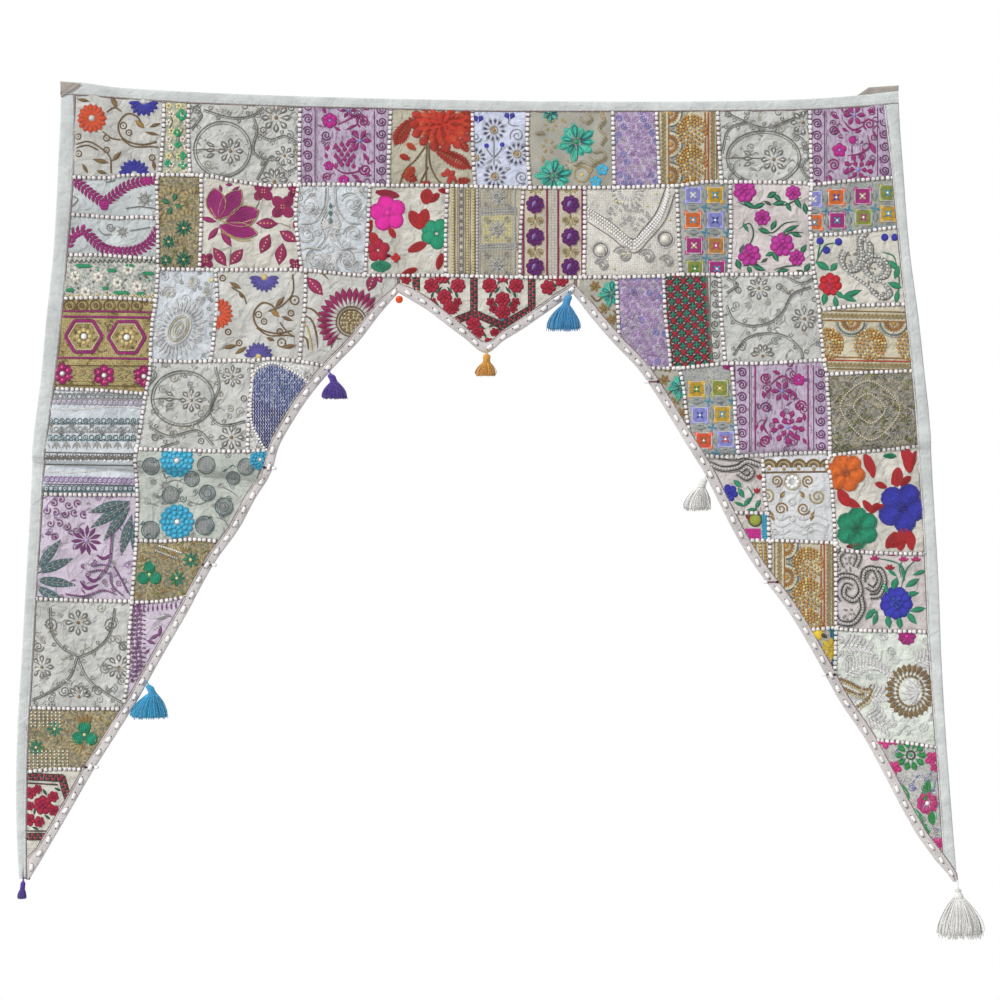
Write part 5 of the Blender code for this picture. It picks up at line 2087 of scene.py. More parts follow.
@art("peony")
def peony(work):
    for x, y, radius in ((13, -24, 22), (-6, -28, 12), (34, -28, 12)):
        work.dot(x, y, radius, "flame", height=0.4, sides=24, rim=0.8, glow=1.0)
    for ring_radius, count, length, width, colour in (
        (0.52, 15, 15, 11, "flame"), (0.34, 12, 13, 9, "orange"), (0.14, 8, 11, 8, "flame"),
        (0.02, 5, 8, 6, "red"),
    ):
        for k in range(count):
            turn = 2 * math.pi * (k + 0.5 * (count % 2)) / count
            x, y = 13 + 42 * ring_radius * math.cos(turn), -26 + 30 * ring_radius * math.sin(turn)
            angle = math.degrees(turn)
            work.petal(x, y, angle, length, width, colour, full=0.62, rim=0.5, height=1.0)
            for shift in (-14, 0, 14):
                work.petal(
                    x, y, angle + shift, length * 0.9, 0.9, "orange" if colour != "orange" else "red",
                    height=1.3,
                )
    feather(work, -20, -34, 122, 38, 15, "flame", "orange")
    feather(work, 2, 0, 27, 50, 15, "flame", "orange")
    feather(work, 30, -12, 58, 19, 8, "flame", "orange")
    feather(work, -33, 28, 20, 20, 9, "flame", "orange")
    feather(work, -30, 33, -45, 18, 9, "ember", "orange")
    cords(work, "bronze", 1.9, ((-4, -6), (-5, 14), (-5, 40)), ((-2, -6), (-1, 16), (6, 32), (14, 40)))
    cords(
        work, "bronze", 1.9, ((-6, -2), (-16, 12), (-28, 24), (-34, 40)), ((-3, 20), (-10, 34), (-12, 42)),
    )
    feather(work, -22, 12, 200, 12, 6, "flame", "orange")
    feather(work, -16, 2, 215, 12, 6, "ember", "orange")
    for angle in (200, 260, 320, 20, 80):
        work.petal(19, 30, angle, 9, 6, "flame", full=0.6)
    feather(work, 24, 36, -6, 19, 7, "flame", "orange")
    feather(work, 0, 36, 160, 14, 6, "flame", "orange")


def feather(work, x, y, angle, length, width, colour, vein):
    """A leaf made of slanted stitches on both sides of its rib, from its foot."""
    turn = math.radians(angle)
    along = np.array((math.cos(turn), math.sin(turn)))
    count = max(5, int(length / 3.4))
    for k in range(count):
        t = (k + 0.6) / count
        reach = width / 2 * math.sin(math.pi * min(1, t * 1.05)) ** 0.7 * 1.35
        spot = np.array((x, y)) + along * length * t * 0.92
        for side in (-1, 1):
            work.petal(*spot, angle + side * 48, max(2.5, reach * 1.2), 3.4, colour, full=0.5, rim=0.5)
            work.petal(*spot, angle + side * 48, max(2, reach), 0.8, vein, full=0.5, height=1.2)
    work.taper([(x, y), tuple(np.array((x, y)) + along * length)], 1.5, vein, height=1.2)


@art("blue_daisies")
def blue_daisies(work):
    for x, y, radius in ((-7, -20, 13), (18, 6, 13), (-6, 30, 13), (-27, 10, 11.5)):
        for k in range(12):
            angle = 30 * k + 8
            turn = math.radians(angle)
            foot = (x + radius * 0.4 * math.cos(turn), y + radius * 0.4 * math.sin(turn))
            work.petal(*foot, angle, radius * 0.62, radius * 0.32, "silver", full=0.66, height=0.5, rim=0.5)
            foot = (x + radius * 0.5 * math.cos(turn), y + radius * 0.5 * math.sin(turn))
            work.petal(*foot, angle, radius * 0.42, radius * 0.2, "indigo", full=0.66, height=1.0)
        work.ring(x, y, radius * 0.3, 1.6, "pale gold", height=0.9)
        work.dot(x, y, radius * 0.18, "gold", height=0.9)
    cords(
        work, "grey", 1.3, ((-7, -8), (-7, 4), (-7, 18)), ((-7, 10), (-14, 2), (-15, -3)),
        ((-7, 10), (0, 2), (2, -4)),
    )
    for x, y in ((-15, -3), (2, -4)):
        work.dot(x, y, 2.8, "royal", height=1.0)
    for x, y in ((-24, -32), (10, -35)):
        for side in (-1, 1):
            work.petal(x, y + 5, -90 + side * 28, 9.5, 6, "royal", full=0.7)
    work.spiral(18, -14, 8, 1.1, "grey", turns=1.6, start=150)
    work.spiral(23, 31, 7.5, 1.1, "grey", turns=1.6, start=60)
    work.spiral(-27, -12, 6.5, 1.1, "grey", turns=1.5, start=10)
    leaves(
        work, "silver", (-12, 14, 140, 8, 3), (-2, 14, 40, 8, 3), (-12, 20, 160, 7, 3), (8, 22, 10, 7, 3),
    )
    tapers(work, "grey", 1.0, ((8, -36), (10, -26), (20, -24)), ((26, -2), (28, -10), (26, -20)))


@art("mint_ribbons")
def mint_ribbons(work):
    for x, y, radius, tilted in ((6, -7, 21, 0), (-19, 30, 20, 18)):
        ribbon_flower(work, x, y, radius, "mint", "deep teal", tilted)
    ribbon_flower(work, -22, -37, 9, "mint", "deep teal", 0)
    for x, y in ((34, 23), (27, 36)):
        work.blossom(x, y, 6.5, "teal", petals=5, heart="pale gold")
    rings(work, "pale gold", 2.2, (12, 28, 8))
    for x, y, radius in ((-22, -25, 7.5), (-24, -2, 8.5), (-1, 18, 6)):
        for k in range(6):
            turn = math.pi * k / 3
            spot = (x + radius * 0.4 * math.cos(turn), y + radius * 0.4 * math.sin(turn))
            work.petal(*spot, 60 * k + 10, radius * 0.6, radius * 0.4, "pale gold", full=0.6)
    for path in (
        ((16, -40), (22, -34), (16, -28), (10, -34)),
        ((30, -42), (36, -32), (30, -22), (37, -14), (32, -4)),
        ((24, 4), (34, 2), (36, 10), (26, 14), (20, 10)), ((4, 18), (12, 14), (22, 18), (28, 12)),
        ((-38, -16), (-30, -18)),
    ):
        work.cord(path, 2.6, "sand", height=1.0)
        work.cord(np.array(path) + 1.5, 1.4, "pale gold", height=1.2)
    leaves(
        work, "pale gold", (34, -36, 100, 9, 4), (22, 24, 120, 8, 4), (-8, -30, 30, 8, 3.6),
        (-30, 12, 90, 7, 3.4),
    )


def ribbon_flower(work, x, y, radius, colour, dark, tilted):
    """Looped ribbon petals of uneven length, each with its own inner loop."""
    count = 11
    for k in range(count):
        angle = tilted + 360 * k / count
        turn = math.radians(angle)
        reach = radius * (0.84 + 0.16 * math.sin(2.7 * k))
        foot = (x + radius * 0.08 * math.cos(turn), y + radius * 0.08 * math.sin(turn))
        work.petal(*foot, angle, reach, radius * 0.42, colour, full=0.68, rim=0.55, height=0.9)
        loop = []
        for along, aside in (
            (0.25, 0), (0.55, 0.09), (0.86, 0.1), (0.93, 0), (0.86, -0.1), (0.55, -0.09), (0.25, 0),
        ):
            px = x + reach * (along * math.cos(turn) - aside * math.sin(turn) * 1.1)
            py = y + reach * (along * math.sin(turn) + aside * math.cos(turn) * 1.1)
            loop.append((px, py))
        work.band(smooth_path(loop, 1.2), 1.2, "pale mint" if k % 2 else dark, height=1.5, rim=0.7)
    work.dot(x, y, radius * 0.12, "leaf", height=1.6)


@art("lilac_swirl_top", "lilac_swirl_low")
def lilac_swirls(work):
    """Small spirals set close together in slightly uneven rows."""
    for row in range(-7, 8):
        for column in range(-4, 5):
            x = column * 8.6 + 4.3 * (row % 2) + work.chance.uniform(-1, 1)
            y = row * 7.6 + work.chance.uniform(-1, 1)
            colour = work.chance.choice(("lilac", "lilac", "pale lilac", "lavender"))
            work.spiral(
                x, y, 3.9, 1.4, colour, turns=1.7, start=work.chance.uniform(0, 360), height=0.6, rim=0.8,
            )
    for _ in range(26):
        x, y = work.chance.uniform(-34, 34), work.chance.uniform(-50, 50)
        bend = work.chance.uniform(-4, 4)
        work.taper(((x, y), (x + 5, y + bend), (x + 9, y - bend)), 1.4, "lilac", height=0.9)


def mango_border(work, start, pitch, repeats=4):
    """Beaded rails on both sides, half rounds on one, and a column of large beaded mangoes."""
    long = ((0, -62), (0, 62))
    for x, width, colour in (
        (-22.5, 1.5, "orange gold"), (17, 1.7, "orange gold"), (20.4, 1.7, "ember"), (-33, 1.2, "gold"),
        (29.5, 1.3, "gold"),
    ):
        cords(work, colour, width, [(x, y) for _, y in long])
    for y in np.arange(-60, 60, 4.4):
        for x in (-28, 25):
            work.ring(x, y, 2.1, 1.2, "pale gold", radius_y=1.9, height=0.9)
            work.dot(x, y, 0.9, "gold", height=0.9, sides=6)
    for k in range(repeats):
        y = start + pitch * k
        for step in range(11):
            angle = -85 + 17 * step
            turn = math.radians(angle)
            work.petal(
                -21.5 + 4 * math.cos(turn), y + 5 * math.sin(turn), angle, 6.5, 2.6, "orange gold",
                full=0.6,
            )
        work.dot(-20.5, y, 3.2, "gold")
        arc = arc_path(-21, y, 13, 14.5, -90, 90)
        work.band(arc, 1.7, "steel", height=0.8)
        work.band(arc_path(-21, y, 15.2, 16.6, -90, 90), 1.3, "silver", height=0.7, twist=0.2)
        mango(work, 0, y + pitch / 2)


def mango(work, x, y):
    """A mango shape filled with rows of gold beads."""
    for ring, (radius_x, radius_y, size) in enumerate(
        ((15.4, 16.0, 2.0), (11.8, 12.4, 2.0), (8.2, 8.8, 2.0), (4.6, 5.2, 2.0))
    ):
        count = int(2 * math.pi * (radius_x + radius_y) / 2 / (2 * size * 1.02))
        for k in range(count):
            turn = 2 * math.pi * (k + 0.5 * ring) / count
            pull = 1 + 0.16 * math.cos(turn - 0.9)
            colour = ("gold", "orange gold", "pale gold", "gold")[(k + ring) % 4]
            spot = (x + radius_x * pull * math.cos(turn) + 1.0, y + radius_y * pull * math.sin(turn))
            work.dot(*spot, size, colour, height=1.5, sides=7, rim=0.4, glow=1.35)
    work.dot(x + 1, y, 1.8, "pale gold", height=1.6)


@art("mango_border_top")
def mango_border_top(work):
    mango_border(work, start=-37.0, pitch=34)


@art("mango_border_side")
def mango_border_side(work):
    work.turn = math.pi / 2 + 0.02
    work.middle = work.middle + (0, 2)
    mango_border(work, start=-76.0, pitch=46)


@art("mango_border_low")
def mango_border_low(work):
    work.middle = work.middle + (2, 0)
    mango_border(work, start=-42.0, pitch=34)


# The second row, from left to right


def lens_garland(work, path, colour="magenta", pitch=6.2):
    """Pairs of slim leaves along an arched stem, with a flower at its turn."""
    smooth = smooth_path(path, 1.0)
    steps = np.concatenate([[0], np.cumsum(np.linalg.norm(np.diff(smooth, axis=0), axis=1))])
    work.band(smooth, 0.9, "plum", height=0.6)
    for place in np.arange(2, steps[-1], pitch * 0.78):
        spot = [np.interp(place, steps, smooth[:, k]) for k in (0, 1)]
        ahead = [np.interp(place + 1.5, steps, smooth[:, k]) - spot[k] for k in (0, 1)]
        angle = math.degrees(math.atan2(ahead[1], ahead[0]))
        for side in (-1, 1):
            work.petal(*spot, angle + side * 48, 8.4, 3.8, colour, full=0.5, rim=0.5)
        work.petal(*spot, angle, 5.5, 3.0, colour, full=0.5)


@art("zigzag_garland")
def zigzag_garland(work):
    lens_garland(work, ((-48, -20), (-38, -12), (-26, -2), (-12, 8)))
    lens_garland(work, ((-12, 8), (4, -4), (17, -12), (38, -17), (48, -17)))
    work.blossom(-11.5, 11, 5, "magenta", petals=5, heart="plum")
    work.blossom(34, -16, 4.5, "magenta", petals=5, heart="plum")
    grey_star(work, 32, 4, 9)
    cords(
        work, "pewter", 0.9, ((-48, 0), (-40, 4), (-46, 12)), ((12, 14), (26, 12), (44, 14)),
        ((-10, -14), (0, -16)),
    )


def grey_star(work, x, y, radius):
    for k in range(8):
        work.petal(x, y, 45 * k + 10, radius, radius * 0.34, "silver", full=0.5, height=0.7, rim=0.42)
    work.ring(x, y, radius * 0.45, 0.9, "pewter", height=0.8)


@art("round_garland")
def round_garland(work):
    lens_garland(
        work, ((-50, 12), (-44, -2), (-32, -8), (-22, 1), (-10, 11), (9, 15), (28, 12), (40, 4), (48, -8)),
    )
    grey_star(work, 10, -7, 7)
    work.spiral(-3, -12, 5, 1.0, "pewter")
    cords(
        work, "pewter", 0.9, ((-16, -10), (-10, -4), (-2, -4)), ((18, -8), (30, -10), (40, -12)),
        ((-50, -8), (-42, -12)),
    )
    for x, y in ((-32, -12), (6, 12), (-42, -3)):
        work.dot(x, y, 2.6, "magenta")


@art("cream_sprigs")
def cream_sprigs(work):
    for x, y in ((-37, -3), (-12, -2), (9, 4), (30, 8), (-26, 14), (20, -10)):
        sprig_flower(work, x, y, 6, "ivory", "pewter", petals=6)
    for x, y, length in (
        (-28, -14, 15), (3, -9, 9), (22, -14, 8), (42, -6, 11), (-43, 12, 9), (-4, 10, 6), (13, 15, 15),
        (34, 16, 8),
    ):
        for shift in (-0.3, 0, 0.3):
            leaf(work, x + shift * length, y, 8, length * 0.7, 4.6, "leaf", rim=0.6)
    for x in np.arange(-50, 50, 5):
        cords(work, "moss", 0.9, ((x, -21), (x + 2.5, -17.5), (x + 5, -21)))
        sprig_flower(work, x + 2, 20 - 2 * (x % 2), 2.6, "straw", "gold", petals=4)
    for _ in range(22):
        x, y = work.chance.uniform(-46, 44), work.chance.uniform(-12, 18)
        work.dot(x, y, 1.3, work.chance.choice(("bronze", "leaf", "moss")), height=0.8, sides=6)


@art("gold_rays")
def gold_rays(work):
    for x, y, radius, start, sweep in ((-8, -19, 17, 0, 360), (17, -21, 14, 90, 180)):
        count = int(sweep / 20)
        for k in range(count + 1):
            angle = start + 20 * k
            turn = math.radians(angle)
            foot = (x + radius * 0.55 * math.cos(turn), y + radius * 0.55 * math.sin(turn))
            work.petal(*foot, angle, radius * 0.56, 4.4, "pale gold", full=0.7, rim=0.5, height=1.1)
    for angle in (-70, 20, 110, 200):
        turn = math.radians(angle)
        work.petal(
            -7 + 2 * math.cos(turn), -19 + 2 * math.sin(turn), angle, 10, 6, "dark green", full=0.6,
            vein="leaf",
        )
    for x, y, radius in ((5, 7, 10), (-11, 22, 8), (5, 41, 10), (-14, 42, 7)):
        for k in range(12):
            work.petal(x, y, 30 * k, radius, 2.4, "dark green" if k % 2 else "green", full=0.55, rim=0.5)
        work.dot(x, y, 1.8, "pale gold")
    for _ in range(70):
        x, y = work.chance.uniform(-24, 24), work.chance.uniform(-48, 50)
        angle = work.chance.uniform(0, 180)
        leaf(
            work, x, y, angle, 6, 1.7, work.chance.choice(("pale gold", "olive", "gold", "straw")),
            height=0.8,
        )


@art("magenta_lotus")
def magenta_lotus(work):
    for x, y, angle, length, width in (
        (-34, -7, -96, 34, 21), (-33, -8, -52, 39, 20), (-25, -4, -20, 37, 22), (-33, 0, 11, 42, 17),
    ):
        filled_petal(work, x, y, angle, length, width, "magenta", "pale gold")
    leaves(
        work, "wine", (-44, -7, -165, 18, 6), (-39, 8, 130, 18, 7), (-25, 13, 58, 22, 8),
        (-31, -41, -105, 8, 4),
        (-15, -40, -35, 11, 4), (-22, -45, 0, 8, 4), vein="magenta",
    )
    beads_along(work, ((-42, -20), (-34, -8), (-22, -4), (-8, -4), (6, -8)), 1.0, "pale gold")
    beads_along(work, ((-30, 6), (-12, 15), (2, 15)), 1.0, "pale gold")
    beaded_leaves(
        work, "wine", (19, -3, 2, 24, 12), (17, 19, -65, 23, 13), (42, 11, 32, 22, 12),
        (34, 30, -80, 24, 13),
        (-32, 33, 55, 24, 12), (-14, 33, -50, 22, 12), (50, -1, 60, 10, 7),
    )
    for x, y, radius in ((15, -38, 12), (36, -21, 14), (49, -38, 9), (-47, 37, 9), (50, 42, 8)):
        for k in range(4):
            turn = math.radians(45 + 90 * k)
            filled_petal(work, x, y, 45 + 90 * k, radius, radius * 0.85, "wine")
            work.dot(x + 2 * math.cos(turn), y + 2 * math.sin(turn), 1.0, "pale gold", height=1.3, sides=6)
    tapers(
        work, "sand", 1.3, ((2, -14), (10, -26), (8, -34)), ((30, -4), (42, 0), (50, 4)),
        ((-22, 44), (-20, 24)),
    )


@art("white_damask")
def white_damask(work):
    light_curls(work, 60, 42, 48, ("chalk", "white", "silver"), radius=5.0)
    """Pale cords in a mirrored pattern of scrolls and fans."""
    for hand in (-1, 1):
        middle = -2
        for x, y, radius, start in (
            (23, -26, 12, 200), (25, 6, 9, 160), (16, 34, 10, 240), (30, 40, 8, 20),
        ):
            work.spiral(
                middle + hand * x, y, radius, 1.6, "chalk", turns=1.9, start=start, hand=hand, rim=0.62,
            )
            work.spiral(
                middle + hand * x, y, radius + 2.6, 1.1, "silver", turns=0.8, start=start + 20, hand=hand,
            )
        for path in (
            ((3, -46), (5, -24), (16, -8), (30, -6)), ((2, -20), (8, -6), (4, 8), (12, 20)),
            ((2, 16), (10, 22), (24, 20), (36, 26)), ((6, 44), (4, 34), (10, 26)),
            ((34, -46), (30, -40), (36, -34)),
        ):
            work.cord([(middle + hand * x, y) for x, y in path], 1.8, "chalk", rim=0.6)
            work.cord([(middle + hand * (x + 2.4), y + 1) for x, y in path], 1.0, "silver", rim=0.7)
        for angle in (20, 40, 60, 80):
            work.petal(middle, -2, 90 - hand * (angle + 60), 13, 3.4, "chalk", full=0.6, rim=0.6)
            work.petal(middle, 28, 90 + hand * angle, 11, 3.0, "chalk", full=0.6, rim=0.6)
    for y in (-28, -20, -12):
        work.petal(-2, y, 90, 7, 4, "steel", height=0.4)
    for x, y in ((-2, 4), (-2, 22), (-2, 40)):
        work.ring(x, y, 3.2, 1.1, "chalk")


@art("pink_peony")
def pink_peony(work):
    work.blossom(-20.5, -19, 20, "hot pink", petals=5, heart="hot pink", start=-100, rings=3)
    for k in range(5):
        work.petal(-20.5, -19, -64 + 72 * k, 11, 7, "hot pink", full=0.6)
    for angle in (-120, -75):
        filled_petal(work, 15, -2, angle, 22, 13, "red")
    filled_petal(work, 20, -29, -80, 16, 14, "red")
    filled_petal(work, 24, -31, -40, 14, 8, "red")
    work.blossom(32, 3, 17, "green", petals=5, start=-60, rings=3)
    work.blossom(24, -1, 8, "green", petals=4, rings=2)
    work.blossom(-31, 21, 13, "crimson", petals=5, start=-20, rings=2)
    filled_petal(work, -34, 14, -110, 12, 11, "red")
    work.blossom(-12, 29, 5, "red", petals=4, rings=1)
    for x, y, angle, length, width, colour in (
        (-17, 27, 180, 7, 4, "crimson"), (1, 22, -24, 22, 10, "red"), (38, 24, 105, 18, 8, "red"),
        (-19, -4, 62, 13, 7, "red"), (-38, -12, 105, 18, 7, "red"), (-28, 44, -90, 11, 22, "green"),
        (-6, 47, -20, 18, 7, "red"), (-34, -42, 10, 26, 9, "crimson"), (34, -44, 8, 10, 6, "red"),
    ):
        filled_petal(work, x, y, angle, length, width, colour)


@art("stripes_and_squares")
def stripes_and_squares(work):
    for x, colour, size in (
        (-33, "pale gold", 1.6), (-29, "sand", 1.2), (-22, "pewter", 1.0), (-17.5, "pale gold", 1.6),
        (-11, "pale gold", 1.6), (-7, "silver", 1.8),
    ):
        beads_along(work, ((x, -54), (x, 54)), size, colour)
    for x in (-31, -26.5, -19.5, -14.5, -9):
        cords(work, "bronze", 0.7, ((x, -54), (x, 54)), height=0.4)
    for y in range(-44, 48, 8):
        grey_star(work, -24.5, y, 2.6)
    for y, size in ((-22, 9), (16, 9)):
        for shift in (-3, 0, 3):
            work.cord(((-4, y + shift + 1), (16, y + shift), (36, y + shift - 1)), 2.3, "silver", twist=0.3)
    cords(work, "silver", 2.2, ((-4, -54), (-4, 54)), ((33.5, -54), (33.5, 54)), twist=0.3)
    work.middle = work.middle + (14.5, 0)
    for y, colour in ((-38, "sand"), (-3, "straw"), (35, "sand")):
        for k in range(9):
            cords(
                work, colour, 4.0, ((-16, y - 14 + 3.6 * k), (16, y - 14 + 3.6 * k)), height=0.25, rim=0.85,
                glow=1.0,
            )
        for k in range(8):
            work.petal(0, y, 45 * k, 11, 4.4, "silver", full=0.65, rim=0.5, height=1.2)
        work.spiral(0, y, 5, 1.5, "chalk", height=1.5)
        for hand_x in (-1, 1):
            for hand_y in (-1, 1):
                work.spiral(
                    hand_x * 11, y + hand_y * 10, 4, 1.2, "silver", hand=hand_x * hand_y, height=1.0,
                )


@art("purple_lattice")
def purple_lattice(work):
    for x in (-32, -6.5, 5.5, 31.5):
        cords(work, "wine", 2.2, ((x, -54), (x, 54)), height=0.9)
    for x in (-19.5, 18.6):
        for y in (-29.5, 5.5, 38):
            for k in range(8):
                turn = math.radians(45 * k + 10)
                spot = (x + 6.8 * math.cos(turn), y + 6.8 * math.sin(turn))
                work.dot(*spot, 3.5, "purple", height=0.9, sides=9, rim=0.6)
                work.ring(*spot, 2.9, 0.9, "magenta", height=1.2, rim=0.7)
            work.dot(x, y, 5.6, "purple", height=1.0)
            work.petal(x - 4, y + 4, -60, 9.5, 5.6, "lavender", full=0.6, height=1.3)
            work.petal(x - 3, y + 3, -60, 7.5, 3.6, "red", full=0.6, height=1.7)
            work.petal(x + 1, y + 4, -20, 5.5, 2, "purple", full=0.6, height=1.6)
        for y in (-12, 22, -47):
            for hand in (-1, 1):
                work.spiral(x + hand * 5.5, y, 4.6, 1.5, "pale gold", hand=hand, start=90)
                work.spiral(x + hand * 5.5, y, 2.2, 1.2, "gold", hand=hand, turns=1)
            leaf(work, x, y - 4, 90, 6, 2.6, "gold")
            leaf(work, x, y + 5, 90, 6, 2.6, "pale gold")
    for x in (-3.2, 0, 3.0):
        cords(work, "cream", 2.8, ((x, -54), (x, 54)), height=0.25, rim=0.95, glow=1.0)


@art("bead_bands")
def bead_bands(work):
    """Raised rows of pale beads in a V, buttons, and paisleys of fine cord below."""
    for shift in (-4, 0, 4):
        beads_along(
            work, ((-48, -20 + shift), (-24, -4 + shift), (0, 16 + shift)), 1.5,
            "chalk" if shift else "ivory",
        )
        beads_along(
            work, ((40, -44 + shift), (30, -16 + shift), (14, 4 + shift), (2, 16 + shift)), 1.5, "chalk",
        )
    for path in (
        ((-50, -26), (-24, -10), (0, 9), (10, 0), (26, -20), (36, -46)),
        ((-48, -10), (-24, 6), (1, 24), (18, 10), (36, -12), (46, -40)),
    ):
        work.cord(path, 1.0, "pewter", height=0.8)
    for x, y in ((-34, 21), (36, 9)):
        work.dot(x, y, 5.4, "ivory", height=3.0, sides=14, rim=0.6)
        work.ring(x, y, 7.4, 1.2, "pewter")
        work.ring(x, y, 9.4, 1.4, "chalk")
    for x, y, radius in ((-9, 27, 12), (17, 29, 10.5), (-32, 38, 9), (38, 34, 9)):
        for k, share in enumerate((1, 0.74, 0.5)):
            work.spiral(
                x, y, radius * share, 1.3, "chalk" if k % 2 else "silver", turns=1.1, start=200, height=1.0,
            )
        work.petal(x, y - radius, -60, radius * 0.6, 3.4, "chalk")
    for k in range(11):
        angle = 18 * k
        turn = math.radians(angle)
        work.petal(
            -5 + 6 * math.cos(turn), -43 + 6 * math.sin(turn), angle, 6, 2.8, "chalk", full=0.6, rim=0.5,
        )
        work.petal(
            -5 + 13 * math.cos(turn), -43 + 13 * math.sin(turn), angle, 5, 2.0, "silver", full=0.6, rim=0.5,
        )
    for _ in range(60):
        x, y = work.chance.uniform(-30, 20), work.chance.uniform(-28, 0)
        work.ring(x, y, 1.5, 0.7, "chalk", height=0.6)
    for _ in range(12):
        x, y = work.chance.uniform(-46, 44), work.chance.uniform(-46, 48)
        work.dot(x, y, 1.6, "straw", height=1.3)


# Squares of satin stitch: place, colour and the colour of the drops in the middle
CHECKS_TALL = rows(
    "x y colour heart",
    (-12, -36.5, "lavender", "chalk"), (12, -36.5, "mustard", "teal"),
    (-12, -9.5, "tangerine", "teal"), (12, -9.5, "lavender", "cobalt"),
    (-11, 18, "magenta", "straw"), (13, 18, "orange gold", "hot pink"),
    (-10, 43, "olive", "grass"), (14, 43, "magenta", "teal"),
)
CHECKS_WIDE = rows(
    "x y colour heart",
    (-43, -10, "lavender", "chalk"), (-18.5, -12, "tangerine", "cobalt"),
    (10, -13.5, "magenta", "straw"), (37, -17, "olive", "teal"),
    (-42, 15, "tangerine", "teal"), (-17.5, 13, "magenta", "teal"),
    (11, 9.5, "olive", "hot pink"), (38, 5.5, "mustard", "teal"),
)
CHECKS_SMALL = rows(
    "x y colour heart",
    (-14, -20, "mustard", "grass"), (11, -21, "olive", "yellow"),
    (-10.5, 8, "lavender", "cobalt"), (13.5, 7, "mustard", "teal"),
    (-6.5, 35.5, "orange", "bronze"), (17, 34, "lavender", "orange"),
)


def satin_squares(work, table):
    for each in table:
        work.square(each.x, each.y, 16.5, each.colour, each.heart)
    for each in table:
        for shift_x, shift_y, angle in ((13, 0, 90), (0, 13.5, 0)):
            leaf(work, each.x + shift_x, each.y + shift_y, angle, 13, 5.6, "grey", height=0.8)
            work.ring(each.x + shift_x, each.y + shift_y, 2.6, 0.8, "steel")
        for k in range(4):
            work.petal(each.x + 13, each.y + 13.5, 90 * k + 10, 5.5, 2.2, "teal", height=1.0)


@art("check_squares")
def check_squares(work):
    satin_squares(work, CHECKS_TALL)


@art("check_wide")
def check_wide(work):
    satin_squares(work, CHECKS_WIDE)


@art("check_small")
def check_small(work):
    satin_squares(work, CHECKS_SMALL)
    filled_petal(work, 14, -44, 0, 16, 7, "magenta")


@art("pink_roses")
def pink_roses(work):
    for path in (
        ((-36, -30), (-20, -24), (-6, -30)), ((34, -34), (16, -26), (2, -28)),
        ((-34, 0), (-22, -6), (-18, 8), (-30, 30)),
        ((-12, -4), (2, 4), (16, -6), (30, -8)), ((-2, 6), (10, 10), (22, 4), (36, 4)),
        ((-30, 40), (-14, 38), (-8, 46)),
        ((4, 44), (20, 40), (34, 40)),
    ):
        work.taper(path, 1.6, "dark green")
    leaves(
        work, "dark green", (-22, -26, 30, 16, 6), (-12, -25, -20, 15, 6), (10, -28, -10, 15, 6),
        (20, -24, 60, 12, 5),
        (2, -37, -30, 12, 7), (8, -34, 40, 11, 6), (30, -28, 60, 15, 6), (38, -22, 80, 13, 6),
        (-26, -2, -120, 12, 4),
        (-6, 2, 20, 15, 6), (4, -4, 120, 12, 6), (22, 0, -25, 20, 5), (28, 6, 20, 14, 5),
        (-30, 22, 110, 12, 5),
        (-34, 38, 70, 12, 7), (-12, 42, 20, 16, 6), (-22, 44, 60, 9, 5), (6, 30, 60, 12, 6),
        (0, 27, 160, 11, 5),
        (14, 45, -10, 14, 5), (40, 42, -60, 12, 6), (36, 22, -60, 12, 6), vein="leaf",
    )
    leaves(
        work, "moss", (-2, -28, 30, 10, 4), (14, 8, -60, 10, 4), (-6, 34, -30, 9, 4), (33, 46, 20, 10, 4),
    )
    for x, y, radius in (
        (-27, -41, 12), (25, -39, 8), (-8, -12.5, 8.5), (13, 17, 12.5), (-22, 28, 12), (29, 31, 8.5),
    ):
        rose(work, x, y, radius, "orchid", "magenta")


@art("silver_spray")
def silver_spray(work):
    for path in (
        ((-46, -6), (-40, -18), (-34, -26), (-22, -28)), ((-44, -10), (-42, -22), (-40, -30)),
        ((42, -4), (38, -14), (26, -18)), ((44, 24), (44, 8), (38, -6)),
    ):
        work.taper(path, 1.7, "green")
    for x, y in ((-41, -30), (-21, -29), (-34, -20), (29, -34), (40, -34)):
        work.dot(x, y, 4.2, "royal", height=1.1, sides=10)
        work.ring(x, y, 2.2, 0.8, "cobalt", height=1.3)
    for path in (
        ((-14, -20), (-18, -10), (-12, 2), (-2, 0), (4, -14), (2, -30), (8, -40)),
        ((2, -34), (12, -28), (12, -16), (4, -8)),
        ((-8, 6), (4, 14), (14, 22), (24, 32), (34, 26), (28, 16), (16, 10), (8, 0)),
        ((26, 0), (22, -8), (12, -8), (8, 2), (16, 10), (28, 8), (32, -2), (26, -12), (12, -14)),
    ):
        beads_along(work, path, 1.9, "silver")
        work.cord([(x + 3.4, y + 1.6) for x, y in path], 1.5, "pewter")
        beads_along(work, [(x - 3.2, y - 1.8) for x, y in path], 1.4, "grey")
    for _ in range(54):
        x, y = work.chance.choice(((-6, -10), (4, -24), (16, 20), (14, 0), (26, 26)))
        work.dot(
            x + work.chance.uniform(-6, 6), y + work.chance.uniform(-7, 7), 1.4, "pewter", height=0.9,
            sides=6,
        )
    rose(work, -30, 17, 12, "red", "pink")
    leaves(
        work, "green", (-38, -3, 30, 18, 8), (-26, -2, -50, 12, 7), (-7, 27, -20, 24, 7),
        (-10, 32, 20, 18, 6),
        (-36, 32, 100, 15, 7), (-24, 36, 80, 14, 6), (38, -4, 40, 17, 7), (42, 4, 110, 15, 7),
        (40, 18, 20, 18, 7),
        (42, 30, 100, 15, 6), (-20, 28, 40, 12, 6), vein="leaf",
    )


# The left leg, downwards


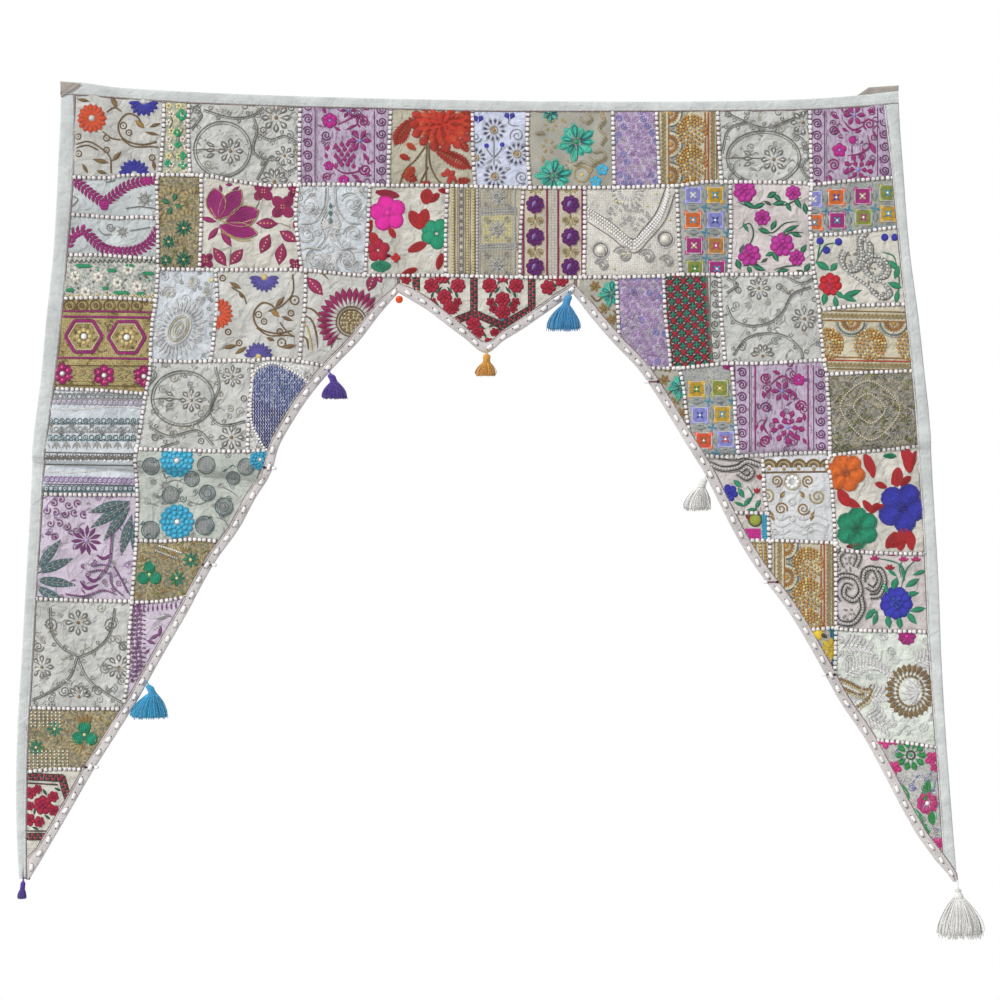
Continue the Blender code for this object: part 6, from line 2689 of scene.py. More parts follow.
@art("gold_hexagons")
def gold_hexagons(work):
    light_curls(work, 120, 58, 48, ("pale gold", "straw", "bronze"), radius=2.8)
    for x in (-36, -22.5, -8, 7, 22, 36.5):
        for radius, colour in ((6.2, "bronze"), (4, "pale gold"), (1.8, "bronze")):
            work.ring(x, -42, radius, 1.5, colour, height=0.8)
    for y, width in ((-36, 2.3), (-30, 2.6), (14.5, 2.4)):
        cords(work, "magenta", width, ((-60, y - 0.5), (0, y), (56, y + 1)), height=0.9)
    for x, y in ((-20.7, -9), (25.7, -8)):
        corners = [
            (x + 20 * math.cos(math.pi * k / 3), y + 19.5 * math.sin(math.pi * k / 3))
            for k in range(7)
        ]
        for first, second in zip(corners, corners[1:]):
            work.cord((first, second), 3.8, "magenta", height=1.0, twist=0.05)
            short = [(x + (px - x) * 0.84, y + (py - y) * 0.84) for px, py in (first, second)]
            beads_along(work, short, 0.9, "straw")
        for k in range(8):
            turn = math.pi * k / 4
            work.dot(x + 6.5 * math.cos(turn), y + 6.5 * math.sin(turn), 2.7, "pale gold", height=0.9)
            work.dot(
                x + 11 * math.cos(turn + 0.4), y + 11 * math.sin(turn + 0.4), 1.5, "bronze", height=0.8,
                sides=6,
            )
        work.dot(x, y, 3.6, "chalk", height=1.5, sides=10)
        work.ring(x, y, 4.4, 1.2, "bronze")
    for x, y in ((-44, 31), (1, 33), (44, 34)):
        for k in range(6):
            turn = math.pi * k / 3 + 0.5
            work.dot(x + 7.4 * math.cos(turn), y + 7.4 * math.sin(turn), 4.1, "wine", height=0.6, sides=9)
            work.ring(x + 7.4 * math.cos(turn), y + 7.4 * math.sin(turn), 3.9, 1.5, "magenta", height=1.1)
            work.dot(x + 6.8 * math.cos(turn), y + 6.8 * math.sin(turn), 1.6, "pink", height=1.0, sides=6)
        work.dot(x, y, 2.6, "chalk", height=1.2)
    for x in (-32, -23, -14, 16, 25, 33):
        for y, angle in ((26, 20), (32, -20), (38, 20)):
            leaf(work, x, y, angle, 9, 4, "pale gold", rim=0.35)
    cords(work, "bronze", 1.2, ((-60, 22), (56, 23)), ((-60, 43), (56, 45)))


def scallops(work, y, colour, radius=3.0, start=-64, end=64, slope=0.02):
    for x in np.arange(start, end, radius * 1.85):
        work.ring(x, y + slope * x, radius, 1.5, colour, height=0.9, rim=0.62)
        work.dot(x, y + slope * x, radius * 0.4, colour, height=0.6, sides=6)


def lace_row(work, y, colour="grey", start=-64, end=64, pitch=7.5, radius=2.8):
    for k, x in enumerate(np.arange(start, end, pitch)):
        work.ring(x, y, radius, 1.0, colour, height=0.7, rim=0.55)
        for angle in (200, 340):
            work.petal(x, y + 4, angle, pitch * 0.62, 1.7, colour, height=0.7)
        if k % 2:
            work.dot(x, y, 1.0, "steel", height=0.9, sides=6)


@art("lace_bands")
def lace_bands(work):
    cords(work, "silver", 1.2, ((-64, -53), (64, -51)), ((-64, -49), (64, -47)))
    lace_row(work, -51, "grey", pitch=5)
    scallops(work, -44.5, "pale lilac")
    for y in (-25, -16, -7):
        lace_row(work, y + 1, "silver" if y == -16 else "steel", pitch=6.4, radius=2.4)
    for k, x in enumerate(np.arange(-60, 60, 11)):
        for angle in (60, 90, 120):
            work.petal(x, -2, angle, 9, 2.6, "silver", height=0.8)
        grey_star(work, x + 5, -20 if k % 2 else -11, 3.6)
    # The leaves in this row are real, but their pewter and the pewter cords on both sides of them are
    # painted shade of the fold's crease across this patch.
    for x in np.arange(-62, 62, 8.5):
        for angle in (-150, -120, -90, -60, -30):
            work.petal(x, 19, angle, 7.6, 2.4, "pewter", height=0.9, rim=0.5)
        work.dot(x, 19, 1.5, "chalk", height=1.2)
    cords(work, "pewter", 1.4, ((-64, 10), (64, 12)), ((-64, 23), (64, 25)))
    cords(
        work, "chalk", 1.6, ((-64, -38), (-20, -36), (20, -39), (64, -37)),
        ((-64, 30), (-20, 32), (20, 29), (64, 32)), height=0.5, rim=0.85,
    )
    scallops(work, 40, "lilac", radius=2.8)
    cords(work, "mauve", 1.0, ((-64, 44), (64, 46)))
    lace_row(work, 49, "steel", pitch=5)


@art("palm_leaves")
def palm_leaves(work):
    light_curls(work, 60, 56, 56, ("lilac", "mauve", "silver"), radius=3.6)
    for x, y, angle, length in (
        (46, -50, 165, 46), (46, -48, 148, 50), (46, -44, 128, 46), (48, -36, 105, 46), (52, -30, 90, 40),
        (-56, 26, -52, 44), (-56, 28, -22, 44), (-58, 34, 8, 46), (-58, 40, 32, 44), (-54, 52, 60, 18),
    ):
        sequin_leaf(work, x, y, angle, length, 11)
    for k in range(11):
        angle = 360 * k / 11 + 12
        turn = math.radians(angle)
        work.petal(
            2 * math.cos(turn) - 1, 2 * math.sin(turn) - 8, angle, 14.5, 4.4, "mauve", full=0.6, rim=0.45,
            vein="plum",
        )
    work.dot(-1, -8, 2.6, "lilac", height=1.2)
    for x, y in (
        (-36, -48), (-28, -52), (-20, -46), (-34, -38), (-24, -36), (-14, -38), (-40, -26), (-30, -26),
        (-34, -12), (-10, -48), (-44, -40), (-22, -22), (-4, -36),
    ):
        work.spiral(x, y, 4.6, 1.4, "mauve", turns=1.3, start=work.chance.uniform(0, 360), rim=0.45)
        work.dot(x, y, 1.2, "plum", height=0.8, sides=6)
    for path in (
        ((10, 8), (18, 12), (26, 6)), ((-2, 30), (6, 36), (14, 32)), ((-8, 36), (0, 44), (12, 40)),
    ):
        work.taper(path, 4.0, "plum", rim=0.5)
    for path in (
        ((26, -18), (25, 0), (22, 18), (10, 34)), ((28, 20), (36, 34), (44, 50)),
        ((24, 26), (26, 40), (38, 52)),
        ((-24, 50), (-4, 52), (16, 46), (30, 50)), ((4, 20), (14, 18), (24, 20)),
        ((2, 26), (14, 24), (22, 28)),
    ):
        beads_along(work, path, 1.1, "mauve")
        work.cord([(x + 2, y + 1) for x, y in path], 0.9, "steel")


def sequin_leaf(work, x, y, angle, length, width):
    """A long teal leaf filled with small slanting stitches and pale specks."""
    turn = math.radians(angle)
    along = np.array((math.cos(turn), math.sin(turn)))
    work.petal(x, y, angle, length, width, "steel", full=0.5, height=0.5, rim=0.7)
    count = int(length / 3)
    for k in range(1, count):
        t = k / count
        reach = width * 0.46 * math.sin(math.pi * t)
        spot = np.array((x, y)) + along * length * t
        for side in (-1, 1):
            work.petal(
                *spot, angle + side * 42, reach * 1.25, 2.0, "steel" if k % 2 else "grey", height=1.2,
                rim=0.4,
            )
            if k % 2 == 0:
                tip = spot + reach * 0.7 * np.array(
                    (math.cos(turn + side * 0.8), math.sin(turn + side * 0.8))
                )
                work.dot(*tip, 0.8, "silver", height=1.5, sides=6)
    work.taper([(x, y), tuple(np.array((x, y)) + along * length)], 1.4, "silver", height=1.4)


def trefoil(work, x, y, size):
    for angle in (-90, 150, 30):
        turn = math.radians(angle)
        spot = (x + size * 0.55 * math.cos(turn), y + size * 0.55 * math.sin(turn))
        work.dot(*spot, size * 0.5, "green", height=0.9, sides=12)
        for share in (0.78, 0.5, 0.22):
            work.ring(*spot, size * 0.5 * share, 1.1, "dark green" if share < 0.6 else "leaf", height=1.2)
    work.dot(x, y, size * 0.14, "straw", height=1.5)


def gold_scatter(work, count, reach_x, reach_y, colours=("pale gold", "gold", "straw", "olive")):
    for _ in range(count):
        x, y = work.chance.uniform(-reach_x, reach_x), work.chance.uniform(-reach_y, reach_y)
        angle = work.chance.uniform(0, 180)
        leaf(work, x, y, angle, 6.5, 2.0, work.chance.choice(colours), height=0.8)


@art("trefoils")
def trefoils(work):
    gold_scatter(work, 90, 46, 32)
    trefoil(work, -20, 5, 14)
    for x, y in ((25, -11), (10, 9)):
        for k in range(8):
            work.petal(x, y, 45 * k, 9.5, 3.4, "green", full=0.6, rim=0.45)
        work.dot(x, y, 1.9, "straw", height=1.4)
    for x, y, angle in (
        (-6, -16, 0), (2, -20, 60), (12, -24, 20), (-32, -14, 60), (-8, 20, 30), (30, 4, 60),
    ):
        work.ring(x, y, 4.2, 1.2, "pale gold")
        leaf(work, x + 4, y + 2, angle, 9, 3.4, "gold")
    beads_along(work, ((-10, -26), (4, -22), (16, -18)), 1.2, "chalk")
    beads_along(work, ((-14, -21), (0, -16), (12, -12)), 1.2, "silver")


@art("trefoils_low")
def trefoils_low(work):
    gold_scatter(work, 70, 44, 32)
    for row in range(8):
        for column in range(10):
            x, y = -42 + column * 4.6, 12 + row * 3.6
            work.dot(x, y, 1.2, "ivory", height=1.0, sides=6)
    for row in range(5):
        for column in range(9):
            work.dot(-44 + column * 4.4, -30 + row * 3.6, 1.2, "ivory", height=1.0, sides=6)
    trefoil(work, 18, -6, 15)
    for angle in np.arange(100, 200, 20):
        work.petal(16, 2, angle + 10, 17, 3.4, "pale gold", full=0.6)
    for angle in (-60, -80, -100, -120):
        work.petal(18, -12, angle, 17, 3.6, "gold", full=0.6)
    for x, y in ((-14.5, -12), (-34.5, 8)):
        for k in range(8):
            work.petal(x, y, 45 * k, 9, 3.2, "green", full=0.6, rim=0.45)
        work.dot(x, y, 1.8, "straw", height=1.4)


@art("rose_hexagons_low")
def rose_hexagons_low(work):
    check_bar(work, (-24, -26), (20, -24))
    check_bar(work, (18, -26), (26, 2))
    check_bar(work, (-24, 39), (4, 39))
    cords(work, "umber", 1.6, ((-26, -19), (14, -17)), ((-24, 33), (4, 33)), ((-22, 62), (-8, 62)))
    rose(work, -2, 5, 10, "crimson", "magenta")
    for x, y, radius in (
        (-16, -8, 6.5), (-8, -12, 5), (9, -4, 6), (10, 11, 6), (-17, 21, 7), (-6, 23, 6), (-16, 6, 5),
    ):
        rose(work, x, y, radius, "crimson", "wine", petals=6)
    leaves(
        work, "dark green", (0, -9, 60, 9, 3), (14, -12, 20, 8, 3), (-11, 12, 100, 8, 3), (3, 18, 40, 8, 3),
        (-10, 30, 20, 8, 3),
    )


@art("mauve_fringe")
def mauve_fringe(work):
    for y in range(-20, 68, 5):
        for shift, angle in ((-8, 0), (-4, 30), (0, -20)):
            work.spiral(shift + work.chance.uniform(-1, 1), y, 2.6, 1.0, "mauve", start=angle * 9)
        work.petal(2, y, 10, 5, 1.6, "plum")
    for x in range(-6, 50, 5):
        work.petal(x, -15 - x * 0.12, 90, 8, 2.2, "mauve")
        work.ring(x, -18 - x * 0.14, 2.2, 1.0, "plum")
    leaves(
        work, "mauve", (16, 18, -30, 14, 4), (12, 24, 20, 11, 4), (22, 12, -80, 12, 4), (8, 34, -50, 8, 3),
    )
    leaves(work, "grey", (24, -2, -10, 12, 4), (30, -5, 20, 10, 3))
    cords(
        work, "chalk", 1.6, ((4, -4), (16, -2), (30, -6)), ((6, 6), (14, 10), (24, 4)), height=0.6, rim=0.8,
    )


@art("blue_knit")
def blue_knit(work):
    """A large shape filled with rows of small looped stitches, lighter above and darker below."""
    outline = np.array((
        (-24, -26), (-16, -38), (0, -42), (20, -33), (38, -18), (30, -4), (14, 16), (2, 34), (-8, 52),
        (-18, 38), (-26, 18),
    ), float)
    ends = np.roll(outline, -1, axis=0)
    for row in range(-24, 30):
        for column in range(-14, 18):
            x, y = column * 2.7 + 1.35 * (row % 2), row * 2.0
            if not are_inside([(x, y)], outline, ends)[0]:
                continue
            low = y > 6 + 0.5 * x
            chance = work.chance.random()
            if low:
                colour = "indigo" if chance < 0.7 else "cobalt"
            else:
                colour = "cobalt" if chance < 0.62 else "sky knit"
            work.petal(x, y, 55 if row % 2 else 125, 3.3, 1.9, colour, height=0.9, rim=0.55)
            if chance > (0.95 if low else 0.8):
                work.dot(x + 0.8, y + 0.6, 0.75, "chalk", height=1.4, sides=6)
    edge = np.vstack([outline, outline[:1]])
    beads_along(work, edge, 1.7, "chalk")
    for _ in range(26):
        x, y = work.chance.uniform(-30, 44), work.chance.uniform(-54, 54)
        if not are_inside([(x, y)], outline * 1.12, ends * 1.12)[0]:
            work.ring(x, y, 3.2, 1.3, "chalk", height=0.8)
            work.petal(x, y, work.chance.uniform(0, 360), 5, 2, "pewter", height=0.7)
    work.sequins(-14, 48, 7, petals=6)


@art("teal_circles")
def teal_circles(work):
    light_curls(work, 60, 70, 46, ("grey", "silver", "steel"), radius=4.0)
    for x, y, radius in (
        (-44, -31, 9), (16, -32, 9.5), (59, -30, 9), (0, -17, 8), (-23, 0, 9), (17, -2, 8.5), (35, 13, 9.5),
        (14, 33, 10), (-45, 38, 9.5), (45, -18, 7),
    ):
        for k in range(5):
            cords(
                work, "grey", 2.8,
                ((x - radius * 0.7, y - 5 + 2.5 * k), (x + radius * 0.7, y - 5 + 2.5 * k)), height=0.15,
                rim=0.95, glow=1.0,
            )
        work.ring(x, y, radius, 1.2, "steel", height=0.9, twist=0.2)
        work.ring(x, y, radius - 1.9, 0.8, "grey", height=0.7)
    for x, y, radius in ((-16, -37, 19), (-16, 29, 19.5), (74, -38, 12)):
        for ring_share, count in ((0.78, 14), (0.52, 10), (0.3, 7)):
            for k in range(count):
                turn = 2 * math.pi * (k + 0.5 * (count % 2)) / count
                spot = (x + radius * ring_share * math.cos(turn), y + radius * ring_share * math.sin(turn))
                work.dot(*spot, radius * 0.21, "teal", height=0.9, sides=9, rim=0.55)
                work.ring(*spot, radius * 0.13, 0.9, "teal", height=1.3, rim=0.8)
        work.dot(x, y, radius * 0.2, "teal", height=0.7)
        work.dot(x, y, radius * 0.16, "chalk", height=1.6, sides=10)
        work.ring(x, y, radius * 0.2, 1.2, "chalk", height=1.3)
    work.dot(35, 13, 2.6, "pewter", height=1.2)
    work.ring(35, 13, 5, 1.0, "steel")
    work.ring(17, -2, 4.4, 0.9, "steel")
    for path in (
        ((-30, -12), (-18, -16), (-8, -12)), ((-4, 6), (8, 10), (22, 4)), ((-50, 8), (-36, 12)),
        ((30, -10), (42, -4), (50, 2)), ((26, 24), (36, 28), (40, 36)),
    ):
        work.taper(path, 1.2, "grey")
    grey_star(work, -29, -10, 7)
    grey_star(work, -42, -14, 5)


@art("sun_oval")
def sun_oval(work):
    light_curls(work, 30, 34, 48, ("chalk", "white"), radius=5.0)
    tilt_of_oval = 0.5
    for radius_x, radius_y, colour, width in (
        (11, 17, "chalk", 2.4), (8.5, 14, "straw", 1.6), (6, 10.5, "chalk", 2), (3, 7, "straw", 1.6),
    ):
        ring = arc_path(0, 0, radius_x, radius_y, step=1.6)
        work.band(turned_path(ring, tilt_of_oval) + (-7, 15), width, colour, height=1.0, rim=0.66)
    for k in range(30):
        angle = 12 * k
        turn = math.radians(angle)
        foot = turned_path(
            np.array([[15 * math.cos(turn), 21 * math.sin(turn)]]), tilt_of_oval,
        )[0] + (-7, 15)
        out = math.degrees(math.atan2(foot[1] - 15, foot[0] + 7))
        work.petal(*foot, out, 13 if k % 2 else 10, 3.0, "chalk", full=0.6, rim=0.5, height=1.1)
        work.petal(*(foot * 0.9 + np.array((-7, 15)) * 0.1), out, 5, 2.2, "silver", full=0.6)
    for x, y, radius, hand in ((-17, -24, 9, 1), (8, -37, 9, -1), (25, -26, 6, 1)):
        for share in (1, 0.7):
            work.spiral(x, y, radius * share, 1.7, "chalk", turns=1.4, start=160, hand=hand, rim=0.6)
        work.petal(x - 3, y + 6, -70, 9, 3.4, "straw", full=0.6)
    for _ in range(34):
        x, y = work.chance.uniform(-32, 30), work.chance.uniform(-46, 46)
        if math.hypot(x + 7, (y - 15) * 0.8) > 31:
            work.ring(x, y, 1.7, 0.8, "silver", height=0.7)
    work.dot(28, -38, 3, "straw")


def turned_path(path, turn):
    cos, sin = math.cos(turn), math.sin(turn)
    return np.stack([path[:, 0] * cos - path[:, 1] * sin, path[:, 0] * sin + path[:, 1] * cos], 1)


@art("violet_daisies")
def violet_daisies(work):
    work.daisy(5, -41, 17, "violet", petals=10, start=4, sweep=172, heart="pale gold")
    work.daisy(-46, -2, 18, "orange", petals=10, start=-86, sweep=172)
    work.daisy(-1, 45, 16, "violet", petals=9, start=188, sweep=164, heart="pale gold")
    work.middle = work.middle + (-10, 10)
    bronze_scroll(work, 4, 2)
    work.middle = work.middle + (10, -10)
    cords(
        work, "bronze", 1.7, ((-30, -30), (-18, -22), (-14, -12)),
        ((36, -44), (36, -24), (24, -10), (10, -4)), ((38, 24), (30, 18), (22, 8)),
    )
    rings(
        work, "bronze", 1.5, (38, -16, 4.6), (22, 18, 3), (-34, 18, 3), (34, -2, 3), (-22, 30, 3),
        (24, 30, 4.4), (-40, -40, 3),
    )
    leaves(
        work, "bronze", (-26, -32, 30, 15, 5), (22, -14, 130, 15, 5.5), (-32, 34, -10, 16, 5),
        (-20, 38, -30, 15, 5), (32, 34, -10, 16, 5), (-20, -22, 60, 10, 4), (30, 4, 20, 14, 4),
        (12, 26, 20, 10, 4),
    )


@art("half_sunflower")
def half_sunflower(work):
    x, y = 14, 15
    for k in range(19):
        angle = 135 + 12 * k
        turn = math.radians(angle)
        foot = (x + 17 * math.cos(turn), y + 17 * math.sin(turn))
        work.petal(*foot, angle, 20, 6.4, "wine", full=0.66, rim=0.6, height=1.1)
        work.petal(x + 24 * math.cos(turn), y + 24 * math.sin(turn), angle, 9, 1.2, "magenta", height=1.5)
    for radius in (16, 13):
        work.ring(x, y, radius, 1.8, "bronze", height=1.0)
    for ring in (10.5, 7.5, 4.5, 1.8):
        count = max(4, int(ring * 2.4))
        for k in range(count):
            turn = 2 * math.pi * (k + 0.5 * (ring < 8)) / count
            work.dot(
                x + ring * math.cos(turn), y + ring * math.sin(turn), 1.5,
                "bronze" if k % 2 else "pale gold", height=1.3, sides=6,
            )
    beaded_leaves(
        work, "wine", (-25, -23, 48, 26, 13), (36, -27, -70, 20, 12), (30, -38, 20, 14, 8),
        (44, -32, 60, 12, 8),
    )
    for path in (
        ((-42, 0), (-28, 2), (-18, 14), (-16, 34)), ((-42, 8), (-30, 12), (-24, 26), (-22, 44)),
        ((-42, 30), (-34, 34), (-32, 46)), ((-40, -36), (-22, -40), (-10, -30)),
        ((-8, 44), (-4, 34), (4, 34)),
    ):
        work.taper(path, 2.4, "bronze")
    beads_along(work, ((-42, 16), (-34, 20), (-30, 34), (-28, 46)), 1.3, "pale gold")


# The middle drop and the right leg, downwards


def check_bar(work, start, end, width=7.0):
    """A border of two rows of small dark and red squares between dark lines."""
    start, end = np.array(start, float), np.array(end, float)
    run = end - start
    length = float(np.linalg.norm(run))
    run /= length
    side = np.array((-run[1], run[0]))
    for place in (-width / 2, width / 2):
        work.cord((start + side * place, end + side * place), 1.3, "umber", height=0.7)
    work.cord((start, end), 1.0, "umber", height=0.5)
    count = int(length / 3)
    for k in range(count):
        for row in (-0.25, 0.25):
            spot = start + run * (k + 0.5) * length / count + side * row * width
            colour = "crimson" if (k + (row > 0)) % 2 else "dark"
            work.dot(*spot, 2.0, colour, height=1.0, sides=4, rim=0.8)


@art("rose_hexagons")
def rose_hexagons(work):
    for start, end in (
        ((-77, -40), (-77, 0)), ((-14.6, -40), (-14.6, 9)), ((47.8, -40), (47.8, 6)),
        ((-14.6, 9), (-40, 19)), ((-14.6, 9), (15.8, 22)), ((47.8, 4), (15.8, 22)),
        ((15.8, 22), (15.8, 46)),
    ):
        check_bar(work, start, end)
    groups = (
        (-46.4, 0, ((-14, -21), (14.5, -21), (0, -9), (6, 3), (-2, -31))),
        (16.5, 0, ((-14, -21), (14.5, -21), (0, -6), (0, 8), (0, -32))),
    )
    for x, y, spots in groups:
        for dx, dy in spots:
            rose(work, x + dx, y + dy, 8.0, "crimson", "red", petals=7)
        for dx, dy in ((-13, -3), (14, -3), (-10, 4), (11, 4)):
            rose(work, x + dx, y + dy, 5.0, "crimson", "red", petals=5)
        for hand in (-1, 1):
            leaves(
                work, "dark green", (x + hand * 6, y - 16, 90 - hand * 40, 10, 3),
                (x + hand * 13, y - 11, 90 - hand * 20, 9, 3),
                (x + hand * 8, y - 1, 90 + hand * 40, 8, 2.6),
                (x + hand * 4, y - 25, 90 - hand * 30, 8, 2.6),
            )
            work.taper(((x, y + 12), (x + hand * 8, y + 4), (x + hand * 12, y - 8)), 1.1, "dark green")
        work.dot(x, y + 16, 2, "deep teal", height=1.1)
    for x, y, radius in (
        (65.5, -19, 7), (80, -27, 6.5), (70, -32, 5), (-15, 20, 7), (1, 41, 5.5), (-10, 30, 6),
        (8, 30, 4.5), (-88, -28, 5),
    ):
        rose(work, x, y, radius * 1.15, "crimson", "red", petals=6)
    for x, y, angle in ((72, -22, 40), (-6, 24, 30), (-2, 34, 70), (58, -30, 120), (5, 22, 150)):
        leaf(work, x, y, angle, 9, 3, "dark green")


@art("mango_border_apex", "mint_corner")
def mint_corner(work):
    ribbon_flower(work, 12, 6, 15, "mint", "deep teal", 10)
    for x, y in ((-6, -2), (4, 22), (-2, -16), (12, 34), (-14, -20)):
        for k in range(6):
            work.petal(x, y, 60 * k + 10, 6.5, 3.4, "gold", full=0.6)
        work.dot(x, y, 1.6, "bronze", height=1.2)
    for path in (
        ((-10, 8), (-4, 14), (2, 10)), ((2, -28), (10, -22), (18, -28)), ((14, 24), (20, 34), (18, 46)),
    ):
        work.cord(path, 2.0, "bronze")


@art("star_speckle")
def star_speckle(work):
    """Red and green four-pointed stars in a close, slightly tilted check."""
    work.turn = -0.1
    pitch = 7.4
    for row in range(-9, 10):
        for column in range(-6, 7):
            x, y = column * pitch, row * pitch * 0.94
            colour = "green" if (row + column) % 2 else "red"
            for k in range(4):
                shift = 45 if colour == "red" else 0
                work.petal(x, y, 90 * k + shift, pitch * 0.56, 2.8, colour, full=0.55, rim=0.6)
            work.dot(x, y, 1.3, colour, height=1.1, sides=6)
            for angle in (30, 120):
                turn = math.radians(angle)
                work.petal(
                    x + pitch * 0.5 * math.cos(turn), y + pitch * 0.5 * math.sin(turn), angle + 60, 2.6,
                    1.1, "chalk", height=0.9,
                )


@art("check_strip")
def check_strip(work):
    for k, y in enumerate(range(-48, 52, 11)):
        work.spiral(0, y, 4.6, 1.4, "pewter", turns=1.6, start=90 * k)
        work.petal(4, y + 5, 90, 6, 2.4, "silver")
    cords(work, "grey", 1.2, ((-5.5, -50), (-5.5, 50)))


@art("sage_fleck")
def sage_fleck(work):
    for _ in range(420):
        x, y = work.chance.uniform(-50, 52), work.chance.uniform(-44, 48)
        angle = work.chance.choice((20, 40, 60, 120, 150)) + work.chance.uniform(-12, 12)
        colour = work.chance.choice(("pale gold", "moss", "sand", "olive", "silver"))
        leaf(work, x, y, angle, work.chance.uniform(4, 7), 1.5, colour, height=0.8)
    light_curls(work, 90, 50, 44, ("sand", "silver", "olive", "pewter"), radius=4.6, height=0.9)
    for path in (
        ((-34, -6), (-4, -34), (30, -4), (-2, 30), (-34, -6)),
        ((-20, -6), (-4, -20), (14, -4), (-2, 12), (-20, -6)),
    ):
        beads_along(work, path, 1.3, "sand")


def paisley_cord(work, path, size=1.9):
    """A couched band of rings between two cords, as in a paisley's outline."""
    smooth = smooth_path(path, 1.4)
    runs = np.gradient(smooth, axis=0)
    runs /= np.maximum(np.linalg.norm(runs, axis=1), 1e-9)[:, None]
    sides = np.stack([-runs[:, 1], runs[:, 0]], 1)
    for shift in (-1, 1):
        work.band(smooth + sides * shift * size * 1.5, 1.1, "umber", height=0.8)
        work.band(smooth + sides * shift * size * 2.3, 1.0, "silver", height=0.7, twist=0.2)
    beads_along(work, smooth, size * 0.95, "silver", gap=1.05)


@art("silver_paisley")
def silver_paisley(work):
    for path in (
        ((-32, -20), (-16, -14), (0, -16), (10, -22), (24, -18)), ((-22, -28), (-6, -26), (10, -28)),
        ((0, -10), (10, -4), (16, -10), (10, -16), (4, -12)),
    ):
        paisley_cord(work, path, 1.6)
    rose(work, -9, 12, 9, "royal", "cobalt", petals=6)
    leaves(
        work, "green", (0, 2, 40, 12, 6), (4, 12, 60, 13, 6), (10, 22, 120, 12, 5), (22, 24, -60, 12, 5),
        (2, 24, 20, 12, 4), (16, 30, 0, 12, 4), vein="leaf",
    )
    tapers(work, "green", 1.5, ((4, 28), (14, 18), (20, 10)), ((10, 4), (16, 14), (12, 24)))
    for x, y in ((21, 9), (24, -6)):
        for angle in (-120, -90, -60):
            work.petal(x, y + 4, angle, 7, 3, "red")


@art("pink_olive")
def pink_olive(work):
    for k in range(7):
        cords(work, "hot pink", 3.2, ((-20, 2 + 3 * k), (4, 2 + 3 * k)), height=0.6, rim=0.75)
    for k in range(4):
        cords(work, "teal", 2.6, ((6 + 2.4 * k, -24), (7 + 2.4 * k, 24)), height=0.7, rim=0.7)
    work.dot(-2, -9, 7, "olive", height=0.9, sides=12)
    work.ring(-2, -9, 7, 1.4, "umber")
    leaf(work, -10, -12, 60, 10, 4, "crimson")


@art("gold_arches")
def gold_arches(work):
    for x in (-30, -14, 2, 18, 32):
        for radius, colour in ((8, "bronze"), (5.8, "pale gold"), (3.4, "bronze")):
            work.band(arc_path(x, -36, radius, radius, 180, 360), 2.2, colour, height=1.0)
        work.dot(x, -34, 2, "gold")
    cords(work, "bronze", 2.0, ((-34, -30), (34, -31)))
    for k in range(8):
        turn = math.pi * k / 4
        work.dot(-5 + 5.4 * math.cos(turn), -20 + 5.4 * math.sin(turn), 2.6, "chalk", height=1.0)
    work.ring(-5, -20, 8.6, 1.4, "straw")
    for hand in (-1, 1):
        x = -5
        work.spiral(x + hand * 17, -21, 6.5, 2.0, "gold", hand=hand, start=90)
        work.petal(x + hand * 8, -11, 90 - hand * 30, 10, 4.4, "gold", full=0.6)
        work.petal(x + hand * 8, -9, 90 - hand * 30, 6, 1.8, "straw", height=1.4)
        work.spiral(x + hand * 27, -4, 8.5, 2.2, "pale gold", hand=-hand, start=200)
        work.spiral(x + hand * 12, 9, 7, 1.9, "gold", hand=hand, start=20)
        work.petal(x + hand * 24, 10, 90 + hand * 20, 13, 4.4, "gold", full=0.6)
        for y in (20, 28, 36):
            work.cord(
                (
                    (x + hand * 2, y - 4), (x + hand * 12, y + 1), (x + hand * 24, y - 4),
                    (x + hand * 38, y + 1),
                ),
                1.7, "chalk", rim=0.66,
            )
    rings(work, "chalk", 1.2, (-5, 2, 3.6), (-5, 20, 3), (14, 32, 3), (-24, 34, 3))


@art("bright_garden")
def bright_garden(work):
    wavy_blossom(work, -35, -30, 22, "tangerine", 6, 10)
    wavy_blossom(work, 27, 8, 27, "royal", 5, -64)
    wavy_blossom(work, -22, 30, 24, "green", 6, -30)
    for x, y, angle, length, width in (
        (-14, -50, 66, 24, 11), (-9, -48, 80, 24, 8), (26, -54, 60, 22, 9), (32, -56, 84, 26, 12),
        (42, -54, 110, 20, 8),
        (16, -17, -60, 16, 10), (20, -15, -84, 20, 12), (10, -14, -160, 13, 7), (24, -16, -40, 15, 8),
        (-42, -12, 60, 20, 12),
        (-40, -4, 30, 24, 9), (-16, 0, 50, 16, 8), (-8, 14, -50, 14, 8), (-6, 10, -20, 14, 6),
        (30, 30, 60, 20, 10),
        (26, 30, 92, 24, 12), (20, 34, 120, 20, 10), (12, 50, -20, 20, 8), (34, 34, 80, 20, 9),
    ):
        filled_petal(work, x, y, angle, length, width, "red")
    filled_petal(work, 6, -48, 0, 14, 6, "green")
    filled_petal(work, -34, 50, -10, 16, 6, "crimson")


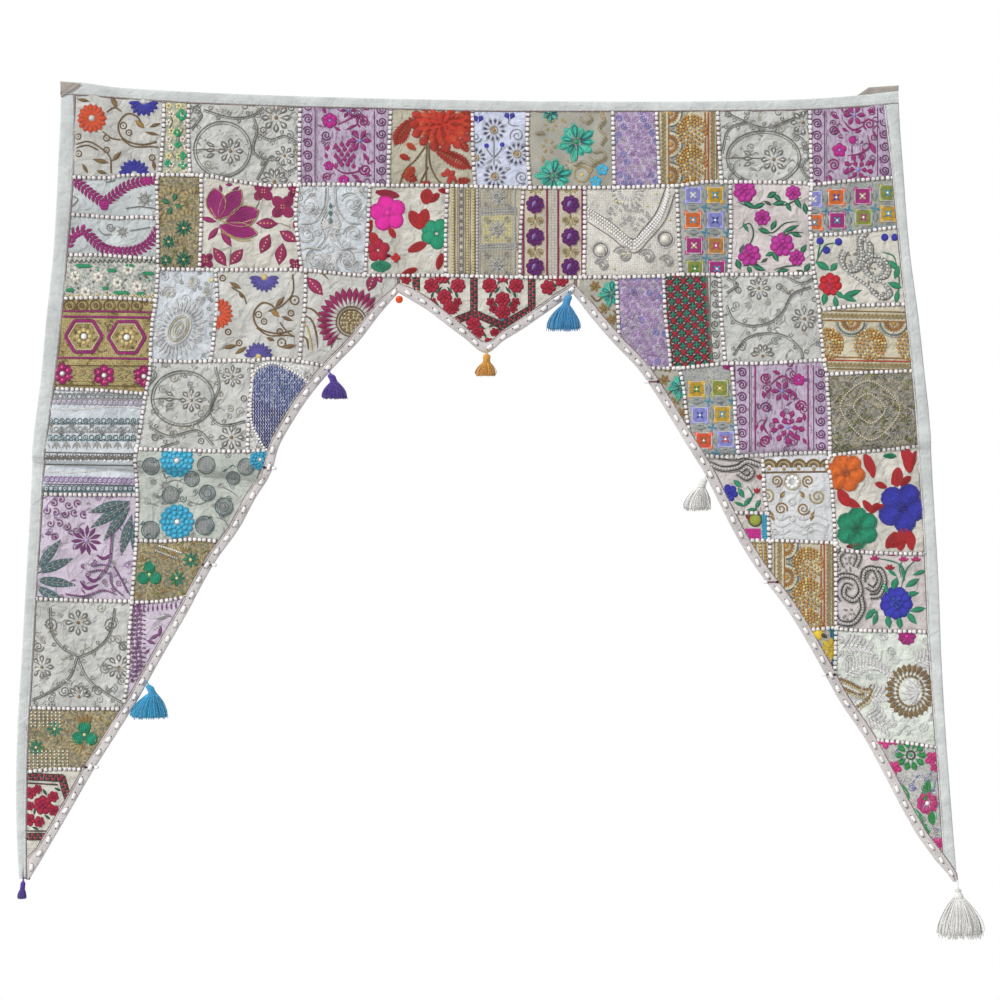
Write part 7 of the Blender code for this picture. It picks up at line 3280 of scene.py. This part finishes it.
def wavy_blossom(work, x, y, radius, colour, petals, start):
    """Broad petals worked in long curved rows that follow their rims."""
    for k in range(petals):
        turn = math.radians(start + 360 * k / petals)
        spot = np.array((x + radius * 0.56 * math.cos(turn), y + radius * 0.56 * math.sin(turn)))
        size = radius * (0.42 if petals == 6 else 0.46)
        work.dot(*spot, size, colour, height=0.8, sides=14, rim=0.6)
        for share in (0.9, 0.68, 0.46, 0.24):
            wave = arc_path(
                0, 0, size * share, size * share * 0.92, math.degrees(turn) - 170, math.degrees(turn) + 170,
                step=1.4,
            )
            ripple = 1 + 0.06 * np.sin(np.arange(len(wave)) * 1.3)
            work.band(
                wave * ripple[:, None] + spot, size * 0.2, colour, height=1.1 + 0.2 * (1 - share), rim=0.5,
                glow=1.25,
            )
    for k in range(8):
        work.petal(x, y, 45 * k + 12, radius * 0.26, radius * 0.1, colour, height=1.6, rim=0.45)


@art("blue_rose")
def blue_rose(work):
    for path in (
        ((-46, 12), (-52, -2), (-44, -16), (-28, -14), (-22, 0), (-30, 10), (-40, 4), (-38, -6), (-32, -4)),
        ((-22, 6), (-20, 20), (-30, 34), (-44, 34), (-50, 26)),
        ((-16, -6), (-8, -2), (-2, -12), (-8, -24), (-18, -22), (-20, -10)),
        ((-8, -24), (0, -22), (4, -10), (-2, 4), (-12, 6)),
        ((-44, -26), (-46, -38), (-34, -46), (-24, -38), (-28, -26)),
    ):
        paisley_cord(work, path, 1.5)
    for _ in range(60):
        x, y = work.chance.choice(((-34, 24), (-36, -36), (-12, -14), (-40, -20)))
        work.dot(
            x + work.chance.uniform(-8, 8), y + work.chance.uniform(-7, 7), 1.3, "pewter", height=0.9,
            sides=6,
        )
    rose(work, 16.5, 13, 17, "royal", "cobalt", petals=9)
    rose(work, 16.5, 12, 8, "cobalt", "indigo", petals=5)
    leaves(
        work, "green", (-12, 25, -50, 16, 7), (-6, 30, -70, 15, 6), (8, 33, -100, 15, 7),
        (20, 34, 80, 15, 7),
        (33, 29, 50, 18, 7), (40, 20, -10, 20, 6), (4, -4, 60, 15, 7), (15, -8, -70, 15, 8),
        (34, -9, -30, 18, 7),
        (34, 3, -10, 15, 6), (24, -20, -100, 18, 4), (42, -20, -20, 16, 5), (12, -20, -140, 14, 4),
        (-8, 22, 10, 10, 5),
        vein="leaf",
    )
    tapers(
        work, "green", 1.6, ((22, -4), (24, -18), (18, -30), (-6, -36)), ((24, -10), (28, -24), (38, -34)),
        ((22, -14), (20, -26), (24, -34)),
    )
    for x, y in ((-7, -36), (9.5, -26), (24.5, -35), (38, -35), (12, -41)):
        for angle in (-150, -110, -70, -30):
            work.petal(x, y + 3, angle, 6.5, 3.2, "rose" if y < -34 else "red")
        work.dot(x, y + 1, 1.3, "crimson", height=1.4, sides=6)


@art("yellow_olive")
def yellow_olive(work):
    work.dot(-14, -12, 8, "yellow", height=0.8)
    for k in range(8):
        work.petal(2, 4, 45 * k, 13, 6, "yellow", full=0.6, rim=0.7)
    work.ring(2, 4, 3, 1.4, "gold")
    for k in range(3):
        cords(
            work, "deep teal", 2.0, ((1 + 2.2 * k, -20), (2 + 2.2 * k, -6)),
            ((4 + 2 * k, 16), (5 + 2 * k, 34)), height=0.8,
        )
    leaf(work, -6, -10, 30, 9, 5, "umber")
    leaf(work, 4, 22, 60, 8, 4, "umber")


@art("mint_relief")
def mint_relief(work):
    light_curls(work, 50, 60, 60, ("chalk", "white"), radius=5.6, height=0.9)
    x, y = 30.5, 9
    for k in range(26):
        angle = 360 * k / 26
        turn = math.radians(angle)
        work.petal(
            x + 15.5 * math.cos(turn), y + 18 * math.sin(turn), angle + 14, 12, 5.6, "bronze", full=0.6,
            rim=0.45, height=1.3,
        )
        work.petal(
            x + 17 * math.cos(turn), y + 20 * math.sin(turn), angle - 10, 8, 2.6, "sand", full=0.6,
            height=1.8,
        )
        work.dot(x + 14 * math.cos(turn), y + 16.5 * math.sin(turn), 1.7, "bronze", height=1.6, sides=6)
    for angle in (180, 205, 155, 230, 130):
        work.petal(x + 10, y + 2, angle, 20, 4.4, "chalk", full=0.5, rim=0.62, height=1.1)
    for path in (
        ((-46, -5), (-34, 0), (-22, 6), (-11, 7)), ((-11, 7), (-14, 16), (-27, 26)),
        ((-44, 4), (-36, 8), (-26, 12), (-18, 12)),
    ):
        beads_along(work, path, 1.9, "bronze")
        beads_along(work, [(a + 1, b + 3.4) for a, b in path], 1.2, "pale gold")
    work.spiral(-10, 5, 4.4, 1.8, "bronze")
    work.daisy(27, -50, 10, "magenta", petals=9, heart="hot pink")
    for start, angle, length in (
        ((-40, -8), -38, 66), ((-44, -40), -8, 34), ((-18, 14), -10, 26), ((-20, 34), 20, 30),
        ((34, -20), -30, 24),
    ):
        fern(work, *start, angle, length)
    for a, b in (
        (-34, -26), (2, -14), (14, -24), (-6, 40), (10, 44), (48, -26), (2, -50), (-24, -46), (44, 48),
    ):
        work.spiral(a, b, 5.6, 1.7, "chalk", start=work.chance.uniform(0, 360), rim=0.62)


def fern(work, x, y, angle, length):
    """A curved stem with raised pale leaflets on both sides."""
    turn = math.radians(angle)
    along = np.array((math.cos(turn), math.sin(turn)))
    for k in range(int(length / 4.6)):
        spot = np.array((x, y)) + along * (3 + 4.6 * k) + np.array((0, 0.012 * (4.6 * k) ** 2))
        reach = 15 * (1 - 0.5 * k * 4.6 / length)
        for side in (-1, 1):
            work.petal(*spot, angle + side * 52, reach, 4.4, "chalk", full=0.55, rim=0.6, height=1.2)
        work.dot(*spot, 1.3, "chalk", height=1.2, sides=6)


@art("lilac_tip")
def lilac_tip(work):
    light_curls(work, 70, 44, 70, ("chalk", "lavender", "silver"), radius=4.4)
    for k in range(10):
        angle = 36 * k
        turn = math.radians(angle)
        work.petal(
            -5 + 5 * math.cos(turn), -27 + 5 * math.sin(turn), angle, 12.5, 7, "grass", full=0.66, rim=0.5,
        )
        work.ring(-5 + 11.5 * math.cos(turn), -27 + 11.5 * math.sin(turn), 2.4, 1.0, "leaf", height=1.2)
    work.ring(-5, -27, 4.4, 1.8, "moss", height=1.4)
    work.dot(-5, -27, 2, "leaf", height=1.5)
    work.daisy(13, 25, 12.5, "rose", petals=9, heart="chalk")
    work.ring(13, 25, 8, 1.2, "pink", height=1.3)
    for x, y, radius in (
        (-23, -13, 8), (-33, -43, 9), (-22, -44, 6), (18.5, -23, 8), (22, -14, 6), (25, 69, 8),
    ):
        rose(work, x, y, radius, "rose", "pink", petals=5)
    for x, y, angle, length, width in (
        (-14, 8, 62, 26, 12), (2, 36, 60, 22, 11), (20, 6, 100, 22, 10), (22, 38, 80, 16, 8),
        (14, 52, 60, 14, 6),
    ):
        filled_petal(work, x - 6, y - 6, angle, length, width, "grass")
        leaf(work, x, y, angle, length * 0.6, 2, "pale mint", height=1.4)
    for x, y in ((-22, -28), (6, -6), (16, -4), (-4, 6), (-16, 0), (8, 56), (20, 52), (24, 60)):
        work.spiral(x, y, 4.6, 1.3, "chalk", start=work.chance.uniform(0, 360), rim=0.55)
        work.petal(x, y, work.chance.uniform(0, 360), 7, 2.4, "lavender", height=0.8)


@art("narrow_corner")
def narrow_corner(work):
    for x in (-6, 0, 5):
        beads_along(work, ((x - 4, -22), (x, 30)), 1.8, "gold" if x else "pale gold")
    cords(work, "orange gold", 1.5, ((-4, -22), (-2, 30)), ((2, -22), (3, 30)))


# Putting it together


def ride(made, node=None):
    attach(made, "root")
    if node:
        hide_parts(*([node] if isinstance(node, str) else node))
    return made


def make_patchwork():
    points, triangles, patch = divided_cloth()
    triangles = facing_front(points, triangles)
    space = in_space(points[:, 0], points[:, 1], front_of(points[:, 0], points[:, 1]))
    grounds = {ground.name: ground for ground in GROUNDS}
    materials = {}
    thread = thread_material("embroidery_thread")
    pieces = []
    for number, each in enumerate(PATCHES):
        own = triangles[patch == number]
        if len(own) == 0:
            print("no cloth for", each.name)
            continue
        if each.ground not in materials:
            materials[each.ground] = ground_material(grounds[each.ground])
        piece = part_mesh("patch_" + each.name, space, own, materials[each.ground])
        pieces.append(ride(piece))
        rim = rim_of(own)
        starts, ends = points[rim[:, 0]], points[rim[:, 1]]
        if each.name in ARTS:
            work = Stitches((each.across, each.drop), seed=number)
            ARTS[each.name](work)
            stitched = work.object("stitches_" + each.name, thread, starts, ends)
            if stitched:
                pieces.append(ride(stitched))
    outline = panel_outline()
    pieces += make_seams(outline)
    lining = make_lining(points, triangles)
    pieces.append(lining)
    following = np.roll(outline, -1, axis=0)
    area = abs((outline[:, 0] * following[:, 1] - following[:, 0] * outline[:, 1]).sum()) / 2
    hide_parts("panel")


def make_seams(outline):
    beading = thread_material("beading", roughness=0.38, sheen=0.05, pitch=1.4)
    starts, ends = outline, np.roll(outline, -1, axis=0)
    made = [beaded_seam(name, line, beading, starts, ends) for name, line in SEAMS.items()]
    return [ride(seam) for seam in made if seam]


def make_lining(points, triangles):
    depth = depth_at(points[:, 0], points[:, 1]) + HALF_PANEL + waves(
        WRINKLES, points[:, 0], points[:, 1],
    ) * 0.6
    cloth = plain_cloth("lining_cotton", tone("lining"), mottle=0.1, pitch=1.0)
    made = part_mesh("lining", in_space(points[:, 0], points[:, 1], depth), triangles[:, ::-1], cloth)
    return ride(made)


def make_strips():
    cotton = plain_cloth("binding_cotton", tone("binding"), mottle=0.14, pitch=1.0)
    tape = plain_cloth("tape_cotton", tone("tape"), mottle=0.14, pitch=0.9, slubs=4.0)
    made = (
        ("binding_top_cloth", top_stations(260), cotton, "binding_top", "binding"),
        ("binding_left_cloth", side_stations(-1, 4.0), cotton, "binding_left", "binding"),
        ("binding_right_cloth", side_stations(1, 4.0), cotton, "binding_right", "binding"),
        ("opening_tape_cloth", tape_stations(4.0, middle_steps()), tape, "opening_tape", "tape"),
    )
    for seed, (name, stations, material, node, slot) in enumerate(made):
        strip, flat = fine_strip(name, stations, material, strip_section, seed=seed + 3)
        ride(strip, node)


def middle_steps():
    """Finer places along the middle drop's edge."""
    return tuple(np.linspace(MIDDLE_STEPS[0], MIDDLE_STEPS[-1], 64))


LEFT_TAB = ((-452.8, -20.2), (-430.0, -17.6), (-436.0, -12.6), (-444.0, -8.0), (-452.2, -3.0))
RIGHT_TAB = ((406.6, -5.0), (420.0, -14.4), (452.4, -16.6), (452.4, 3.0), (408.0, 5.6))


def tab_cloth(name, corners, front, material, node, crease=None):
    """A small folded tab as a thin closed form, slightly cupped, with soft edges."""
    corners = np.array(corners, float)
    starts, ends = corners, np.roll(corners, -1, axis=0)
    low, high = corners.min(0), corners.max(0)
    xs, ys = np.meshgrid(np.arange(low[0] + 1, high[0], 1.4), np.arange(low[1] + 1, high[1], 1.4))
    spots = np.stack([xs.ravel(), ys.ravel()], 1)
    spots = spots[are_inside(spots, starts, ends)]
    spots = spots[from_lines(spots, starts, ends) > 0.7]
    rim = smooth_rim(corners)
    found = delaunay_2d_cdt(
        [Vector(s) for s in np.vstack([rim, spots])], [], [list(range(len(rim)))], 1, 1e-4,
    )
    points = np.array([tuple(p) for p in found[0]])
    faces = facing_front(points, np.array([list(face) for face in found[2]]))
    inner = from_lines(points, starts, ends)
    plump = 0.6 * (1 - np.exp(-inner / 1.2))
    wave = 0.22 * np.sin(points[:, 0] / 2.3 + points[:, 1] / 3.1) * np.clip(inner / 2, 0, 1)
    if crease:
        off = (points - np.array(crease[0])) @ np.array(crease[1])
        wave = wave - 0.9 * np.exp(-((off / 1.1) ** 2)) + 0.5 * (off > 0)
    level = depth_at(points[:, 0], points[:, 1])
    ahead = in_space(points[:, 0], points[:, 1], level - front + 0.5 - plump - wave * 0.6)
    behind = in_space(points[:, 0], points[:, 1], level - front + 0.5 + plump * 0.9)
    rim_edges = rim_of(faces)
    count = len(points)
    made_faces = [list(face) for face in faces] + [[k + count for k in face[::-1]] for face in faces]
    for a, b in rim_edges:
        made_faces.append([a, b, b + count, a + count])
    made = new_object(name, np.vstack([ahead, behind]), made_faces, material)
    ride(made, node)
    following = np.roll(corners, -1, axis=0)
    area = abs((corners[:, 0] * following[:, 1] - corners[:, 1] * following[:, 0]).sum()) / 2 * MM * MM


def smooth_rim(corners, step=1.4):
    rim = []
    for start, end in zip(corners, np.roll(corners, -1, axis=0)):
        count = max(2, int(np.linalg.norm(end - start) / step))
        rim += [start + (end - start) * k / count for k in range(count)]
    return np.array(rim)


def make_tabs():
    cloth = plain_cloth("tab_cotton", tone("tab"), mottle=0.2, pitch=0.9)
    front = HALF_BINDING + 1.5
    crease = ((-443, -12), (0.62, 0.78))
    tab_cloth("corner_tab_left_cloth", LEFT_TAB, front, cloth, "corner_tab_left", crease)
    tab_cloth("corner_tab_right_cloth", RIGHT_TAB, -HALF_BINDING - 0.3, cloth, "corner_tab_right")


def make_tassels():
    thread = thread_material("tassel_thread", roughness=0.55, sheen=0.35, pitch=0.9)
    for each in TASSELS:
        made = tassel(each, thread)
        ride(made, each.name)


def make_apex_bead():
    """A round orange bead, whose short white thread is not made here."""
    glaze = thread_material("orange_glaze", roughness=0.25, sheen=0.0, pitch=9)
    build = Build()
    level = float(depth_at(-87.2, 204.8))
    centre = np.array((-87.2, level - 3.6, -215.2))
    tassel_bead(build, centre, 4.0, 8.0, tone("orange"), sides=20, bands=12)
    made = ride(build.object("apex_bead_glazed", glaze), "apex_bead")
    return made


def make_stage():
    shader = Shader("floor", roughness=0.9, sheen=0.0, specular=0.1)
    cloudy = shader.noise(400, detail=2)
    grey = shader.ramp(cloudy, (0.3, (0.78, 0.78, 0.78)), (0.7, (0.8, 0.8, 0.8)))
    material = shader.finish(grey)
    half = FLOOR_SIZE / 2
    corners = [
        (-half, -half, FLOOR_LEVEL), (half, -half, FLOOR_LEVEL), (half, half, FLOOR_LEVEL),
        (-half, half, FLOOR_LEVEL),
    ]
    new_object("floor", corners, [(0, 1, 2, 3)], material, smooth=False)


def make_camera():
    data = bpy.data.cameras.new("camera")
    data.sensor_width = SENSOR
    data.lens = SENSOR * VIEW_DISTANCE / (VIEW_WIDTH * MM)
    made = bpy.data.objects.new("camera", data)
    made.location = (VIEW_ACROSS * MM, -VIEW_DISTANCE, -VIEW_DROP * MM)
    made.rotation_euler = (math.pi / 2, 0, 0)
    bpy.context.scene.collection.objects.link(made)
    bpy.context.scene.camera = made


def sun(name, strength, angle, direction, colour=(1, 1, 1)):
    data = bpy.data.lights.new(name, "SUN")
    data.energy = strength
    data.angle = math.radians(angle)
    data.color = colour
    made = bpy.data.objects.new(name, data)
    made.rotation_euler = Vector(direction).to_track_quat("-Z", "Y").to_euler()
    bpy.context.scene.collection.objects.link(made)


def make_light():
    scene = bpy.context.scene
    world = bpy.data.worlds.new("studio")
    scene.world = world
    world.use_nodes = True
    tree = world.node_tree
    background = tree.nodes["Background"]
    place = tree.nodes.new("ShaderNodeTexCoord").outputs["Generated"]
    split = tree.nodes.new("ShaderNodeSeparateXYZ")
    tree.links.new(place, split.inputs[0])
    ramp = tree.nodes.new("ShaderNodeValToRGB")
    tree.links.new(split.outputs["Y"], ramp.inputs["Fac"])
    ramp.color_ramp.elements[0].position = 0.0
    ramp.color_ramp.elements[0].color = SKY_BEHIND_CAMERA
    ramp.color_ramp.elements[1].position = SKY_TURN
    ramp.color_ramp.elements[1].color = SKY_BEHIND_CLOTH
    tree.links.new(ramp.outputs["Color"], background.inputs["Color"])
    background.inputs["Strength"].default_value = 1.0
    sun("key", *KEY_LIGHT)
    sun("fill", *FILL_LIGHT)
    scene.view_settings.view_transform = "Standard"


strip_starts, strip_ends = strip_seams()
SEAM_STARTS = np.vstack([SEAM_STARTS, strip_starts])
SEAM_ENDS = np.vstack([SEAM_ENDS, strip_ends])

make_stage()
make_camera()
make_light()
make_strips()
make_patchwork()
make_tape_beads()
make_edge_stitches()
make_tabs()
make_tassels()
make_apex_bead()
